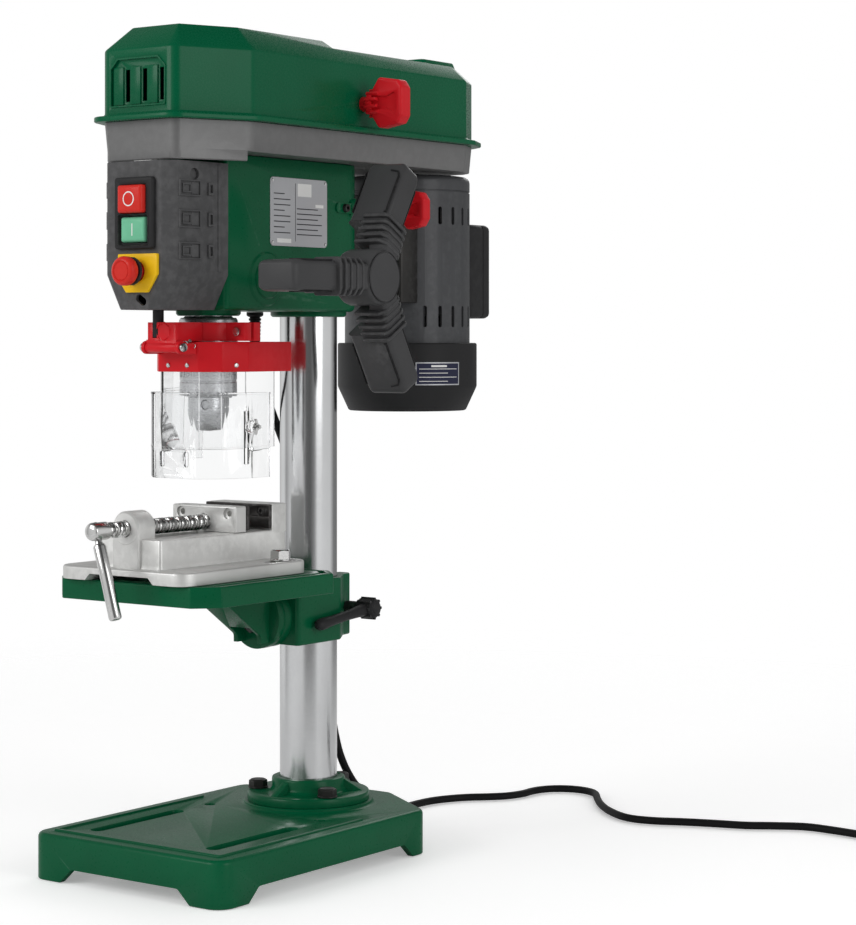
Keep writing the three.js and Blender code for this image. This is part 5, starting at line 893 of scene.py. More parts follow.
def bracket_form():
    height, half, front, shoulder = 50, 30, -50, 4
    ear_waist, waist_y, ear_half, ear_rear, slot = 14, 28, 12, 40, 3.2
    disc, disc_depth, tilt = 23.7, 8, TILT_Z - BRACKET_Z
    corners = mirrored([(half, front, 4), (half, shoulder, 8), (ear_waist, waist_y, 6),
                        (ear_half, ear_rear, 3)])
    body = stack(corners, eased(0, height, 1.5, 1.5))
    face = moved(rod(disc, front - disc_depth, front + OVERRUN, "y", SIDES_FINE), 0, 0, tilt)
    bore = rod(COLUMN_BORE, -OVERRUN, height + OVERRUN, sides=SIDES_LARGE)
    gap = block((-slot / 2, 0, -OVERRUN), (slot / 2, ear_rear + OVERRUN, height + OVERRUN))
    screw = moved(rod(4.3, -ear_waist - 2, ear_waist + 2, "x"), 0, 32.5, 23)
    hole = moved(rod(6.3, front - disc_depth - OVERRUN, -31.7, "y"), 0, 0, tilt)
    return moved(softened(shaped([body, face], [bore, gap, screw, hole]), 0.8), 0, 0, BRACKET_Z)


def clamp_lever_forms():
    start, length, radius, axis_y, axis_z = 28, 16, 8, 32.5, BRACKET_Z + 23
    middle, end_y, drop, arm = start + 8, -34, 8, 4.6
    reach = math.hypot(end_y - axis_y, drop)
    lean = math.degrees(math.atan2(drop, axis_y - end_y))
    profile = [(0, 0), (arm * 1.1, 0), (arm * 1.05, reach * 0.15), (arm * 0.82, reach * 0.45),
               (arm * 0.86, reach * 0.7), (arm, reach * 0.84), (arm * 1.04, reach * 0.92),
               (arm * 0.9, reach * 0.97), (arm * 0.5, reach), (0, reach + 0.2)]
    bar = moved(turned(lathe(profile, SIDES_SMALL), "x", 90 + lean), middle, 0, 0)
    hub = laid(lathe([(0, start), (radius - 1, start), (radius, start + 1), (radius, start + length - 2),
                      (radius - 2, start + length), (0, start + length)], SIDES_MEDIUM), "x")
    rib = prism(rectangle(0, -1.1, radius + 0.9, 1.1, 0.5), start + 1.2, start + length - 1.2, "z", steps=2)
    ribs = laid(ring_of(rib, 8, "black moulding"), "x")
    neck = rod(4.8, 14.6, start + 1, "x")
    screw = rod(4, -16, start + 2, "x")
    cap = laid(lathe([(0, start + length - 0.4), (4.4, start + length - 0.4), (4.4, start + length + 0.2),
                      (3.6, start + length + 0.6), (0, start + length + 0.6)], SIDES_SMALL), "x")
    plastic = softened(shaped([hub, bar]), 0.5)
    set_down = [moved(form, 0, axis_y, axis_z) for form in (plastic, ribs, shaped([neck, screw]), cap)]
    return set_down


def table_form():
    half, front, rear, corner = 80, -215, -52.5, 16.5
    top, thick = 40, in_mm(sizes().table_thickness)
    deck, wall, edge = 7, 5, 1.8
    trough_in, trough_width, trough_depth = 5, 6, 3
    slot_x, slot_front, slot_rear, slot_width = 54, -185, -80, 9.4
    corners = mirrored([(half - corner, front, 3), (half, front + corner, 3), (half, rear - corner, 3),
                        (half - corner, rear, 3)])
    low = top - thick
    plate = stack(corners, eased(low, top, 0.8, edge))
    under = prism(corners, low - OVERRUN, top - deck, inset=wall)
    floor = top - trough_depth
    outer = stack(corners, [(floor, trough_in + 1.2), (floor + 1, trough_in + 0.3),
                            (top + OVERRUN, trough_in)])
    island = stack(corners, [(floor - OVERRUN, trough_in + trough_width - 0.6),
                             (floor, trough_in + trough_width - 0.6),
                             (top + 2 * OVERRUN, trough_in + trough_width)])

    def slot(x):
        return prism(rectangle(x - slot_width / 2, slot_front, x + slot_width / 2, slot_rear,
                               slot_width / 2.1), low, top + OVERRUN)

    hole = moved(rod(10, low, top + OVERRUN), 0, SPINDLE_Y, 0)
    boss_front, boss_rear, disc = -66.3, -58.3, 24
    boss = rod(disc, boss_front, boss_rear, "y", SIDES_FINE)
    web_half, web_front, web_low, web_wall = 14, -126, -76, 4
    roof = top - deck + 1
    web = prism([(web_front, low - OVERRUN), (web_low, -disc * 0.5, 4), (web_low, -disc * 0.76),
                 (boss_rear - 1, -disc * 0.76), (boss_rear - 1, roof), (web_front, roof)],
                -web_half, web_half, "x", steps=4)
    pocket = block((-web_half + web_wall, web_low - 9.5, -disc - OVERRUN),
                   (web_half - web_wall, boss_front, 14.25))
    rib = block((-half + wall - 1, SPINDLE_Y - 2, top - deck - 6),
                (half - wall + 1, SPINDLE_Y + 2, top - deck + 1))
    bolt_hole = rod(6.3, boss_front - OVERRUN, boss_rear + OVERRUN, "y")
    trench = shaped([outer], [island])
    made = shaped([shaped([plate], [under]), rib, boss, web], [pocket, bolt_hole, trench, slot(-slot_x),
                                                              slot(slot_x), hole])
    return moved(softened(made, 0.6), 0, 0, TILT_Z)


def tilt_bolt_form():
    seat = -66.6
    head = laid(turned(hexagon(19, -seat, -seat + 7), "z", 30), "y")
    head = flipped(head, "y")
    return moved(shaped([head, rod(6, seat - 1, -32, "y")]), 0, 0, TILT_Z)


VISE_SCREW_Z = 39
JAW_HOLE_X = 23.5
JAW_HOLE_Z = 46


def vise_body_form():
    half, front, rear, flange, corner = 64, -222, -76, 10, 14
    body_half, body_front, body_rear, body_top, jaw_top = 32, -211.5, -67, 31.5, 51.5
    channel, channel_front, channel_rear = 8, -192, -92
    boss_front, boss_rear, boss_radius = -215, -195.5, 13
    relief, slant, lift = 29, 5, 5
    plate = stack(rectangle(-half, front, half, rear, corner), eased(0, flange, 0.6, 1.8))
    trunk_levels = [(0, -1.4), (flange, -1.0), (flange + 1.2, -0.5), (flange + 3, -0.3),
                    (body_top - 1.2, 0.2), (body_top - 0.4, 0.5), (body_top, 1.2)]
    trunk = stack(rectangle(-body_half, body_front, body_half, body_rear, 2.5), trunk_levels)
    eye = laid(lathe([(0, -boss_rear), (boss_radius - 0.5, -boss_rear), (boss_radius, -boss_rear + 1),
                      (boss_radius, -boss_front - 1.6), (boss_radius - 1.6, -boss_front), (0, -boss_front)],
                     SIDES_FINE), "y")
    eye = moved(flipped(eye, "y"), 0, 0, VISE_SCREW_Z)
    pedestal = prism(rectangle(-boss_radius, boss_front + 0.4, boss_radius, boss_rear, 1.5), flange - 1,
                     VISE_SCREW_Z)
    jaw = stack(rectangle(-body_half, -84.6, body_half, body_rear, 1.2), [(body_top - OVERRUN, 0),
                (jaw_top - 1.2, 0), (jaw_top - 0.3, 0.4), (jaw_top, 1.2)])
    under = prism([(-relief - slant, -OVERRUN), (relief + slant, -OVERRUN), (relief + slant, 0),
                   (relief, lift), (-relief, lift),
                   (-relief - slant, 0)], front - OVERRUN, rear + OVERRUN, "y")
    groove = block((-channel, channel_front, lift), (channel, channel_rear, body_top + OVERRUN))
    screw = moved(rod(6.3, boss_front - OVERRUN, boss_rear + OVERRUN, "y"), 0, 0, VISE_SCREW_Z)

    def slot(x, y):
        return prism(rectangle(x - 4.5, y - 17, x + 4.5, y + 17, 4.3), -OVERRUN, flange + OVERRUN)

    made = shaped([plate, trunk, eye, pedestal, jaw], [under, groove, screw, slot(54, -101),
                                                       slot(-54, -160)])
    return moved(softened(made, 0.5), 0, 0, VISE_Z)


def moving_jaw_form():
    front, depth, half, body_top, jaw_top, channel = -127, 12, 32, 31.5, 51.5, 8
    low, rear = body_top + GAP, front + depth
    jaw = stack(rectangle(-half, front, half, rear, 1.0), eased(low, jaw_top, 0.4, 1.2))
    tongue = block((-channel + GAP, front + 1, low - 12), (channel - GAP, rear - 1, low + 1))
    holes = [moved(rod(2.3, front - OVERRUN, front + depth / 2, "y"), x, 0, JAW_HOLE_Z)
             for x in (-JAW_HOLE_X, JAW_HOLE_X)]
    sinks = [moved(rod(4.2, front - OVERRUN, front + 2.2, "y"), x, 0, JAW_HOLE_Z)
             for x in (-JAW_HOLE_X, JAW_HOLE_X)]
    socket = moved(rod(6.3, front - OVERRUN, front + depth * 0.6, "y"), 0, 0, VISE_SCREW_Z)
    return moved(softened(shaped([jaw, tongue], [*holes, *sinks, socket]), 0.4), 0, 0, VISE_Z)


def socket_screw(radius, height, key):
    """A round screw head with a hexagonal socket, seated at zero."""
    head = lathe([(0, 0), (radius - 0.2, 0), (radius, 0.2), (radius, height - 0.4), (radius - 0.4, height),
                  (0, height)], SIDES_SMALL)
    return shaped([head], [lathe([(0, height * 0.35), (key, height * 0.35), (key, height + 1),
                                  (0, height + 1)], 6)])


def facing_front(form, y):
    """Sets a form drawn on z with its top towards the operator, at a place on the y axis."""
    return moved(turned(form, "x", 90), 0, y, 0)


def jaw_plate_forms(front):
    top, tall, half, thick = 51.5 - GAP, 18.5, 32, 3.4
    low = top - tall
    plate = stack(rectangle(-half, low, half, top, 0.6), eased(front, front + thick, 0.5, 0.2), "y",
                  steps=3)
    holes = [moved(rod(3.6, front - OVERRUN, front + 2.2, "y"), x, 0, JAW_HOLE_Z)
             for x in (-JAW_HOLE_X, JAW_HOLE_X)]
    groove = [block((-half - 1, front - 1, low + tall * 0.5 - 0.35),
                    (half + 1, front + 0.35, low + tall * 0.5 + 0.35))]
    screws = [moved(facing_front(socket_screw(3.3, 2, 1.5), front + 2.1), x, 0, JAW_HOLE_Z)
              for x in (-JAW_HOLE_X, JAW_HOLE_X)]
    return (moved(softened(shaped([plate], holes + groove), 0.2), 0, 0, VISE_Z),
            moved(joined(*screws), 0, 0, VISE_Z))


def vise_screw_forms():
    nose, nose_front, nose_rear, radius, end = 6.6, -252, -235, 6, -120.1
    pitch = in_mm(sizes().thread_pitch)
    core, ridge = radius - 1.15, 1.1
    head = [(0, -nose_rear), (nose - 0.5, -nose_rear), (nose, -nose_rear + 0.6), (nose, -nose_front - 3),
            (nose * 0.92, -nose_front - 1.6), (nose * 0.7, -nose_front - 0.5), (nose * 0.4, -nose_front),
            (0, -nose_front)]
    knob = turned(lathe(head, SIDES_MEDIUM), "x", 90)
    eye = moved(turned(rod(2.9, -9, 9), "y", -17), 0, -245, 0)
    knob = shaped([knob], [eye])
    shaft = rod(core, nose_rear - 0.5, end, "y")
    plain = rod(radius, end - 4, end, "y")
    run = abs(nose_rear + 1 - (end - 5))
    turns = moved(turned(thread(core + 0.1, ridge, pitch, run, "bright plating"), "x", -90), 0,
                  nose_rear + 1, 0)
    place = (0, 0, VISE_Z + VISE_SCREW_Z)
    return [moved(form, *place) for form in (knob, shaped([shaft, plain]), turns)]


def vise_handle_form():
    radius, start, end, neck, nose, lean, y = 4.7, 9.5, 66, 2.6, 6.6, -17, -245
    profile = [(0, -end), (radius - 2, -end), (radius - 0.6, -end + 0.6), (radius, -end + 2),
               (radius * 0.97, -end * 0.6), (radius, -start - 2), (radius - 0.6, -start - 0.6),
               (radius - 1.6, -start), (neck, -start + 1), (neck, nose - 0.6), (neck - 0.6, nose),
               (0, nose)]
    return moved(turned(lathe(profile, SIDES_MEDIUM), "y", lean), 0, y, VISE_Z + VISE_SCREW_Z)


def vise_bolt_form(x, y):
    shank = 26
    bolt = shaped([hex_bolt(14, 7, 4, shank), hexagon(14, -24.6, -17.6)])
    return moved(bolt, x, y, VISE_Z + 10 + GAP)


def build_table_unit():
    add_piece("bracket_casting", [(bracket_form(), "casting paint")], "table_support",
              ["table_bracket"])
    plastic, ribs, screw, cap = clamp_lever_forms()
    add_piece("clamp_lever_grip", [(plastic, "black moulding"), (ribs, "black moulding"),
                                   (screw, "dark steel"),
                                   (cap, "black moulding")], "clamp_lever",
              ["table_clamp_lever"])
    add_piece("table_casting", [(table_form(), "casting paint")], "table", ["drill_table"])
    add_piece("tilt_screw", [(tilt_bolt_form(), "dark steel")], "table", ["tilt_bolt"])
    add_piece("vise_casting", [(vise_body_form(), "cast alloy")], "table", ["vise_body"])
    plate, screws = jaw_plate_forms(-88.3)
    add_piece("vise_fixed_face", [(plate, "jaw steel"), (screws, "dark steel")], "table",
              ["vise_fixed_jaw_plate"])
    add_piece("vise_sliding_jaw", [(moving_jaw_form(), "cast alloy")], "vise_jaw",
              ["vise_moving_jaw"])
    plate, screws = jaw_plate_forms(-114.7)
    add_piece("vise_sliding_face", [(plate, "jaw steel"), (screws, "dark steel")], "vise_jaw",
              ["vise_moving_jaw_plate"])
    knob, shaft, turns = vise_screw_forms()
    add_piece("vise_lead_screw", [(knob, "bright plating"), (shaft, "bright plating"),
                                  (turns, "bright plating")], "vise_spindle", ["vise_screw"])
    add_piece("vise_tommy_bar", [(vise_handle_form(), "bright plating")], "vise_spindle",
              ["vise_handle"])
    add_piece("vise_right_bolt", [(vise_bolt_form(54, -101), "bright plating")], "table",
              ["vise_bolt_right"])
    add_piece("vise_left_bolt", [(vise_bolt_form(-54, -160), "bright plating")], "table",
              ["vise_bolt_left"])


# Head casting, switch housing and drive cover

HEAD_TALL = 117.5
HEAD_HALF = 36
HEAD_FRONT = SPINDLE_Y - 21
HOUSING_FRONT = SPINDLE_Y - 83
HOUSING_TALL = 109.5
LOCK_Z = HEAD_Z + 82.5
PAN_LOW = HEAD_Z + HEAD_TALL + GAP
PAN_TOP = PAN_LOW + 21.9
LID_LOW = PAN_TOP + GAP
SWITCH_X = 2.5
ESTOP_X = 5
ESTOP_Z = HEAD_Z + 28


def head_form():
    wall, rear_round, edge = 6, 33, 4
    column_boss, quill_boss, neck = 30.5, 24.75, 4
    corners = mirrored([(HEAD_HALF, HEAD_FRONT, 4), (HEAD_HALF, HEAD_HALF, rear_round)])
    skin = stack(corners, eased(0, HEAD_TALL, edge, 1), steps=10)
    inner = HEAD_HALF - wall
    cavity = stack(rectangle(-inner, HEAD_FRONT + wall, inner, -32, 4),
                   [(wall, 2), (wall + 2, 0), (HEAD_TALL + 2, 0)])
    column = lathe([(0, -neck), (column_boss - 1.5, -neck), (column_boss, -neck + 1.5),
                    (column_boss, HEAD_TALL - 1), (column_boss - 1, HEAD_TALL),
                    (0, HEAD_TALL)], SIDES_LARGE)
    quill = lathe([(0, -neck), (quill_boss - 1.5, -neck), (quill_boss, -neck + 1.5),
                   (quill_boss, HEAD_TALL), (0, HEAD_TALL)], SIDES_LARGE)
    quill = shaped([moved(quill, 0, SPINDLE_Y, 0)],
                   [block((-HEAD_HALF, 2 * HEAD_FRONT, -neck - 1), (HEAD_HALF, HEAD_FRONT, 2 * HEAD_TALL))])
    feed_z = FEED_Z - HEAD_Z
    rim = laid(lathe([(0, -39.5), (13.8, -39.5), (15, -38.3), (15, 38.3), (13.8, 39.5), (0, 39.5)],
                     SIDES_LARGE), "x")
    crown = laid(lathe([(0, -37.6), (19.5, -37.6), (21, -36), (21, 36), (19.5, 37.6), (0, 37.6)],
                       SIDES_LARGE), "x")
    gap = block((-inner, FEED_Y - 24, wall), (inner, FEED_Y + 24, feed_z + 24))
    bosses = shaped([moved(rim, 0, FEED_Y, feed_z), moved(crown, 0, FEED_Y, feed_z)], [gap])
    rise = LOCK_Z - HEAD_Z
    lugs = [moved(rod(9, 8, 60, "y", SIDES_MEDIUM, 1), x, 0, rise) for x in (-SLIDE_X, SLIDE_X)]
    knob_boss = moved(rod(7.5, 30, 44, "x", SIDES_MEDIUM, 0.8), 0, LOCK_KNOB_Y, rise)
    pad = prism([(-11, rise - 4.2, 4), (11, rise - 4.2, 4), (11, rise + 4.2, 4), (-11, rise + 4.2, 4)],
                HEAD_HALF - 2, HEAD_HALF + 1.6, "x", steps=6)
    cuts = [rod(COLUMN_BORE, -neck - 2, 100.3, sides=SIDES_LARGE),
            moved(rod(18.3, -neck - 2, HEAD_TALL - 8, sides=SIDES_LARGE), 0, SPINDLE_Y, 0),
            moved(rod(15, HEAD_TALL / 2, HEAD_TALL + 2), 0, SPINDLE_Y, 0),
            block((-8, SPINDLE_Y + 13, feed_z - 12.3), (8, FEED_Y + 12.3, feed_z + 12.3)),
            moved(rod(6.3, -45, 45, "x"), 0, FEED_Y, feed_z),
            moved(rod(3.5, 0, 44, "x"), 0, 0, rise), moved(rod(3.3, 26, 50, "x"), 0, LOCK_KNOB_Y, rise),
            *[moved(rod(5.3, 6, 62, "y"), x, 0, rise) for x in (-SLIDE_X, SLIDE_X)]]
    shell = shaped([skin], [cavity])
    made = shaped([shell, column, quill, bosses, *lugs, knob_boss, pad], cuts)
    return moved(softened(made, 0.7), 0, 0, HEAD_Z)


def lock_screw_form():
    body = rod(3.2, 24, HEAD_HALF + 4.5, "x", SIDES_SMALL, 0.4)
    key = laid(lathe([(0, HEAD_HALF + 1.5), (1.7, HEAD_HALF + 1.5), (1.7, HEAD_HALF + 6),
                      (0, HEAD_HALF + 6)], 6), "x")
    return moved(shaped([body], [key]), 0, 0, LOCK_Z)


def rating_plate_forms():
    """A plain data plate with ruled lines and blank fields, held by small rivets."""
    front, rear, low, high, face = -92, -22, 479, 532, HEAD_HALF
    plate = stack(rectangle(front, low, rear, high, 3.5),
                  [(face - 0.3, 0), (face + 0.5, 0), (face + 0.7, 0.25)], "x")
    middle = front + 30
    lines = []
    for row in range(8):
        z = high - 13 - row * 4.3
        lines.append(block((face + 0.6, front + 4, z),
                           (face + 0.78, front + (24 if row % 3 else 17), z + 0.8)))
    for row in range(6):
        z = high - 24 - row * 4.0
        lines.append(block((face + 0.6, middle + 2, z),
                           (face + 0.78, rear - (7 if row % 2 else 12), z + 0.8)))
    lines.append(block((face + 0.6, middle, low + 4), (face + 0.78, middle + 0.5, high - 4)))
    fields = [block((face + 0.6, front + 8, low + 2.6), (face + 0.8, front + 25, low + 5.8)),
              block((face + 0.6, rear - 15, high - 22), (face + 0.8, rear - 5, high - 19.5)),
              block((face + 0.6, middle + 3, high - 14), (face + 0.8, rear - 20, high - 4))]
    rivet = laid(lathe([(0, -0.4), (1.3, -0.4), (1.3, 0.2), (0.9, 0.6), (0, 0.75)], 16), "x")
    rivets = [moved(rivet, face + 0.6, y, z) for y in (front + 2.6, rear - 2.6)
              for z in (low + 2.6, high - 2.6)]
    return softened(plate, 0.0), joined(*lines), joined(*fields), joined(*rivets)


HOUSING_PLAN = 26.5, (35.2, HOUSING_FRONT + 8.5), 38, HOUSING_FRONT + 32


def housing_form():
    front_half, facet, side, cheek = HOUSING_PLAN
    wall, taper_wide, taper_tall = 3, 14, 26
    back = HEAD_FRONT - GAP
    corners = mirrored([(front_half, HOUSING_FRONT, 3), (*facet, 5), (side, cheek, 8), (side, back, 0)])

    def whole(inset, low, high):
        rings = []
        for level, share in ((low, 1.0), (low + 1.2, 0.93), (taper_tall, 0.0), (high, 0.0)):
            drawn = [(x - math.copysign(taper_wide * share, x), y, radius) for x, y, radius in corners]
            rings.append([(x, y, level) for x, y in outline(drawn, inset, CORNER_STEPS)])
        return loft(rings)

    inside = common(whole(wall, 0, HOUSING_TALL + OVERRUN),
                    block((-side, HOUSING_FRONT, wall), (side, back + OVERRUN, HOUSING_TALL - wall)))
    mouth = block((-side + 2 * wall, back - 3 * wall, taper_tall),
                  (side - 2 * wall, back + OVERRUN, HOUSING_TALL - wall))
    shell = shaped([whole(0, 0, HOUSING_TALL)], [inside, mouth])
    return shell


def clip_forms(low, high, side):
    """A snap of the housing: a shallow box with a slotted tongue, on the facet beside the switch."""
    middle, tall = (low + high) / 2, high - low
    frame_solid = block((-10.5, -0.6, -tall / 2 - 1.5), (10.5, 1.5, tall / 2 + 1.5))
    hollow = block((-9.4, -1.4, -tall / 2 - 0.4), (9.4, 1.8, tall / 2 + 0.4))
    tongue = block((-7.4, -0.9, -tall / 2 + 1.2), (1.2, 1.3, tall / 2 - 1.2))
    groove = block((-6.2, -1.5, -tall / 2 + 2.4), (0.0, 1.8, tall / 2 - 2.4))
    step = block((1.8, -0.9, -tall / 2 + 0.2), (8.8, 0.45, tall / 2 - 0.2))
    made = joined(shaped([frame_solid], [hollow]), shaped([tongue], [groove]), step)
    run = Vector((HOUSING_PLAN[2], HOUSING_PLAN[3])) - Vector(HOUSING_PLAN[1])
    lean = math.degrees(math.atan2(run.y, run.x))
    made = turned(flipped(made, "y"), "z", lean)
    place = Vector(HOUSING_PLAN[1]) + run.normalized() * 11.5
    made = moved(made, place.x, place.y, middle)
    return flipped(made, "x") if side < 0 else made


def housing_forms():
    shell = housing_form()
    cuts = [block((SWITCH_X - 16, HOUSING_FRONT - 2, 47.5), (SWITCH_X + 16, HOUSING_FRONT + 6, 94.5)),
            moved(rod(7, HOUSING_FRONT - 2, HOUSING_FRONT + 6, "y"), ESTOP_X, 0, ESTOP_Z - HEAD_Z),
            moved(rod(5.2, -2, 6), DEPTH_ROD_X, DEPTH_ROD_Y, 0)]
    low_screw = prism([(13, 11, 3), (24, 11, 3), (24, 17, 3), (13, 17, 3)], HOUSING_FRONT - 2,
                      HOUSING_FRONT + 5, "y")
    low_screw = turned(moved(low_screw, -18.5, 0, -14), "y", 32)
    cuts.append(moved(low_screw, 7, 0, 7))
    high_screw = moved(turned(rod(4.4, -6, 2, "y", SIDES_MEDIUM), "z", 83), 36.2, HOUSING_FRONT + 25, 100)
    cuts.append(high_screw)
    cuts.append(flipped(high_screw, "x"))
    clips = []
    for low, high in ((84.8, 94.0), (61.6, 71.8), (38.2, 48.0)):
        for side in (-1, 1):
            clips.append(clip_forms(low, high, side))
            x0, x1 = (35, 40) if side > 0 else (-40, -35)
            clips.append(shaped([block((x0, HEAD_FRONT - 24, low), (x1, HEAD_FRONT - 18, high))],
                                [block((x0 - 1, HEAD_FRONT - 22.4, low + 1.6),
                                       (x1 + 1, HEAD_FRONT - 19.6, high - 1.6))]))
    ribs = [block((side * 38 - 0.7, HEAD_FRONT - 12, 28), (side * 38 + 0.7, HEAD_FRONT - 9, 108))
            for side in (-1, 1)]
    main = softened(shaped([shell], cuts), 0.6)
    trims = [softened(form, 0.25, 1) for form in clips + ribs]
    return [moved(form, 0, 0, HEAD_Z) for form in (main, joined(*trims))]


def bezel_forms():
    low, high, half = HEAD_Z + 44.5, HEAD_Z + 97.5, 19
    front = HOUSING_FRONT - 4
    face = rectangle(SWITCH_X - half, low, SWITCH_X + half, high, 2.5)
    plate = stack(face, [(front, 1.1), (front + 0.35, 0.4), (front + 1.1, 0), (HOUSING_FRONT - GAP, 0)],
                  "y")
    box = block((SWITCH_X - 15, HOUSING_FRONT - 1, low + 3.5),
                (SWITCH_X + 15, HOUSING_FRONT + 14, high - 3.5))
    hollow = block((SWITCH_X - 13, HOUSING_FRONT + 2, low + 5.5),
                   (SWITCH_X + 13, HOUSING_FRONT + 16, high - 5.5))
    stop_hole = block((SWITCH_X - 12.6, front - 2, HEAD_Z + 70.4),
                      (SWITCH_X + 12.6, HOUSING_FRONT + 16, HEAD_Z + 92.1))
    start_hole = block((SWITCH_X - 12.6, front - 2, HEAD_Z + 48.9),
                       (SWITCH_X + 12.6, HOUSING_FRONT + 16, HEAD_Z + 68.6))
    well = stack(rectangle(SWITCH_X - 15.2, HEAD_Z + 46.4, SWITCH_X + 15.2, HEAD_Z + 70.6, 1.5),
                 [(front - 1, -0.6), (front + 2.4, 1.8)], "y", steps=3)
    made = shaped([shaped([box], [hollow]), plate], [stop_hole, start_hole, well])
    collar = shaped([stack(rectangle(SWITCH_X - 15.2, HEAD_Z + 46.6, SWITCH_X + 15.2, HEAD_Z + 70.4, 2),
                           [(front - 0.9, 0.8), (front - 0.2, 0), (front + 1, 0)], "y", steps=3)],
                    [stack(rectangle(SWITCH_X - 14.2, HEAD_Z + 47.6, SWITCH_X + 14.2, HEAD_Z + 69.4, 1),
                           [(front - 2, -1), (front + 2, 0.4)], "y", steps=3)])
    return [softened(made, 0.3), collar]


def button_form(low, high, proud):
    front = HOUSING_FRONT - 4 - proud + 1
    face = rectangle(SWITCH_X - 12, low, SWITCH_X + 12, high, 1.6)
    return stack(face, [(front, 2.2), (front + 0.4, 1.2), (front + 1.3, 0.4), (front + 2.4, 0),
                        (front + proud + 9, 0)], "y", steps=5), front


def build_switches():
    stop, stop_face = button_form(HEAD_Z + 71, HEAD_Z + 91.5, 6)
    ring = moved(laid(ring_bar(4.6, 5.5, -0.1, 0.12, SIDES_MEDIUM, 0.05), "y"), SWITCH_X, stop_face - 0.01,
                 HEAD_Z + 81.2)
    add_piece("stop_key", [(stop, "stop moulding"), (ring, "white print")], "stop_body",
              ["stop_button"])
    start, start_face = button_form(HEAD_Z + 49.5, HEAD_Z + 68, 2)
    bar = block((SWITCH_X - 0.45, start_face - 0.12, HEAD_Z + 54.2),
                (SWITCH_X + 0.45, start_face + 0.1, HEAD_Z + 63.2))
    add_piece("start_key", [(start, "start moulding"), (bar, "white print")], "start_body",
              ["start_button"])
    face = HOUSING_FRONT - 20
    cap = [(0, face + 0.6), (6.4, face + 0.5), (6.9, face + 0.9), (7.4, face + 0.5), (7.9, face),
           (9.0, face + 0.3), (10.2, face + 1.3), (10.8, face + 2.8), (10.8, face + 6.4),
           (10.2, face + 7.8), (8.2, face + 8.6), (8.0, face + 13), (6, face + 13), (6, HOUSING_FRONT + 8),
           (0, HOUSING_FRONT + 8)]
    knob = turned(lathe([(radius, -height) for radius, height in reversed(cap)], SIDES_FINE), "x", 90)
    knob = moved(knob, ESTOP_X, 0, ESTOP_Z)
    collar = moved(turned(ring_bar(8.3, 10.4, -(face + 12.6), -(face + 10.2), SIDES_MEDIUM), "x", 90),
                   ESTOP_X, 0, ESTOP_Z)
    add_piece("emergency_knob", [(knob, "stop moulding"), (collar, "black moulding")], "estop_body",
              ["estop_button"])


def estop_plate_form():
    plate = prism([(-14, 452, 1), (-6, 441.5, 1), (15, 441.5, 1), (24.6, 455, 1), (24.6, 470, 1),
                   (-14, 470, 1)], HOUSING_FRONT - 2.6, HOUSING_FRONT + 0.4, "y", steps=3)
    seat = moved(rod(7.6, HOUSING_FRONT - 4, HOUSING_FRONT + 2, "y"), ESTOP_X, 0, ESTOP_Z)
    return softened(shaped([plate], [seat]), 0.3)


def belt_corners():
    return mirrored([(35.5, -201, 10), (62, -142, 14), (62, 133, 8), (50, 158, 6), (38, 166, 4)])


HINGE_X = -73
HINGE_Z = LID_LOW + 2


def pan_form():
    corners = belt_corners()
    wall, draft = 2.5, 2
    skin = stack(corners, [(PAN_LOW, draft + 0.7), (PAN_LOW + 0.7, draft), (PAN_TOP, 0)])
    inside = stack(corners, [(PAN_LOW + wall, draft + wall), (PAN_TOP + 2, wall)])
    skirt_low = HEAD_Z + HEAD_TALL - 7
    skirt = shaped([stack(corners, [(skirt_low, draft + 0.5), (skirt_low + 0.8, draft),
                                    (PAN_LOW + 1, draft)])],
                   [prism(corners, skirt_low - 2, PAN_LOW + 2, inset=draft + wall),
                    block((-140, -145, 0), (140, 300, PAN_TOP))])
    slot = prism(rectangle(-12, 108, 12, 148, 11), PAN_LOW - 2, PAN_LOW + 6)
    ears = []
    for y in (-106.3, 102.3):
        ears.append(shaped([
            moved(rod(3.6, y, y + 6, "y", SIDES_SMALL), HINGE_X, 0, HINGE_Z),
            block((HINGE_X - 3.6, y, HINGE_Z - 9), (HINGE_X + 3.6, y + 6, HINGE_Z)),
            block((HINGE_X, y, HINGE_Z - 9), (-60, y + 6, HINGE_Z - 5))]))
    made = shaped([shaped([skin], [inside]), skirt, *ears], [
        moved(rod(17, PAN_LOW - 2, PAN_LOW + 5), 0, SPINDLE_Y, 0), slot,
        moved(rod(2, -124, 126, "y", SIDES_SMALL), HINGE_X, 0, HINGE_Z)])
    return softened(made, 0.5)


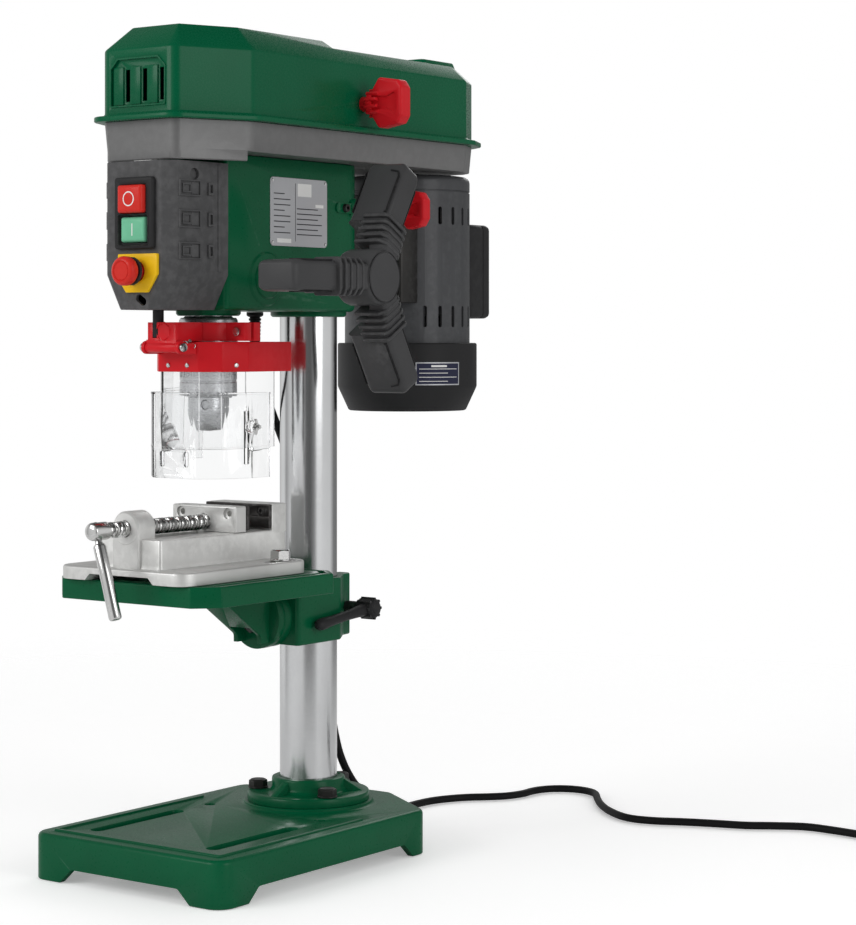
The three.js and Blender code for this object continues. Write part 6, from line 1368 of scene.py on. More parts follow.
def lid_forms():
    corners = belt_corners()
    tall = in_mm(sizes().lid_height)
    crease, slope, wall, flange, thick = 53.5, 20, 2.5, 8, 4
    step_front, step_rear, drop = -38, -30, 6
    skin = stack(corners, [(0, 0), (crease - 1.2, 0), (crease - 0.3, 0.25), (crease + 0.8, 1.0),
                           (tall - 0.8, slope - 1.0), (tall - 0.2, slope), (tall, slope + 1.4)], steps=8)
    lower = prism([(step_front, tall + 2), (step_rear, tall - drop, 2), (-step_rear + 160, tall - drop),
                   (-step_rear + 160, tall + 2)], -80, 80, "x", steps=5)
    bump = stack(rectangle(8, 96, 44, 142, 4), [(tall - drop - 14, -7), (tall - drop + 3.2, 0),
                                                (tall - drop + 4, 0.8)], steps=5)
    rise = stack(rectangle(-30, 10, 20, 44, 4), [(tall - drop - 1, -1), (tall - drop + 1.4, 0.6)], steps=4)
    inside = stack(corners, [(-2, wall), (crease - 1.2, wall), (tall - drop - wall - 1, slope + wall)])
    flange_levels = [(0, -flange + 0.6), (0.6, -flange), (thick - 1.0, -flange),
                     (thick - 0.3, -flange + 0.3), (thick, -flange + 1.2), (thick, -2.4),
                     (thick + 0.6, -1.0), (thick + 2, -0.2)]
    band = stack(corners, flange_levels, steps=8)
    knuckles = []
    for y in (-100, 90):
        knuckles.append(shaped([moved(rod(3.6, y, y + 12, "y", SIDES_SMALL), HINGE_X, 0, 2),
                                block((HINGE_X, y, 0.5), (-66, y + 12, 4.6))]))
    frame_out = [(-27, 11, 1), (27, 11, 1), (27, 39, 1), (20, 46, 1), (-20, 46, 1), (-27, 39, 1)]
    panel = prism(frame_out, -204, -199.4, "y", steps=3)
    bars = []
    for index in range(3):
        x = (index - 1) * 17 - 2.5
        bars.append(prism([(-201 + 0.2, 12), (-198, 12), (-198, 40), (-200.4, 40), (-201 + 0.2, 38.5)],
                          x - 4.6, x + 4.6, "x"))
    slots = [block(((index - 1) * 17 + 3.6, -203, 14), ((index - 1) * 17 + 7.8, -194, 38))
             for index in range(3)]
    hollow = [inside, moved(rod(3.3, 50, 66, "x"), 0, LID_KNOB_Y, LID_KNOB_RISE),
              moved(rod(2, -126, 126, "y", SIDES_SMALL), HINGE_X, 0, 2),
              block((HINGE_X - 8, -106.9, -2), (HINGE_X + 5.6, -99.7, 11)),
              block((HINGE_X - 8, 101.7, -2), (HINGE_X + 5.6, 108.9, 11))]
    outer = shaped([shaped([skin], [lower]), bump, rise, band, *knuckles], hollow)
    outer = shaped([outer], [panel])
    front = shaped([outer, *bars], slots)
    ridge = shaped([prism(frame_out, -201.7, -200.2, "y", -0.7, steps=3)],
                   [prism(frame_out, -204, -199, "y", 0.5, steps=3)])
    return [moved(form, 0, 0, LID_LOW) for form in (softened(front, 0.5), ridge)]


def wing_knob_forms(scale, screw):
    """A wing-headed moulded screw lying on x, its seat at zero: a ribbed hub and a tall wing."""
    stem, hub, start = 8, 10, 15
    long, half, tip, thick = 27 * scale, 20 * scale, 17 * scale, 13 * scale
    neck = laid(lathe([(0, GAP), (hub * 0.6, GAP), (hub * 0.6, stem + 0.5), (0, stem + 0.5)], SIDES_MEDIUM),
                "x")
    collar = laid(lathe([(0, stem), (hub - 1, stem), (hub, stem + 1), (hub, start - 1), (0, start)],
                        SIDES_MEDIUM), "x")
    rib = turned(block((stem + 0.5, -1, hub - 2), (start + 5, 1, hub + 1.4)), "x", 15)
    ribs = [turned(rib, "x", 30 * index) for index in range(12)]
    shape = [(start - 3, -half * 0.5, 2), (start + 4, -half, 3), (start + long - 4, -tip, 3),
             (start + long, -tip + 6, 3), (start + long, tip - 6, 3), (start + long - 4, tip, 3),
             (start + 4, half, 3), (start - 3, half * 0.5, 2)]
    wing = turned(stack(shape, eased(-thick / 2, thick / 2, 2.2, 2.2)), "x", 90)
    waist = [(start - 4, -half * 0.3, 3), (start + long * 0.45, -half * 0.24, 4),
             (start + long - 5, -tip * 0.55, 3), (start + long - 5, tip * 0.55, 3),
             (start + long * 0.45, half * 0.24, 4), (start - 4, half * 0.3, 3)]
    pockets = [turned(prism(waist, side * thick / 2 - 1.7, side * thick / 2 + 1.7), "x", 90)
               for side in (-1, 1)]
    head = softened(shaped([shaped([neck, collar, wing, *ribs], pockets)]), 0.4)
    bolt = rod(3, -screw, 1, "x", SIDES_SMALL, 0.5)
    return head, bolt


def belt_form():
    outer, middle = 27 - 6 + 0.4 + 5, HEAD_Z + HEAD_TALL + 5.5 + 3.5 * 13
    half_out, half_in, thick = 3.8, 2.05, 5
    steps = 40

    def loop(inset, z):
        radius = outer - inset
        ring = []
        for step in range(steps + 1):
            angle = math.pi + math.pi * step / steps
            ring.append((radius * math.cos(angle), SPINDLE_Y + radius * math.sin(angle), z))
        for step in range(steps + 1):
            angle = math.pi * step / steps
            ring.append((radius * math.cos(angle), MOTOR_Y + radius * math.sin(angle), z))
        return ring

    rings = [loop(thick, middle - half_in), loop(0.4, middle - half_out), loop(0, middle - half_out + 0.5),
             loop(0, middle + half_out - 0.5), loop(0.4, middle + half_out), loop(thick, middle + half_in)]
    return loft(rings, closed=True)


def pulley_form(radii, bore, drop):
    low = HEAD_Z + HEAD_TALL + 5.5
    profile = [(bore, low - drop), (bore + 5, low - drop), (bore + 5, low)]
    for index, radius in enumerate(radii):
        base = low + index * 13
        middle = base + 6.5
        profile += [(radius - 0.6, base), (radius, base + 0.6), (radius, base + 1.8),
                    (radius - 0.4, base + 2.4), (radius - 6, middle - 2.2), (radius - 6, middle + 2.2),
                    (radius - 0.4, base + 10.6), (radius, base + 11.2), (radius, base + 12.4),
                    (radius - 0.6, base + 13)]
    profile.append((bore, low + 13 * len(radii)))
    return lathe(profile, SIDES_FINE, True)


def spline_form(extra, low, high):
    points = []
    for tooth in range(6):
        for shift, radius in ((-0.3, 8.5), (0.3, 8.5), (0.36, 7.4), (0.64, 7.4)):
            angle = math.radians(60 * (tooth + shift))
            points.append(((radius + extra) * math.cos(angle), (radius + extra) * math.sin(angle)))
    return prism(points, low, high)


def build_head_unit():
    add_piece("head_shell", [(head_form(), "casting paint")], "machine", ["head_casting"])
    add_piece("head_grub_screw", [(lock_screw_form(), "dark steel")], "machine",
              ["head_lock_screw"])
    plate, lines, fields, rivets = rating_plate_forms()
    add_piece("data_plate", [(plate, "label silver"), (lines, "label print"), (fields, "white print"),
                             (rivets, "bright plating")], "machine")
    add_piece("switch_housing", [(form, "housing moulding") for form in housing_forms()], "machine",
              ["front_housing"])
    add_piece("switch_frame", [(form, "black moulding") for form in bezel_forms()], "machine",
              ["switch_bezel"])
    add_piece("emergency_plate", [(estop_plate_form(), "yellow plate")], "machine")
    add_piece("belt_tray", [(pan_form(), "pan paint")], "machine", ["belt_pan"])
    add_piece("belt_cover", [(form, "lid moulding") for form in lid_forms()], "lid_body",
              ["belt_lid"])
    pin = moved(rod(1.8, -112, 114, "y", SIDES_SMALL, 0.3), HINGE_X, 0, HINGE_Z)
    add_piece("cover_hinge_pin", [(pin, "bright plating")], "machine", ["lid_hinge_pin"])
    head, bolt = wing_knob_forms(1.0, 12)
    add_piece("cover_wing_screw", [(moved(head, 62, LID_KNOB_Y, LID_LOW + LID_KNOB_RISE), "guard moulding"),
                                   (moved(bolt, 62, LID_KNOB_Y, LID_LOW + LID_KNOB_RISE),
                                    "bright plating")], "lid_knob_body", ["lid_knob"])
    head, bolt = wing_knob_forms(0.8, 8)
    add_piece("motor_wing_screw", [(moved(head, 44, LOCK_KNOB_Y, LOCK_Z), "guard moulding"),
                                   (moved(bolt, 44, LOCK_KNOB_Y, LOCK_Z), "bright plating")],
              "lock_knob_body", ["motor_lock_knob"])
    add_piece("drive_vee_belt", [(belt_form(), "belt rubber")], "machine", ["drive_belt"])
    bore = spline_form(GAP, HEAD_Z + 100, HEAD_Z + 200)
    cone = shaped([pulley_form([39, 35, 31, 27], 3.7, 13.5)], [bore])
    add_piece("spindle_cone", [(moved(cone, 0, SPINDLE_Y, 0), "milled alloy")], "pulley_body",
              ["spindle_pulley"])
    add_piece("motor_cone", [(moved(pulley_form([15, 19, 23, 27], 6.3, 2), 0, MOTOR_Y, 0), "milled alloy")],
              "rotor_body", ["motor_pulley"])


# Quill, spindle, chuck and feed

RACK_MODULE = 1.25
RACK_TEETH = 18
RACK_LEAD = 2
PINION_TEETH = 16


def rack_cutter():
    """The comb that cuts the gaps between the quill's rack teeth, in mesh with the pinion."""
    pitch_line = 26 - RACK_MODULE * PINION_TEETH / 2
    root, tip = pitch_line - 1.25 * RACK_MODULE, pitch_line + RACK_MODULE
    pitch, slope = math.pi * RACK_MODULE, math.tan(math.radians(20))
    half, reach = pitch / 4 + 0.15, 40
    comb = []
    for gap in range(RACK_TEETH):
        z = FEED_Z + (gap - RACK_LEAD) * pitch
        wide, narrow = half + RACK_MODULE * slope, half - 1.25 * RACK_MODULE * slope
        comb += [(tip, z - wide), (root, z - narrow), (root, z + narrow), (tip, z + wide)]
    comb += [(reach, comb[-1][1]), (reach, comb[0][1])]
    return prism(comb, -19, 19, "x")


def pinion_form():
    radius = RACK_MODULE * PINION_TEETH / 2
    base = radius * math.cos(math.radians(20))
    tip, root = radius + RACK_MODULE * 0.92, radius - 1.25 * RACK_MODULE

    def involute(value):
        angle = math.acos(min(base / value, 1))
        return math.tan(angle) - angle

    half = math.pi / (2 * PINION_TEETH) - 0.3 / (2 * radius) + involute(radius)
    flank = [root, (root + radius) / 2, radius, (radius + tip) / 2, tip]
    points = []
    for tooth in range(PINION_TEETH):
        middle = 2 * math.pi * tooth / PINION_TEETH + math.pi
        for side, radii in ((-1, flank), (1, flank[::-1])):
            for value in radii:
                angle = middle + side * (half - involute(max(value, base)))
                points.append((value * math.cos(angle), value * math.sin(angle)))
    shaft = rod(6, -60, 127.4, "x", SIDES_MEDIUM, 0.5)
    return moved(shaped([prism(points, -6, 6, "x"), shaft]), 0, FEED_Y, FEED_Z)


def handle_forms():
    """The three-armed feed handle, drawn with its face at x zero and its hub on the x axis."""
    depth, hub, cap = 36, 21, 19.3
    profile = [(0, -depth), (hub * 0.72, -depth), (hub * 0.8, -depth + 1), (hub - 0.6, -depth + 5),
               (hub, -depth + 7), (hub, -3), (hub - 0.8, -1.2), (hub - 1.5, -0.3), (cap + 0.2, 0),
               (cap - 0.2, -1.1), (0, -1.1)]
    core = laid(lathe(profile, SIDES_LARGE), "x")
    disc = laid(lathe([(0, -2), (18, -2), (18, 0.1), (17.4, 0.7), (16.4, 0.9), (0, 1.2)], SIDES_LARGE), "x")
    half, sweep, grip = 11.5, 8, 36
    solids, plates = [], []
    for index in range(3):
        way = 90 + 120 * index
        neck_rings = []
        for share in (0.0, 0.2, 0.4, 0.6, 0.8, 1.0):
            along_arm = hub * 0.35 + share * (48 - hub * 0.35)
            back = sweep * share * share
            wide = 8.6 + 2.9 * share
            deep = 15 + 21 * max(0, share - 0.3)
            ring = outline(rectangle(-back - deep, -wide, -back, wide, 3.2), steps=4)
            neck_rings.append([(x, y, along_arm) for x, y in ring])
        neck = loft(neck_rings)
        levels = [(43, -1.0), (45, 0.2), (50, 0), (88, 0), (91.5, 0.8), (93.8, 2.4), (94.8, 4.2), (95, 5.6)]
        tip = []
        for height, inset in levels:
            share = (height - 43) / 52
            back = sweep - 1.4 * math.sin(math.pi * min(1, share))
            ring = outline(rectangle(-back - grip, -half, -back, half, 5.2), inset * 0.62, steps=6)
            tip.append([(x, y, height) for x, y in ring])
        grip_form = loft(tip)
        solids.append(turned(shaped([neck, grip_form]), "x", way))
        fin_ring = []
        for number in range(5):
            height, proud = hub + 1.6 + number * 5.6, half + 2.6
            fin = stack([(-29, -proud, 2), (-5, -proud, 3), (-0.9 - number * 0.9, -half + 2.6, 2),
                         (-0.9 - number * 0.9, half - 2.6, 2), (-5, proud, 3), (-29, proud, 2)],
                        [(height, 0.4), (height + 0.4, 0), (height + 2, 0), (height + 2.4, 0.4)], steps=4)
            fin_ring.append(fin)
        solids.append(turned(joined(*fin_ring), "x", way))
        band = stack(rectangle(-sweep - grip - 0.25, -half + 1.4, -sweep - grip + 1.2, half - 1.4, 0.5),
                     [(52, 0.4), (53, 0), (86, 0), (87, 0.4)], steps=3)
        plates.append(turned(band, "x", way))
        for side in (-1, 1):
            rib_points = [(-12, 50), (-9.6, 50), (-9.2, 82), (-11.4, 86.4), (-19, 88), (-19, 86.8),
                          (-12, 85.4), (-10.4, 81.6), (-10.8, 51.2), (-12, 51.2)]
            edge_rib = prism(rib_points, side * half - 0.6, side * half + 0.5, "y")
            plates.append(turned(edge_rib, "x", way))
    body = shaped([core, *[form for form in solids[0::2]]])
    body = shaped([body], [rod(6.3, -depth - 2, -depth * 0.6 + GAP, "x")])
    fins = joined(*solids[1::2])
    return [softened(body, 0.9, 3), fins, joined(*plates), disc]


def spring_cap_forms():
    depth, radius = 18, 22
    body = lathe([(6.3, depth - 2), (radius - 2, depth - 2), (radius - 2, 0), (radius - 0.5, 0),
                  (radius, 0.5), (radius, depth - 3), (radius - 0.9, depth - 0.9), (radius - 3, depth),
                  (11, depth), (6.3, depth)], SIDES_LARGE, True)
    notch = prism(rectangle(-2, -radius - 1, 2, -radius + 2.4), -1, 4)
    notches = ring_of(notch, 3, "black moulding")
    body = shaped([body], [notches])
    ribs = ring_of(prism(rectangle(-0.9, -radius - 0.5, 0.9, -radius + 1, 0.4), 5, depth - 4, steps=2), 18,
                   "black moulding")
    face = -HEAD_HALF - 3.5 - GAP

    def set_out(form):
        points, faces = form
        return [(face - z, y + FEED_Y, x + FEED_Z) for x, y, z in points], faces

    return set_out(softened(body, 0.4)), set_out(ribs)


def quill_form():
    radius, collar, low, high = 18, 22.4, HEAD_Z - 25, HEAD_Z + 98
    seat = 15
    profile = [(9.4, low + 10.3), (seat, low + 10.3), (seat, low), (collar - 1, low), (collar, low + 1),
               (collar, low + 17.5), (collar - 1.2, low + 19.5), (radius + 1.2, low + 19.5),
               (radius, low + 20.6), (radius, high - 1), (radius - 1, high), (seat, high),
               (seat, high - 10.3), (9.4, high - 10.3)]
    return moved(shaped([lathe(profile, SIDES_LARGE, True)], [rack_cutter()]), 0, SPINDLE_Y, 0)


def spindle_form():
    low, high = HEAD_Z - 50, HEAD_Z + 102
    body = lathe([(0, low), (7.6, low), (7.9, low + 0.4), (7.9, HEAD_Z - 26), (8.4, HEAD_Z - 23),
                  (8.4, high), (0, high)], SIDES_FINE)
    return moved(joined(body, spline_form(0, high - 4, HEAD_Z + HEAD_TALL + 63.5)), 0, SPINDLE_Y, 0)


def bearing_forms(low):
    rings = [ring_bar(12.4, 14.9, low, low + 10), ring_bar(8.5, 10.4, low, low + 10),
             ring_bar(10.2, 12.6, low + 1.2, low + 8.8)]
    return moved(joined(*rings), 0, SPINDLE_Y, 0)


JAW_TOP = HEAD_Z - 63
JAW_SLOPE = 15.5


def jaw_bar(radius, start, end, sides=SIDES_SMALL):
    return moved(turned(rod(radius, -end, -start, sides=sides), "y", JAW_SLOPE), 10.6, 0, JAW_TOP)


def chuck_forms():
    top, bottom, under = HEAD_Z - 28, HEAD_Z - 89, HEAD_Z - 65
    upper, lower, nose = 17.3, 14.6, 9.6
    profile = [(0, bottom), (nose - 0.5, bottom), (nose, bottom + 0.5), (nose + 1.3, bottom + 2.2),
               (lower * 0.86, bottom + 5.4), (lower * 0.94, bottom + 9), (lower * 0.985, bottom + 11.5),
               (lower, bottom + 14), (lower, under - 1.5), (upper, under - 0.5), (upper, top - 2),
               (upper - 0.6, top - 0.6), (upper - 2, top), (0, top)]
    ring_grooves = lathe([(lower - 0.5, bottom + 15), (lower + 1, bottom + 14.6),
                          (lower + 1, bottom + 16.2), (lower - 0.5, bottom + 15.8)], SIDES_LARGE, True)
    length = (bottom - JAW_TOP) * -1.2
    bores = around(3, lambda: jaw_bar(3.5, 0, length))
    keys = around(3, lambda: turned(moved(rod(3, lower - 4, lower + 2, "x", SIDES_SMALL), 0, 0,
                                          HEAD_Z - 71.5), "z", 60))
    eases = around(3, lambda: turned(moved(laid(lathe([(0, lower - 0.8), (3, lower - 0.8),
                                                       (4.2, lower + 0.8),
                                                       (0, lower + 0.8)], SIDES_SMALL), "x"), 0, 0,
                                           HEAD_Z - 71.5), "z", 60))
    body = shaped([lathe(profile, SIDES_LARGE)], [*bores, *keys, *eases, rod(8.2, HEAD_Z - 50.3, top + 2),
                                                  rod(6.6, bottom - 2, JAW_TOP + 1), ring_grooves])
    return moved(body, 0, SPINDLE_Y, 0)


def sleeve_form():
    low, high, bore, radius = HEAD_Z - 65, HEAD_Z - 30, 17.7, 21.5
    body = lathe([(bore, low), (radius - 0.8, low), (radius, low + 0.8), (radius, low + 9),
                  (radius - 0.4, low + 9.4), (radius - 0.4, low + 10.4), (radius, low + 10.8),
                  (radius, high - 3.2), (radius - 1.2, high - 1.2), (radius - 3, high),
                  (bore, high)], SIDES_LARGE, True)
    count = sizes().sleeve_notches
    notch = prism([(-1.2, low - 1), (1.2, low - 1), (0.7, low + 3, 0.5), (-0.7, low + 3, 0.5)], bore - 2,
                  radius + 2, "y", steps=2)
    flute = prism(rectangle(-0.55, radius - 0.35, 0.55, radius + 2), low + 13, high - 5)
    notches = ring_of(notch, count, "turned steel")
    flutes = ring_of(flute, 3 * count, "turned steel")
    return moved(shaped([body], [notches, flutes]), 0, SPINDLE_Y, 0)


def jaw_form(index):
    stroke_edge = 6 * math.sin(math.radians(JAW_SLOPE)) + GAP / 2
    deep = 10.6 + 6.3
    wide = (deep - stroke_edge) * math.tan(math.pi / 3)
    wedge = prism([(stroke_edge, 0), (deep, -wide), (deep, wide)], HEAD_Z - 178, HEAD_Z)
    jaw = common(jaw_bar(3.15, 2.4, 23.4, SIDES_MEDIUM), wedge)
    return moved(turned(jaw, "z", 120 * index), 0, SPINDLE_Y, 0)


def build_feed():
    add_piece("feed_pinion", [(pinion_form(), "turned steel")], "feed_body",
              ["feed_pinion_shaft"])
    body, fins, plates, disc = handle_forms()
    place = (149, FEED_Y, FEED_Z)
    finishes = ("handle moulding", "handle moulding", "grip moulding", "handle moulding")
    add_piece("feed_lever", [(moved(form, *place), finish) for form,
                             finish in zip((body, fins, plates, disc), finishes)], "feed_body",
              ["feed_handle"])
    cap, ribs = spring_cap_forms()
    add_piece("spring_housing", [(cap, "black moulding"), (ribs, "black moulding")], "machine",
              ["return_spring_cap"])


def build_spindle():
    add_piece("quill_tube", [(quill_form(), "turned steel")], "quill_body", ["quill"])
    for name, low in (("quill_bearing_lower", HEAD_Z - 25), ("quill_bearing_upper", HEAD_Z + 88)):
        ball_race = bearing_forms(low + 0.1)
        add_piece(name + "_race", [(ball_race, "turned steel")], "quill_body", [name])
    add_piece("spindle_bar", [(spindle_form(), "turned steel")], "spindle_body",
              ["spindle"])
    add_piece("chuck_core", [(chuck_forms(), "turned steel")], "spindle_body",
              ["chuck_body"])
    add_piece("chuck_ring", [(sleeve_form(), "turned steel")], "sleeve_body",
              ["chuck_sleeve"])
    for index in range(3):
        add_piece(f"chuck_finger_{index + 1}", [(jaw_form(index), "jaw steel")], f"jaw_body_{index + 1}",
                  [f"chuck_jaw_{index + 1}"])


# Chuck guard and depth rod

GUARD_Y = SPINDLE_Y - 51
GUARD_Z = HEAD_Z - 28


def guard_corners():
    return mirrored([(19.6, -157, 2.5), (33, -143.6, 2.5), (40, -122, 3), (40, -71, 0)])


def guard_wall(outer_inset, wall, low, high, rear, ease=0.3):
    """A wall of the guard, open at the rear, drawn in from the guard's plan by an inset."""
    corners = guard_corners()
    levels = [(height, inset + outer_inset) for height, inset in eased(low, high, ease, ease, 2)]
    inner = prism(corners, low - OVERRUN, high + OVERRUN, inset=outer_inset + wall, steps=6)
    behind = block((-90, rear, low - 4), (90, 0, high + 4))
    return shaped([stack(corners, levels, steps=6)], [inner, behind])


def guard_clamp_forms():
    low, high = HEAD_Z - 23.2, HEAD_Z - 9.2
    middle = (low + high) / 2
    band = moved(ring_bar(22.7, 27, low, high, SIDES_LARGE), 0, SPINDLE_Y, 0)
    ears = block((24, SPINDLE_Y - 9, low), (44, SPINDLE_Y + 9, high))
    foot = prism([(-15, GUARD_Y - 2, 2), (15, GUARD_Y - 2, 2), (15, SPINDLE_Y - 24.4),
                  (-15, SPINDLE_Y - 24.4)], low, high, steps=4)
    ear = block((-15, GUARD_Y - 2.5, GUARD_Z), (15, GUARD_Y + 2.5, low + 1))
    eye = moved(rod(4, -15, 15, "x"), 0, GUARD_Y, GUARD_Z)
    slot = block((20, SPINDLE_Y - 1.5, low - 2), (48, SPINDLE_Y + 1.5, high + 2))
    cuts = [slot, moved(rod(1.9, -17, 17, "x", SIDES_SMALL), 0, GUARD_Y, GUARD_Z),
            moved(rod(4.5, HEAD_Z - 21, high + 2), DEPTH_ROD_X, DEPTH_ROD_Y, 0),
            moved(rod(2, SPINDLE_Y - 12, SPINDLE_Y + 12, "y", SIDES_SMALL), 37, 0, middle),
            moved(rod(22.7, low - 2, high + 2, sides=SIDES_LARGE), 0, SPINDLE_Y, 0),
            moved(turned(rod(7.8, 0, 1.2, sides=6), "x", 90), 2, SPINDLE_Y - 52.4, middle)]
    body = softened(shaped([band, ears, foot, ear, eye], cuts), 0.6)
    nut = facing_front(lathe([(0, 0), (7.3, 0), (7.5, 0.3), (7.5, 0.5), (6.4, 1.4), (0, 1.4)], 6), 0)
    nut = moved(turned(nut, "y", 30), 2, GUARD_Y - 0.6, middle)
    bolt = moved(rod(1.8, SPINDLE_Y - 12, SPINDLE_Y + 10.5, "y", SIDES_SMALL), 37, 0, middle)
    head = moved(facing_front(socket_screw(3.2, 2.6, 1.4), SPINDLE_Y - 9), 37, 0, middle)
    return body, nut, joined(bolt, head)


def guard_frame_forms():
    low, high = HEAD_Z - 46.5, HEAD_Z - 23.8
    wall = guard_wall(0, 2.4, low, high, -71, 0.5)
    arms = []
    for side in (-1, 1):
        x0 = 15.3 if side > 0 else -18.3
        arms.append(moved(rod(5, x0, x0 + 3, "x", SIDES_MEDIUM, 0.5), 0, GUARD_Y, GUARD_Z))
        arms.append(block((x0, GUARD_Y, GUARD_Z - 5), (x0 + 3, -154.6, GUARD_Z + 3)))
    body = shaped([wall, *arms], [moved(rod(1.9, -22, 22, "x", SIDES_SMALL), 0, GUARD_Y, GUARD_Z)])
    rivets = []
    for x, y, way in ((9.5, -157.1, 0), (-9.5, -157.1, 0), (36.6, -132, 72), (-36.6, -132, -72)):
        rivet = facing_front(lathe([(0, -0.6), (1.9, -0.6), (1.9, 0.3), (1.4, 0.9), (0, 1.1)], SIDES_SMALL),
                             0)
        rivets.append(moved(turned(rivet, "z", way), x, y, low + 5))
    return softened(body, 0.5), joined(*rivets)


def guard_pin_forms():
    heads = []
    for side in (-1, 1):
        head = lathe([(0, 0), (3.2, 0), (3.4, 0.3), (3.4, 1.8), (2.8, 2.6), (0, 2.9)], SIDES_MEDIUM)
        head = turned(head, "y", 90 * side)
        heads.append(moved(head, side * 18.9, GUARD_Y, GUARD_Z))
    pin = moved(rod(1.6, -20, 20, "x", SIDES_SMALL), 0, GUARD_Y, GUARD_Z)
    return joined(pin, *heads)


def spring_form(start, end, radius=1.9, wire=0.34):
    """A close-wound pull spring between two points, with a hooked end."""
    start, end = Vector(start), Vector(end)
    way = (end - start).normalized()
    run = (end - start).length
    side_way = way.orthogonal().normalized()
    other = way.cross(side_way)
    turns = int(run / (2.25 * wire))
    steps = turns * 12
    path = []
    for step in range(steps + 1):
        angle = 2 * math.pi * turns * step / steps
        reach = radius * (side_way * math.cos(angle) + other * math.sin(angle))
        path.append(start + way * run * step / steps + reach)
    hook = [end + way * (1.2 + 1.9 * (1 - math.cos(a))) + side_way * 1.9 * math.sin(a)
            for a in [2 * math.pi * step / 20 for step in range(19)]]
    coil = tube(path, wire, 6)
    return joined(coil, tube(hook, wire * 1.1, 8))


def shield_forms():
    return softened(guard_wall(2.7, 1.8, HEAD_Z - 104, HEAD_Z - 27, -88, 0.3), 0.25)


def outer_shield_form():
    low, high = HEAD_Z - 126.5, HEAD_Z - 62
    wall = guard_wall(-4.4, 1.8, low, high, -102, 0.4)
    ridge = guard_wall(-4.9, 0.7, HEAD_Z - 103.6, HEAD_Z - 102.8, -102, 0.1)
    lip = guard_wall(-4.9, 1.6, high - 1.6, high, -102, 0.3)
    slots = [block((-90, -128.7, HEAD_Z - 116), (90, -125.3, HEAD_Z - 76)),
             *[prism(rectangle(x - 1.7, HEAD_Z - 118, x + 1.7, HEAD_Z - 106, 1.6), -180, -150, "y")
               for x in (-12, 12)]]
    bosses = []
    for side in (-1, 1):
        x0, x1 = (37.6, 44.4) if side > 0 else (-44.4, -37.6)
        bosses.append(moved(rod(4.4, x0, x1, "x", SIDES_MEDIUM), 0, SHIELD_SCREW_Y, SHIELD_SCREW_Z))
    return softened(shaped([wall, lip, ridge, *bosses], slots), 0.25)


def shield_screw_forms():
    forms = []
    for side in (-1, 1):
        stud = rod(1.4, 43, 50, "x", SIDES_SMALL)
        wing = turned(stack([(-6, -1.0, 1), (-2, -2.4), (2, -2.4), (6, -1.0, 1), (6, 1.0, 1), (2, 2.4),
                             (-2, 2.4),
                             (-6, 1.0, 1)], [(0, 0.3), (0.3, 0), (1.5, 0), (1.8, 0.3)], steps=3), "y", 90)
        hub = laid(lathe([(0, 0), (2.8, 0), (2.6, 3.2), (0, 3.4)], SIDES_SMALL), "x")
        made = joined(stud, moved(wing, 44.6, 0, 0), moved(hub, 44.5, 0, 0))
        if side < 0:
            made = flipped(made, "x")
        forms.append(moved(made, 0, SHIELD_SCREW_Y, SHIELD_SCREW_Z))
    return joined(*forms)


def depth_rod_forms():
    low, high = HEAD_Z - 20.7, HEAD_Z + 70
    rod_form = rod(4.2, low, high, sides=SIDES_MEDIUM, ease=0.6)
    nut = lathe([(0, HEAD_Z + 54), (7.4, HEAD_Z + 54), (8, HEAD_Z + 54.6), (8, HEAD_Z + 63.4),
                 (7.4, HEAD_Z + 64), (0, HEAD_Z + 64)], SIDES_MEDIUM)
    marks = moved(row_of(ring_bar(4.1, 4.28, 0, 0.35, SIDES_SMALL, 0.05), 9, (0, 0, 5), "white print"), 0,
                  0, HEAD_Z + 5)
    return [moved(form, DEPTH_ROD_X, DEPTH_ROD_Y, 0) for form in (rod_form, nut, marks)]


def build_guard():
    body, nut, bolt = guard_clamp_forms()
    add_piece("guard_collar", [(body, "guard moulding"), (nut, "guard moulding"), (bolt, "bright plating")],
              "quill_body", ["guard_clamp"])
    rod_form, nut, marks = depth_rod_forms()
    add_piece("depth_stop_rod", [(rod_form, "black moulding"), (nut, "black moulding"),
                                 (marks, "white print")], "quill_body", ["depth_rod"])
    add_piece("guard_pin", [(guard_pin_forms(), "bright plating")], "quill_body",
              ["guard_hinge_pin"])
    frame_form, rivets = guard_frame_forms()
    add_piece("guard_yoke", [(frame_form, "guard moulding"), (rivets, "bright plating")], "guard_body",
              ["guard_frame"])
    spring = spring_form((3.2, -163.6, HEAD_Z - 11.5), (15, -159.8, HEAD_Z - 24.6))
    add_piece("guard_springs", [(spring, "bright plating")], "guard_body")
    add_piece("shield_upper", [(shield_forms(), "clear plastic")], "guard_body",
              ["inner_shield"])
    add_piece("shield_lower", [(outer_shield_form(), "clear plastic")], "outer_guard_body",
              ["outer_shield"])
    add_piece("shield_wing_screws", [(shield_screw_forms(), "bright plating")], "outer_guard_body")


# Motor

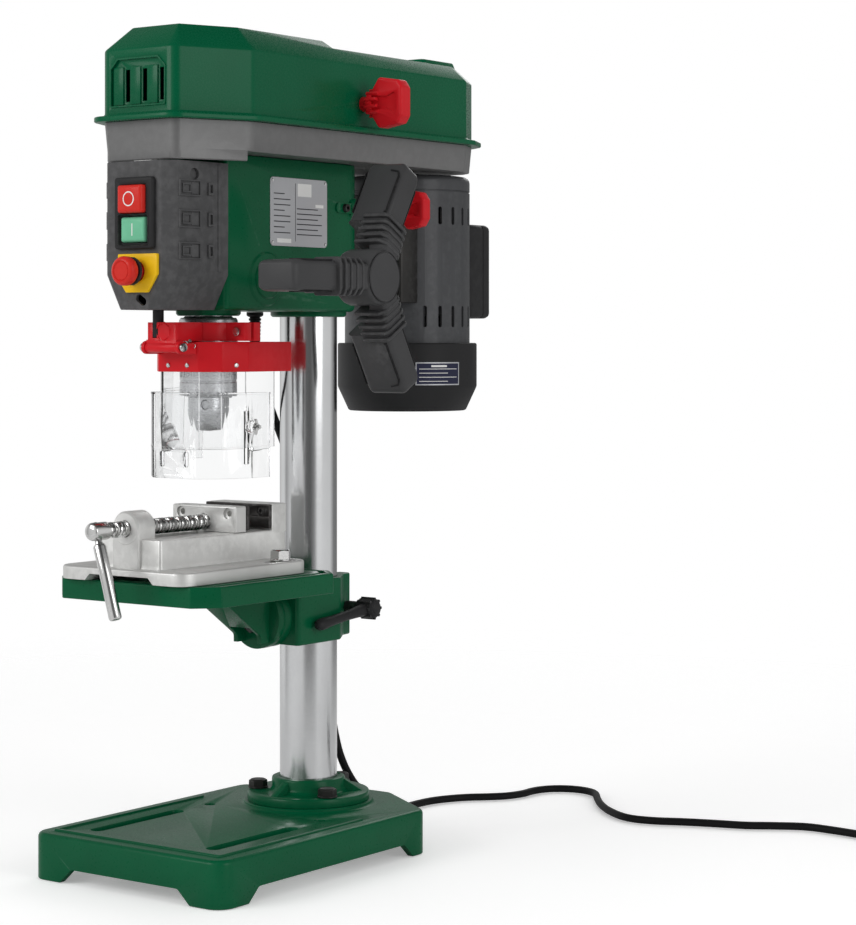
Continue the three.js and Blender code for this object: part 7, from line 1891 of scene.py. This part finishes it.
def motor_housing_form():
    top, seam, low, wall = HEAD_Z + 115, HEAD_Z + 102, HEAD_Z - 33, 3
    radius = in_mm(sizes().motor_radius)
    inner, round_by = radius - wall, 5
    arc = [(radius - round_by + round_by * math.cos(a), top - round_by + round_by * math.sin(a))
           for a in (0, math.pi / 8, math.pi / 4, 3 * math.pi / 8, math.pi / 2)]
    profile = [(inner, low), (radius, low), (radius, seam - 0.7), (radius - 0.9, seam - 0.5),
               (radius - 0.9, seam + 0.5), (radius, seam + 0.7), *arc, (7, top), (7, top - wall),
               (inner, top - wall)]
    body = lathe(profile, SIDES_LARGE, True)
    count = sizes().vent_count
    slot = stack(rectangle(-1.75, HEAD_Z + 73.5, 1.75, HEAD_Z + 88.5, 1.7),
                 [(inner - 2, 0), (radius + 2, 0)], "y", 4)
    high_vents = ring_of(slot, count, "motor paint", 180 / count)
    low_slot = stack(rectangle(-1.75, HEAD_Z - 12, 1.75, HEAD_Z + 6, 1.7),
                     [(inner - 2, 0), (radius + 2, 0)], "y", 4)
    low_vents = ring_of(low_slot, count, "motor paint", 180 / count)
    clear_front = block((-40, -70, HEAD_Z - 20), (40, 0, HEAD_Z + 12))
    low_vents = shaped([low_vents], [clear_front])
    stator = ring_bar(31, 51, HEAD_Z - 2, HEAD_Z + 62, SIDES_LARGE)
    made = shaped([body, stator], [high_vents, low_vents])
    return moved(softened(made, 0.0), 0, MOTOR_Y, 0)


def fan_cover_form():
    low, top, chamfer = HEAD_Z - 82, HEAD_Z - 25, HEAD_Z - 61.6
    radius, floor, wall = 59, 50, 2.5
    bore = in_mm(sizes().motor_radius) + GAP
    profile = [(0, low), (floor - 1.2, low), (floor, low + 0.8), (radius - 0.5, chamfer - 1.2),
               (radius, chamfer + 0.6), (radius, top - 1.4), (radius - 0.4, top - 0.4), (radius - 1.4, top),
               (bore, top), (bore, top - 12), (radius - wall, top - 16), (radius - wall, chamfer),
               (floor - wall, low + wall), (0, low + wall)]
    body = lathe(profile, SIDES_LARGE)
    slit = prism(rectangle(14, -1.9, 42, 1.9, 1.8), low - 2, low + 6, steps=4)
    slits = ring_of(slit, 16, "black moulding")
    return moved(softened(shaped([body], [slits]), 0.4), 0, MOTOR_Y, 0)


def motor_plate_forms():
    """A blank data plate bent round the fan cover, with a pale border and ruled fields."""
    radius, low, high, middle, spread = 59, HEAD_Z - 60, HEAD_Z - 41, -27, 20

    def patch(start, end, bottom, top, rise):
        angles = [math.radians(middle + start + (end - start) * step / 10) for step in range(11)]
        rings = []
        for angle in angles:
            near, far = radius - 1, radius + rise
            rings.append([(reach * math.cos(angle), reach * math.sin(angle), z)
                          for reach, z in ((near, bottom), (far, bottom), (far, top), (near, top))])
        return loft(rings)

    plate = patch(-spread, spread, low, high, 0.25)
    field = patch(-spread + 1, spread - 1, low + 1, high - 1, 0.4)
    rules = [patch(-spread + 3, spread - (3 if row % 2 else 12), low + 3 + row * 3.4, low + 3.5 + row * 3.4,
                   0.5)
             for row in range(4)]
    rules.append(patch(-7, 7, high - 4, high - 2.4, 0.5))
    return [moved(form, 0, MOTOR_Y, 0) for form in (plate, field, joined(*rules))]


def terminal_box_forms():
    start, rear, half, low, high = 50, 83, 29, HEAD_Z - 4, HEAD_Z + 77
    box = stack(rectangle(-half, low, half, high, 5), [(start, 0), (rear - 4, 0), (rear - 1.2, 0.9),
                                                       (rear, 3)], "y")
    fit = rod(in_mm(sizes().motor_radius) + GAP, low - 2, high + 2, sides=SIDES_LARGE)
    seam = shaped([stack(rectangle(-half - 1, low - 1, half + 1, high + 1, 5),
                         [(rear - 12, 0), (rear - 11.2, 0)], "y")],
                  [stack(rectangle(-half + 0.6, low + 0.6, half - 0.6, high - 0.6, 4.4),
                         [(rear - 14, 0), (rear - 9, 0)], "y")])
    box = shaped([box], [fit, seam])
    screws = []
    for x in (-half + 6, half - 6):
        for z in (low + 6, high - 6):
            head = turned(lathe([(0, -1), (2.8, -1), (2.8, 0.5), (2.2, 1.1), (0, 1.2)], SIDES_SMALL), "x",
                          -90)
            screws.append(moved(head, x, rear - 0.6, z))
    return [moved(softened(box, 0.5), 0, MOTOR_Y, 0), moved(joined(*screws), 0, MOTOR_Y, 0)]


def saddle_form():
    low, high, rise = HEAD_Z + 8, HEAD_Z + 98, LOCK_Z
    plate = stack(rectangle(-38, -60, 38, -30, 3), eased(low, high, 1, 1))
    fit = rod(in_mm(sizes().motor_radius) + GAP, low - 2, high + 2, sides=SIDES_LARGE)
    bars = [moved(rod(5, -111, -58, "y", SIDES_MEDIUM, 0.6), x, 0, rise) for x in (-SLIDE_X, SLIDE_X)]
    return moved(softened(shaped([plate, *bars], [fit]), 0.4), 0, MOTOR_Y, 0)


def rotor_form():
    top = HEAD_Z + HEAD_TALL + 5.5 + 52 + 4
    low = HEAD_Z - 76
    blade = block((12, -1.5, low), (46, 1.5, low + 28))
    blades = ring_of(turned(blade, "z", 12), 6, "dark steel")
    parts = [rod(6, low - 1, top, sides=SIDES_MEDIUM, ease=0.6),
             rod(30, HEAD_Z + 2, HEAD_Z + 58, sides=SIDES_FINE), rod(14, low, low + 28),
             rod(40, low + 26, low + 28, sides=SIDES_FINE), blades]
    return moved(shaped(parts), 0, MOTOR_Y, 0)


def build_motor():
    add_piece("motor_can", [(motor_housing_form(), "motor paint")], "motor_body",
              ["motor_housing"])
    add_piece("motor_cowl", [(fan_cover_form(), "black moulding")], "motor_body",
              ["motor_fan_cover"])
    plate, field, rules = motor_plate_forms()
    add_piece("motor_plate", [(plate, "label silver"), (field, "plate print"), (rules, "white print")],
              "motor_body")
    box, screws = terminal_box_forms()
    add_piece("wiring_box", [(box, "black moulding"), (screws, "dark steel")], "motor_body",
              ["motor_terminal_box"])
    add_piece("motor_slide", [(saddle_form(), "dark steel")], "motor_body", ["motor_saddle"])
    add_piece("rotor_core", [(rotor_form(), "dark steel")], "rotor_body", ["motor_rotor"])


# Mains lead

# The lead's way from the gland, down behind the column and over the bench to its coil
LEAD_ROUTE = [
    (-22.5, -40, 404.6), (-22.8, -39, 394), (-24.6, -30, 373), (-30, -6, 342), (-35, 20, 306),
    (-37.5, 38, 268), (-37.5, 50, 228), (-29, 61, 120), (-21.5, 62.5, 78), (-16.5, 65.5, 57),
    (-12, 73.7, 39.5), (-10, 85, 28.2), (-11, 98, 15.6), (-13.5, 112, 7), (-16.5, 127, 3.8),
    (-20, 170, 3.6), (-17, 198, 3.6), (-5, 222, 3.6), (12, 239.5, 3.6), (22.2, 251.8, 3.6),
    (27.6, 268.2, 3.6), (27.8, 284.1, 3.6), (30.9, 296.3, 3.6), (37.5, 305.8, 3.6), (47.9, 312.4, 3.6),
    (60.1, 314.5, 3.6), (72.1, 311.6, 3.6), (82, 304.2, 3.6), (94.9, 286.6, 3.6), (112, 265.5, 3.6),
    (134, 245, 3.6), (160, 230, 3.6), (184, 232, 3.6), (208, 243, 3.6), (232, 252, 3.6),
    (256, 260, 3.6), (277, 273, 3.6), (299, 284, 3.6), (322, 284.5, 3.6),
    (364, 280, 3.6), (378, 280, 3.6),
]
COIL_START = (384.7, 316, 3.6)
COIL_RADIUS = 36
COIL_PITCH = 8.0
COIL_LAYER = 7.04
COIL_LAYER_TURNS = 1.25
COIL_CLIMB_TURNS = 0.5
COIL_STEPS = 16


def coil_route(steps):
    """Points of the coil, which spirals in, climbs a layer, and spirals out again on top of itself."""
    climb_end = COIL_LAYER_TURNS + COIL_CLIMB_TURNS
    end = climb_end + COIL_LAYER_TURNS
    points = []
    for index in range(round(end * steps) + 1):
        turns = index / steps
        angle = 2 * math.pi * turns
        inward = min(turns, COIL_LAYER_TURNS) - max(turns - climb_end, 0)
        climb = min(max((turns - COIL_LAYER_TURNS) / COIL_CLIMB_TURNS, 0), 1)
        radius = COIL_RADIUS - COIL_PITCH * inward
        points.append((COIL_START[0] + radius * math.sin(angle), COIL_START[1] - radius * math.cos(angle),
                       COIL_START[2] + COIL_LAYER * climb))
    last = points[-1]
    return points + [(last[0] + COIL_RADIUS + LEAD_THICK, last[1], last[2])]


def gland_form():
    tip, radius, drop = 4.3, 5.2, 24
    profile = [(0, -drop), (tip - 0.5, -drop), (tip, -drop + 0.6)]
    for index in range(6):
        low = -drop + 2.5 + index * 2.9
        grow = tip + (radius - tip) * (low + drop) / drop
        profile += [(grow, low), (grow, low + 1.7), (grow - 0.8, low + 1.9), (grow - 0.8, low + 2.7)]
    profile += [(radius, -4), (radius + 1.2, -3.2), (radius + 1.5, -2.8), (radius + 1.5, -GAP), (0, -GAP)]
    return moved(lathe(profile, SIDES_MEDIUM), -22.5, -40, HEAD_Z)


def plug_forms():
    long, wide, thick = 38, 36, 21
    start = COIL_START[0] + COIL_RADIUS + LEAD_THICK + GAP
    middle_y, low = COIL_START[1] - COIL_RADIUS, 0.2
    shape = rectangle(-wide / 2, low, wide / 2, low + thick, 6)
    body = stack(shape, [(0, 7.2), (1, 6.0), (6, 4.4), (11, 1.0), (13, 0.2), (14, 0), (long - 2, 0),
                         (long - 0.6, 0.6), (long, 1.8)], "y", steps=6)
    grips = [stack(rectangle(-wide / 2 - 0.2, low + 4, wide / 2 + 0.2, low + thick - 4, 1),
                   [(y, 0), (y + 1.2, 0)], "y")
             for y in (17, 20, 23, 26, 29)]
    inner = stack(rectangle(-wide / 2 + 0.7, low - 4, wide / 2 - 0.7, low + thick + 4, 1),
                  [(10, 0), (34, 0)], "y")
    grooves = shaped([joined(*grips)], [inner])
    body = softened(shaped([body], [grooves]), 0.3)
    pins = []
    for x in (-9.5, 9.5):
        pin = laid(lathe([(0, long - 1), (2.4, long - 1), (2.4, long + 17), (1.9, long + 18.4),
                          (1.2, long + 19), (0, long + 19)], SIDES_SMALL), "y")
        pins.append(moved(pin, x, 0, low + thick / 2))
    return [moved(turned(form, "z", -90), start, middle_y, 0) for form in (body, joined(*pins))]


def build_lead():
    radius = in_mm(sizes().cord_diameter) / 2
    route = LEAD_ROUTE + coil_route(COIL_STEPS)
    smooth = spline_points(route, 5)
    body, pins = plug_forms()
    plug = add_piece("lead_plug", [(body, "cord rubber"), (pins, "bright plating")], "machine",
                     ["mains_plug"])
    lead = add_piece("mains_lead", [(tube(smooth, radius, 16), "cord rubber")], "machine",
                     ["mains_cord", "cord_coil"])
    add_piece("strain_relief", [(gland_form(), "cord rubber")], "machine", ["cord_gland"])


# Stage

FLOOR_GLOW = 0.3
# Metres from the middle over which the floor fades out
FLOOR_FADE = (0.55, 1.5)


def floor_material():
    """A pale floor that fades out to the backdrop's white."""
    made, tree, shader, place = new_material("pale floor")
    colour = tuple(colours().floor)
    surface = place_group(tree, grain_group(), Vector=place, Stretch=(1, 1, 1), Grain_Scale=240.0,
                          Tone_Scale=2.0)
    put(tree, shader["Base Color"], mix_colour(tree, surface.outputs["Tone"], shade(colour, 0.99), colour))
    put(tree, shader["Roughness"], ramp(tree, surface.outputs["Grain"], 0.3, 0.7, 0.6, 0.7))
    put(tree, shader["Specular IOR Level"], 0.2)
    distance = add_node(tree, "ShaderNodeVectorMath", {0: place}, operation="LENGTH").outputs["Value"]
    clear = tree.nodes.new("ShaderNodeBsdfTransparent").outputs["BSDF"]
    seen = tree.nodes.new("ShaderNodeLightPath").outputs["Is Camera Ray"]
    glow = add_node(tree, "ShaderNodeEmission", {"Strength": arithmetic(tree, "MULTIPLY", seen, FLOOR_GLOW)})
    lit = add_node(tree, "ShaderNodeAddShader", {
        0: tree.nodes["Principled BSDF"].outputs["BSDF"], 1: glow.outputs[0]})
    faded = mix_shaders(tree, ramp(tree, distance, *FLOOR_FADE), lit.outputs[0], clear)
    put(tree, tree.nodes["Material Output"].inputs["Surface"], faded)
    return made


def build_floor():
    reach, rings, sides = 2.4, 12, 64
    work = bmesh.new()
    centre = work.verts.new((0, 0, 0))
    before = None
    for ring in range(1, rings + 1):
        radius = reach * ring / rings
        now = [work.verts.new((radius * math.cos(2 * math.pi * side / sides),
                               radius * math.sin(2 * math.pi * side / sides), 0)) for side in range(sides)]
        for side in range(sides):
            ahead = (side + 1) % sides
            if before is None:
                work.faces.new((centre, now[side], now[ahead]))
            else:
                work.faces.new((before[side], now[side], now[ahead], before[ahead]))
        before = now
    mesh = bpy.data.meshes.new("bench_floor")
    work.to_mesh(mesh)
    work.free()
    mesh.materials.append(floor_material())
    obj = bpy.data.objects.new("bench_floor", mesh)
    bpy.context.scene.collection.objects.link(obj)
    obj.location.z = -0.0004


FILL_LEVEL = 0.55
# Steepness from which and to which the surroundings darken, and the share taken off
ZENITH_FADE = (0.3, 0.8, 0.0, 0.85)
# Compass bearing in degrees and brightness of the studio panels and the dark gaps between them
PANELS = ((-180, 0.9), (-165, 0.9), (-152, 0.4), (-132, 0.75), (-76, 0.8), (-62, 0.15), (-42, 0.12),
          (-27, 0.3), (-14, 0.85), (46, 0.8), (70, 0.25), (110, 0.2), (180, 0.9))


def background(tree, colour, strength=1.0):
    return add_node(tree, "ShaderNodeBackground", {"Color": colour, "Strength": strength}).outputs[0]


def build_world():
    """White to the camera, with soft grey bands for the metal to show, and an even fill."""
    world = bpy.data.worlds.new("studio")
    bpy.context.scene.world = world
    world.use_nodes = True
    tree = world.node_tree
    tree.nodes.clear()
    white = (1, 1, 1, 1)
    path = tree.nodes.new("ShaderNodeLightPath").outputs
    way = tree.nodes.new("ShaderNodeTexCoord").outputs["Generated"]
    parts = add_node(tree, "ShaderNodeSeparateXYZ", {0: way}).outputs
    heading = arithmetic(tree, "ARCTAN2", parts["Y"], parts["X"])
    panels = add_node(tree, "ShaderNodeValToRGB", {"Fac": ramp(tree, heading, -math.pi, math.pi)})
    stops = panels.color_ramp.elements
    for bearing, level in PANELS:
        place = (bearing + 180) / 360
        stop = stops[0] if place == 0 else stops[-1] if place == 1 else stops.new(place)
        stop.color = (level, level, level, 1)
    lift = ramp(tree, arithmetic(tree, "ABSOLUTE", parts["Z"]), *ZENITH_FADE)
    shown = arithmetic(tree, "MULTIPLY", panels.outputs["Color"], arithmetic(tree, "SUBTRACT", 1.0, lift))
    glossy = mix_shaders(tree, path["Is Glossy Ray"], background(tree, white, FILL_LEVEL),
                         background(tree, shown))
    straight = arithmetic(tree, "MAXIMUM", path["Is Camera Ray"], path["Is Transmission Ray"])
    sky = mix_shaders(tree, straight, glossy, background(tree, white))
    add_node(tree, "ShaderNodeOutputWorld", {"Surface": sky})


LAMPS = (
    ("key lamp", (-0.9, -2.2, 1.35), (1.4, 1.1), 24.0),
    ("side lamp", (2.4, -0.3, 1.0), (1.2, 1.4), 13.0),
    ("rear lamp", (-0.7, 2.2, 1.5), (1.2, 1.0), 7.0),
)
AIM = (0.0, 0.0, 0.34)


def build_lamps():
    for name, place, (wide, tall), power in LAMPS:
        lamp = bpy.data.lights.new(name, "AREA")
        lamp.shape, lamp.size, lamp.size_y, lamp.energy = "RECTANGLE", wide, tall, power
        obj = bpy.data.objects.new(name, lamp)
        obj.location = place
        obj.rotation_euler = (Vector(AIM) - Vector(place)).to_track_quat("-Z", "Y").to_euler()
        bpy.context.scene.collection.objects.link(obj)


CAMERA_PLACE = (1.20453, -1.51605, 0.40741)
CAMERA_TURN = (90.0, 0.0, 35.96)
CAMERA_LENS = 94.94
CAMERA_SHIFT = -0.1337


def build_camera():
    lens = bpy.data.cameras.new("photo camera")
    lens.lens, lens.sensor_width, lens.shift_x, lens.shift_y = CAMERA_LENS, 36, 0, CAMERA_SHIFT
    lens.sensor_fit = "AUTO"
    camera = bpy.data.objects.new("photo camera", lens)
    camera.location = CAMERA_PLACE
    camera.rotation_euler = [math.radians(angle) for angle in CAMERA_TURN]
    bpy.context.scene.collection.objects.link(camera)
    bpy.context.scene.camera = camera


def build_stage():
    scene = bpy.context.scene
    scene.view_settings.view_transform = "Standard"
    build_world()
    build_lamps()
    build_floor()


# Operators, one for each group of pieces

class DRILL_OT_camera(bpy.types.Operator):
    """Sets the camera at the photograph's viewing angle"""
    bl_idname = "drill_press.camera"
    bl_label = "Camera"

    def execute(self, context):
        build_camera()
        return {"FINISHED"}


class DRILL_OT_lead(bpy.types.Operator):
    """Builds the mains lead with its coil, plug and strain relief"""
    bl_idname = "drill_press.lead"
    bl_label = "Mains lead"

    def execute(self, context):
        build_lead()
        return {"FINISHED"}


class DRILL_OT_stand(bpy.types.Operator):
    """Builds the base casting, the flange with its bolts and the column"""
    bl_idname = "drill_press.stand"
    bl_label = "Base and column"

    def execute(self, context):
        build_stand()
        return {"FINISHED"}


class DRILL_OT_table(bpy.types.Operator):
    """Builds the table bracket, the table and the vise"""
    bl_idname = "drill_press.table"
    bl_label = "Table and vise"

    def execute(self, context):
        build_table_unit()
        return {"FINISHED"}


class DRILL_OT_head(bpy.types.Operator):
    """Builds the head casting, the switch housing and the belt cover with its drive"""
    bl_idname = "drill_press.head"
    bl_label = "Head and belt cover"

    def execute(self, context):
        build_head_unit()
        return {"FINISHED"}


class DRILL_OT_switches(bpy.types.Operator):
    """Builds the stop, start and emergency buttons"""
    bl_idname = "drill_press.switches"
    bl_label = "Switches"

    def execute(self, context):
        build_switches()
        return {"FINISHED"}


class DRILL_OT_feed(bpy.types.Operator):
    """Builds the feed handle, its pinion and the return spring's housing"""
    bl_idname = "drill_press.feed"
    bl_label = "Feed handle"

    def execute(self, context):
        build_feed()
        return {"FINISHED"}


class DRILL_OT_spindle(bpy.types.Operator):
    """Builds the quill, the spindle and the keyless chuck"""
    bl_idname = "drill_press.spindle"
    bl_label = "Quill and chuck"

    def execute(self, context):
        build_spindle()
        return {"FINISHED"}


class DRILL_OT_guard(bpy.types.Operator):
    """Builds the chuck guard, its shields and the depth rod"""
    bl_idname = "drill_press.guard"
    bl_label = "Chuck guard"

    def execute(self, context):
        build_guard()
        return {"FINISHED"}


class DRILL_OT_motor(bpy.types.Operator):
    """Builds the motor with its cover, wiring box and slide"""
    bl_idname = "drill_press.motor"
    bl_label = "Motor"

    def execute(self, context):
        build_motor()
        return {"FINISHED"}


class DRILL_OT_stage(bpy.types.Operator):
    """Sets the pale floor, the soft lamps and the white surroundings"""
    bl_idname = "drill_press.stage"
    bl_label = "Stage"

    def execute(self, context):
        build_stage()
        return {"FINISHED"}


OPERATORS = (DRILL_OT_camera, DRILL_OT_lead, DRILL_OT_stand, DRILL_OT_table, DRILL_OT_head,
             DRILL_OT_switches, DRILL_OT_feed, DRILL_OT_spindle, DRILL_OT_guard, DRILL_OT_motor,
             DRILL_OT_stage)


class DRILL_PT_panel(bpy.types.Panel):
    """Lists the pieces of the drill press with their sizes and colours"""
    bl_idname = "DRILL_PT_panel"
    bl_label = "Drill Press"
    bl_space_type = "VIEW_3D"
    bl_region_type = "UI"
    bl_category = "Drill Press"

    def draw(self, context):
        column = self.layout.column(align=True)
        for operator in OPERATORS:
            column.operator(operator.bl_idname)
        for group in (context.scene.machine_sizes, context.scene.machine_colours):
            column.separator()
            for name in group.__annotations__:
                column.prop(group, name)


CLASSES = (MachineSizes, MachineColours, *OPERATORS, DRILL_PT_panel)


def register():
    for kind in CLASSES:
        bpy.utils.register_class(kind)
    bpy.types.Scene.machine_sizes = PointerProperty(type=MachineSizes)
    bpy.types.Scene.machine_colours = PointerProperty(type=MachineColours)


def unregister():
    del bpy.types.Scene.machine_colours
    del bpy.types.Scene.machine_sizes
    for kind in reversed(CLASSES):
        bpy.utils.unregister_class(kind)


def main():
    register()
    steps = bpy.ops.drill_press
    for step in (steps.camera, steps.lead, steps.stand, steps.table, steps.head, steps.switches, steps.feed,
                 steps.spindle, steps.guard, steps.motor, steps.stage):
        step()
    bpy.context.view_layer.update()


if __name__ == "__main__":
    main()
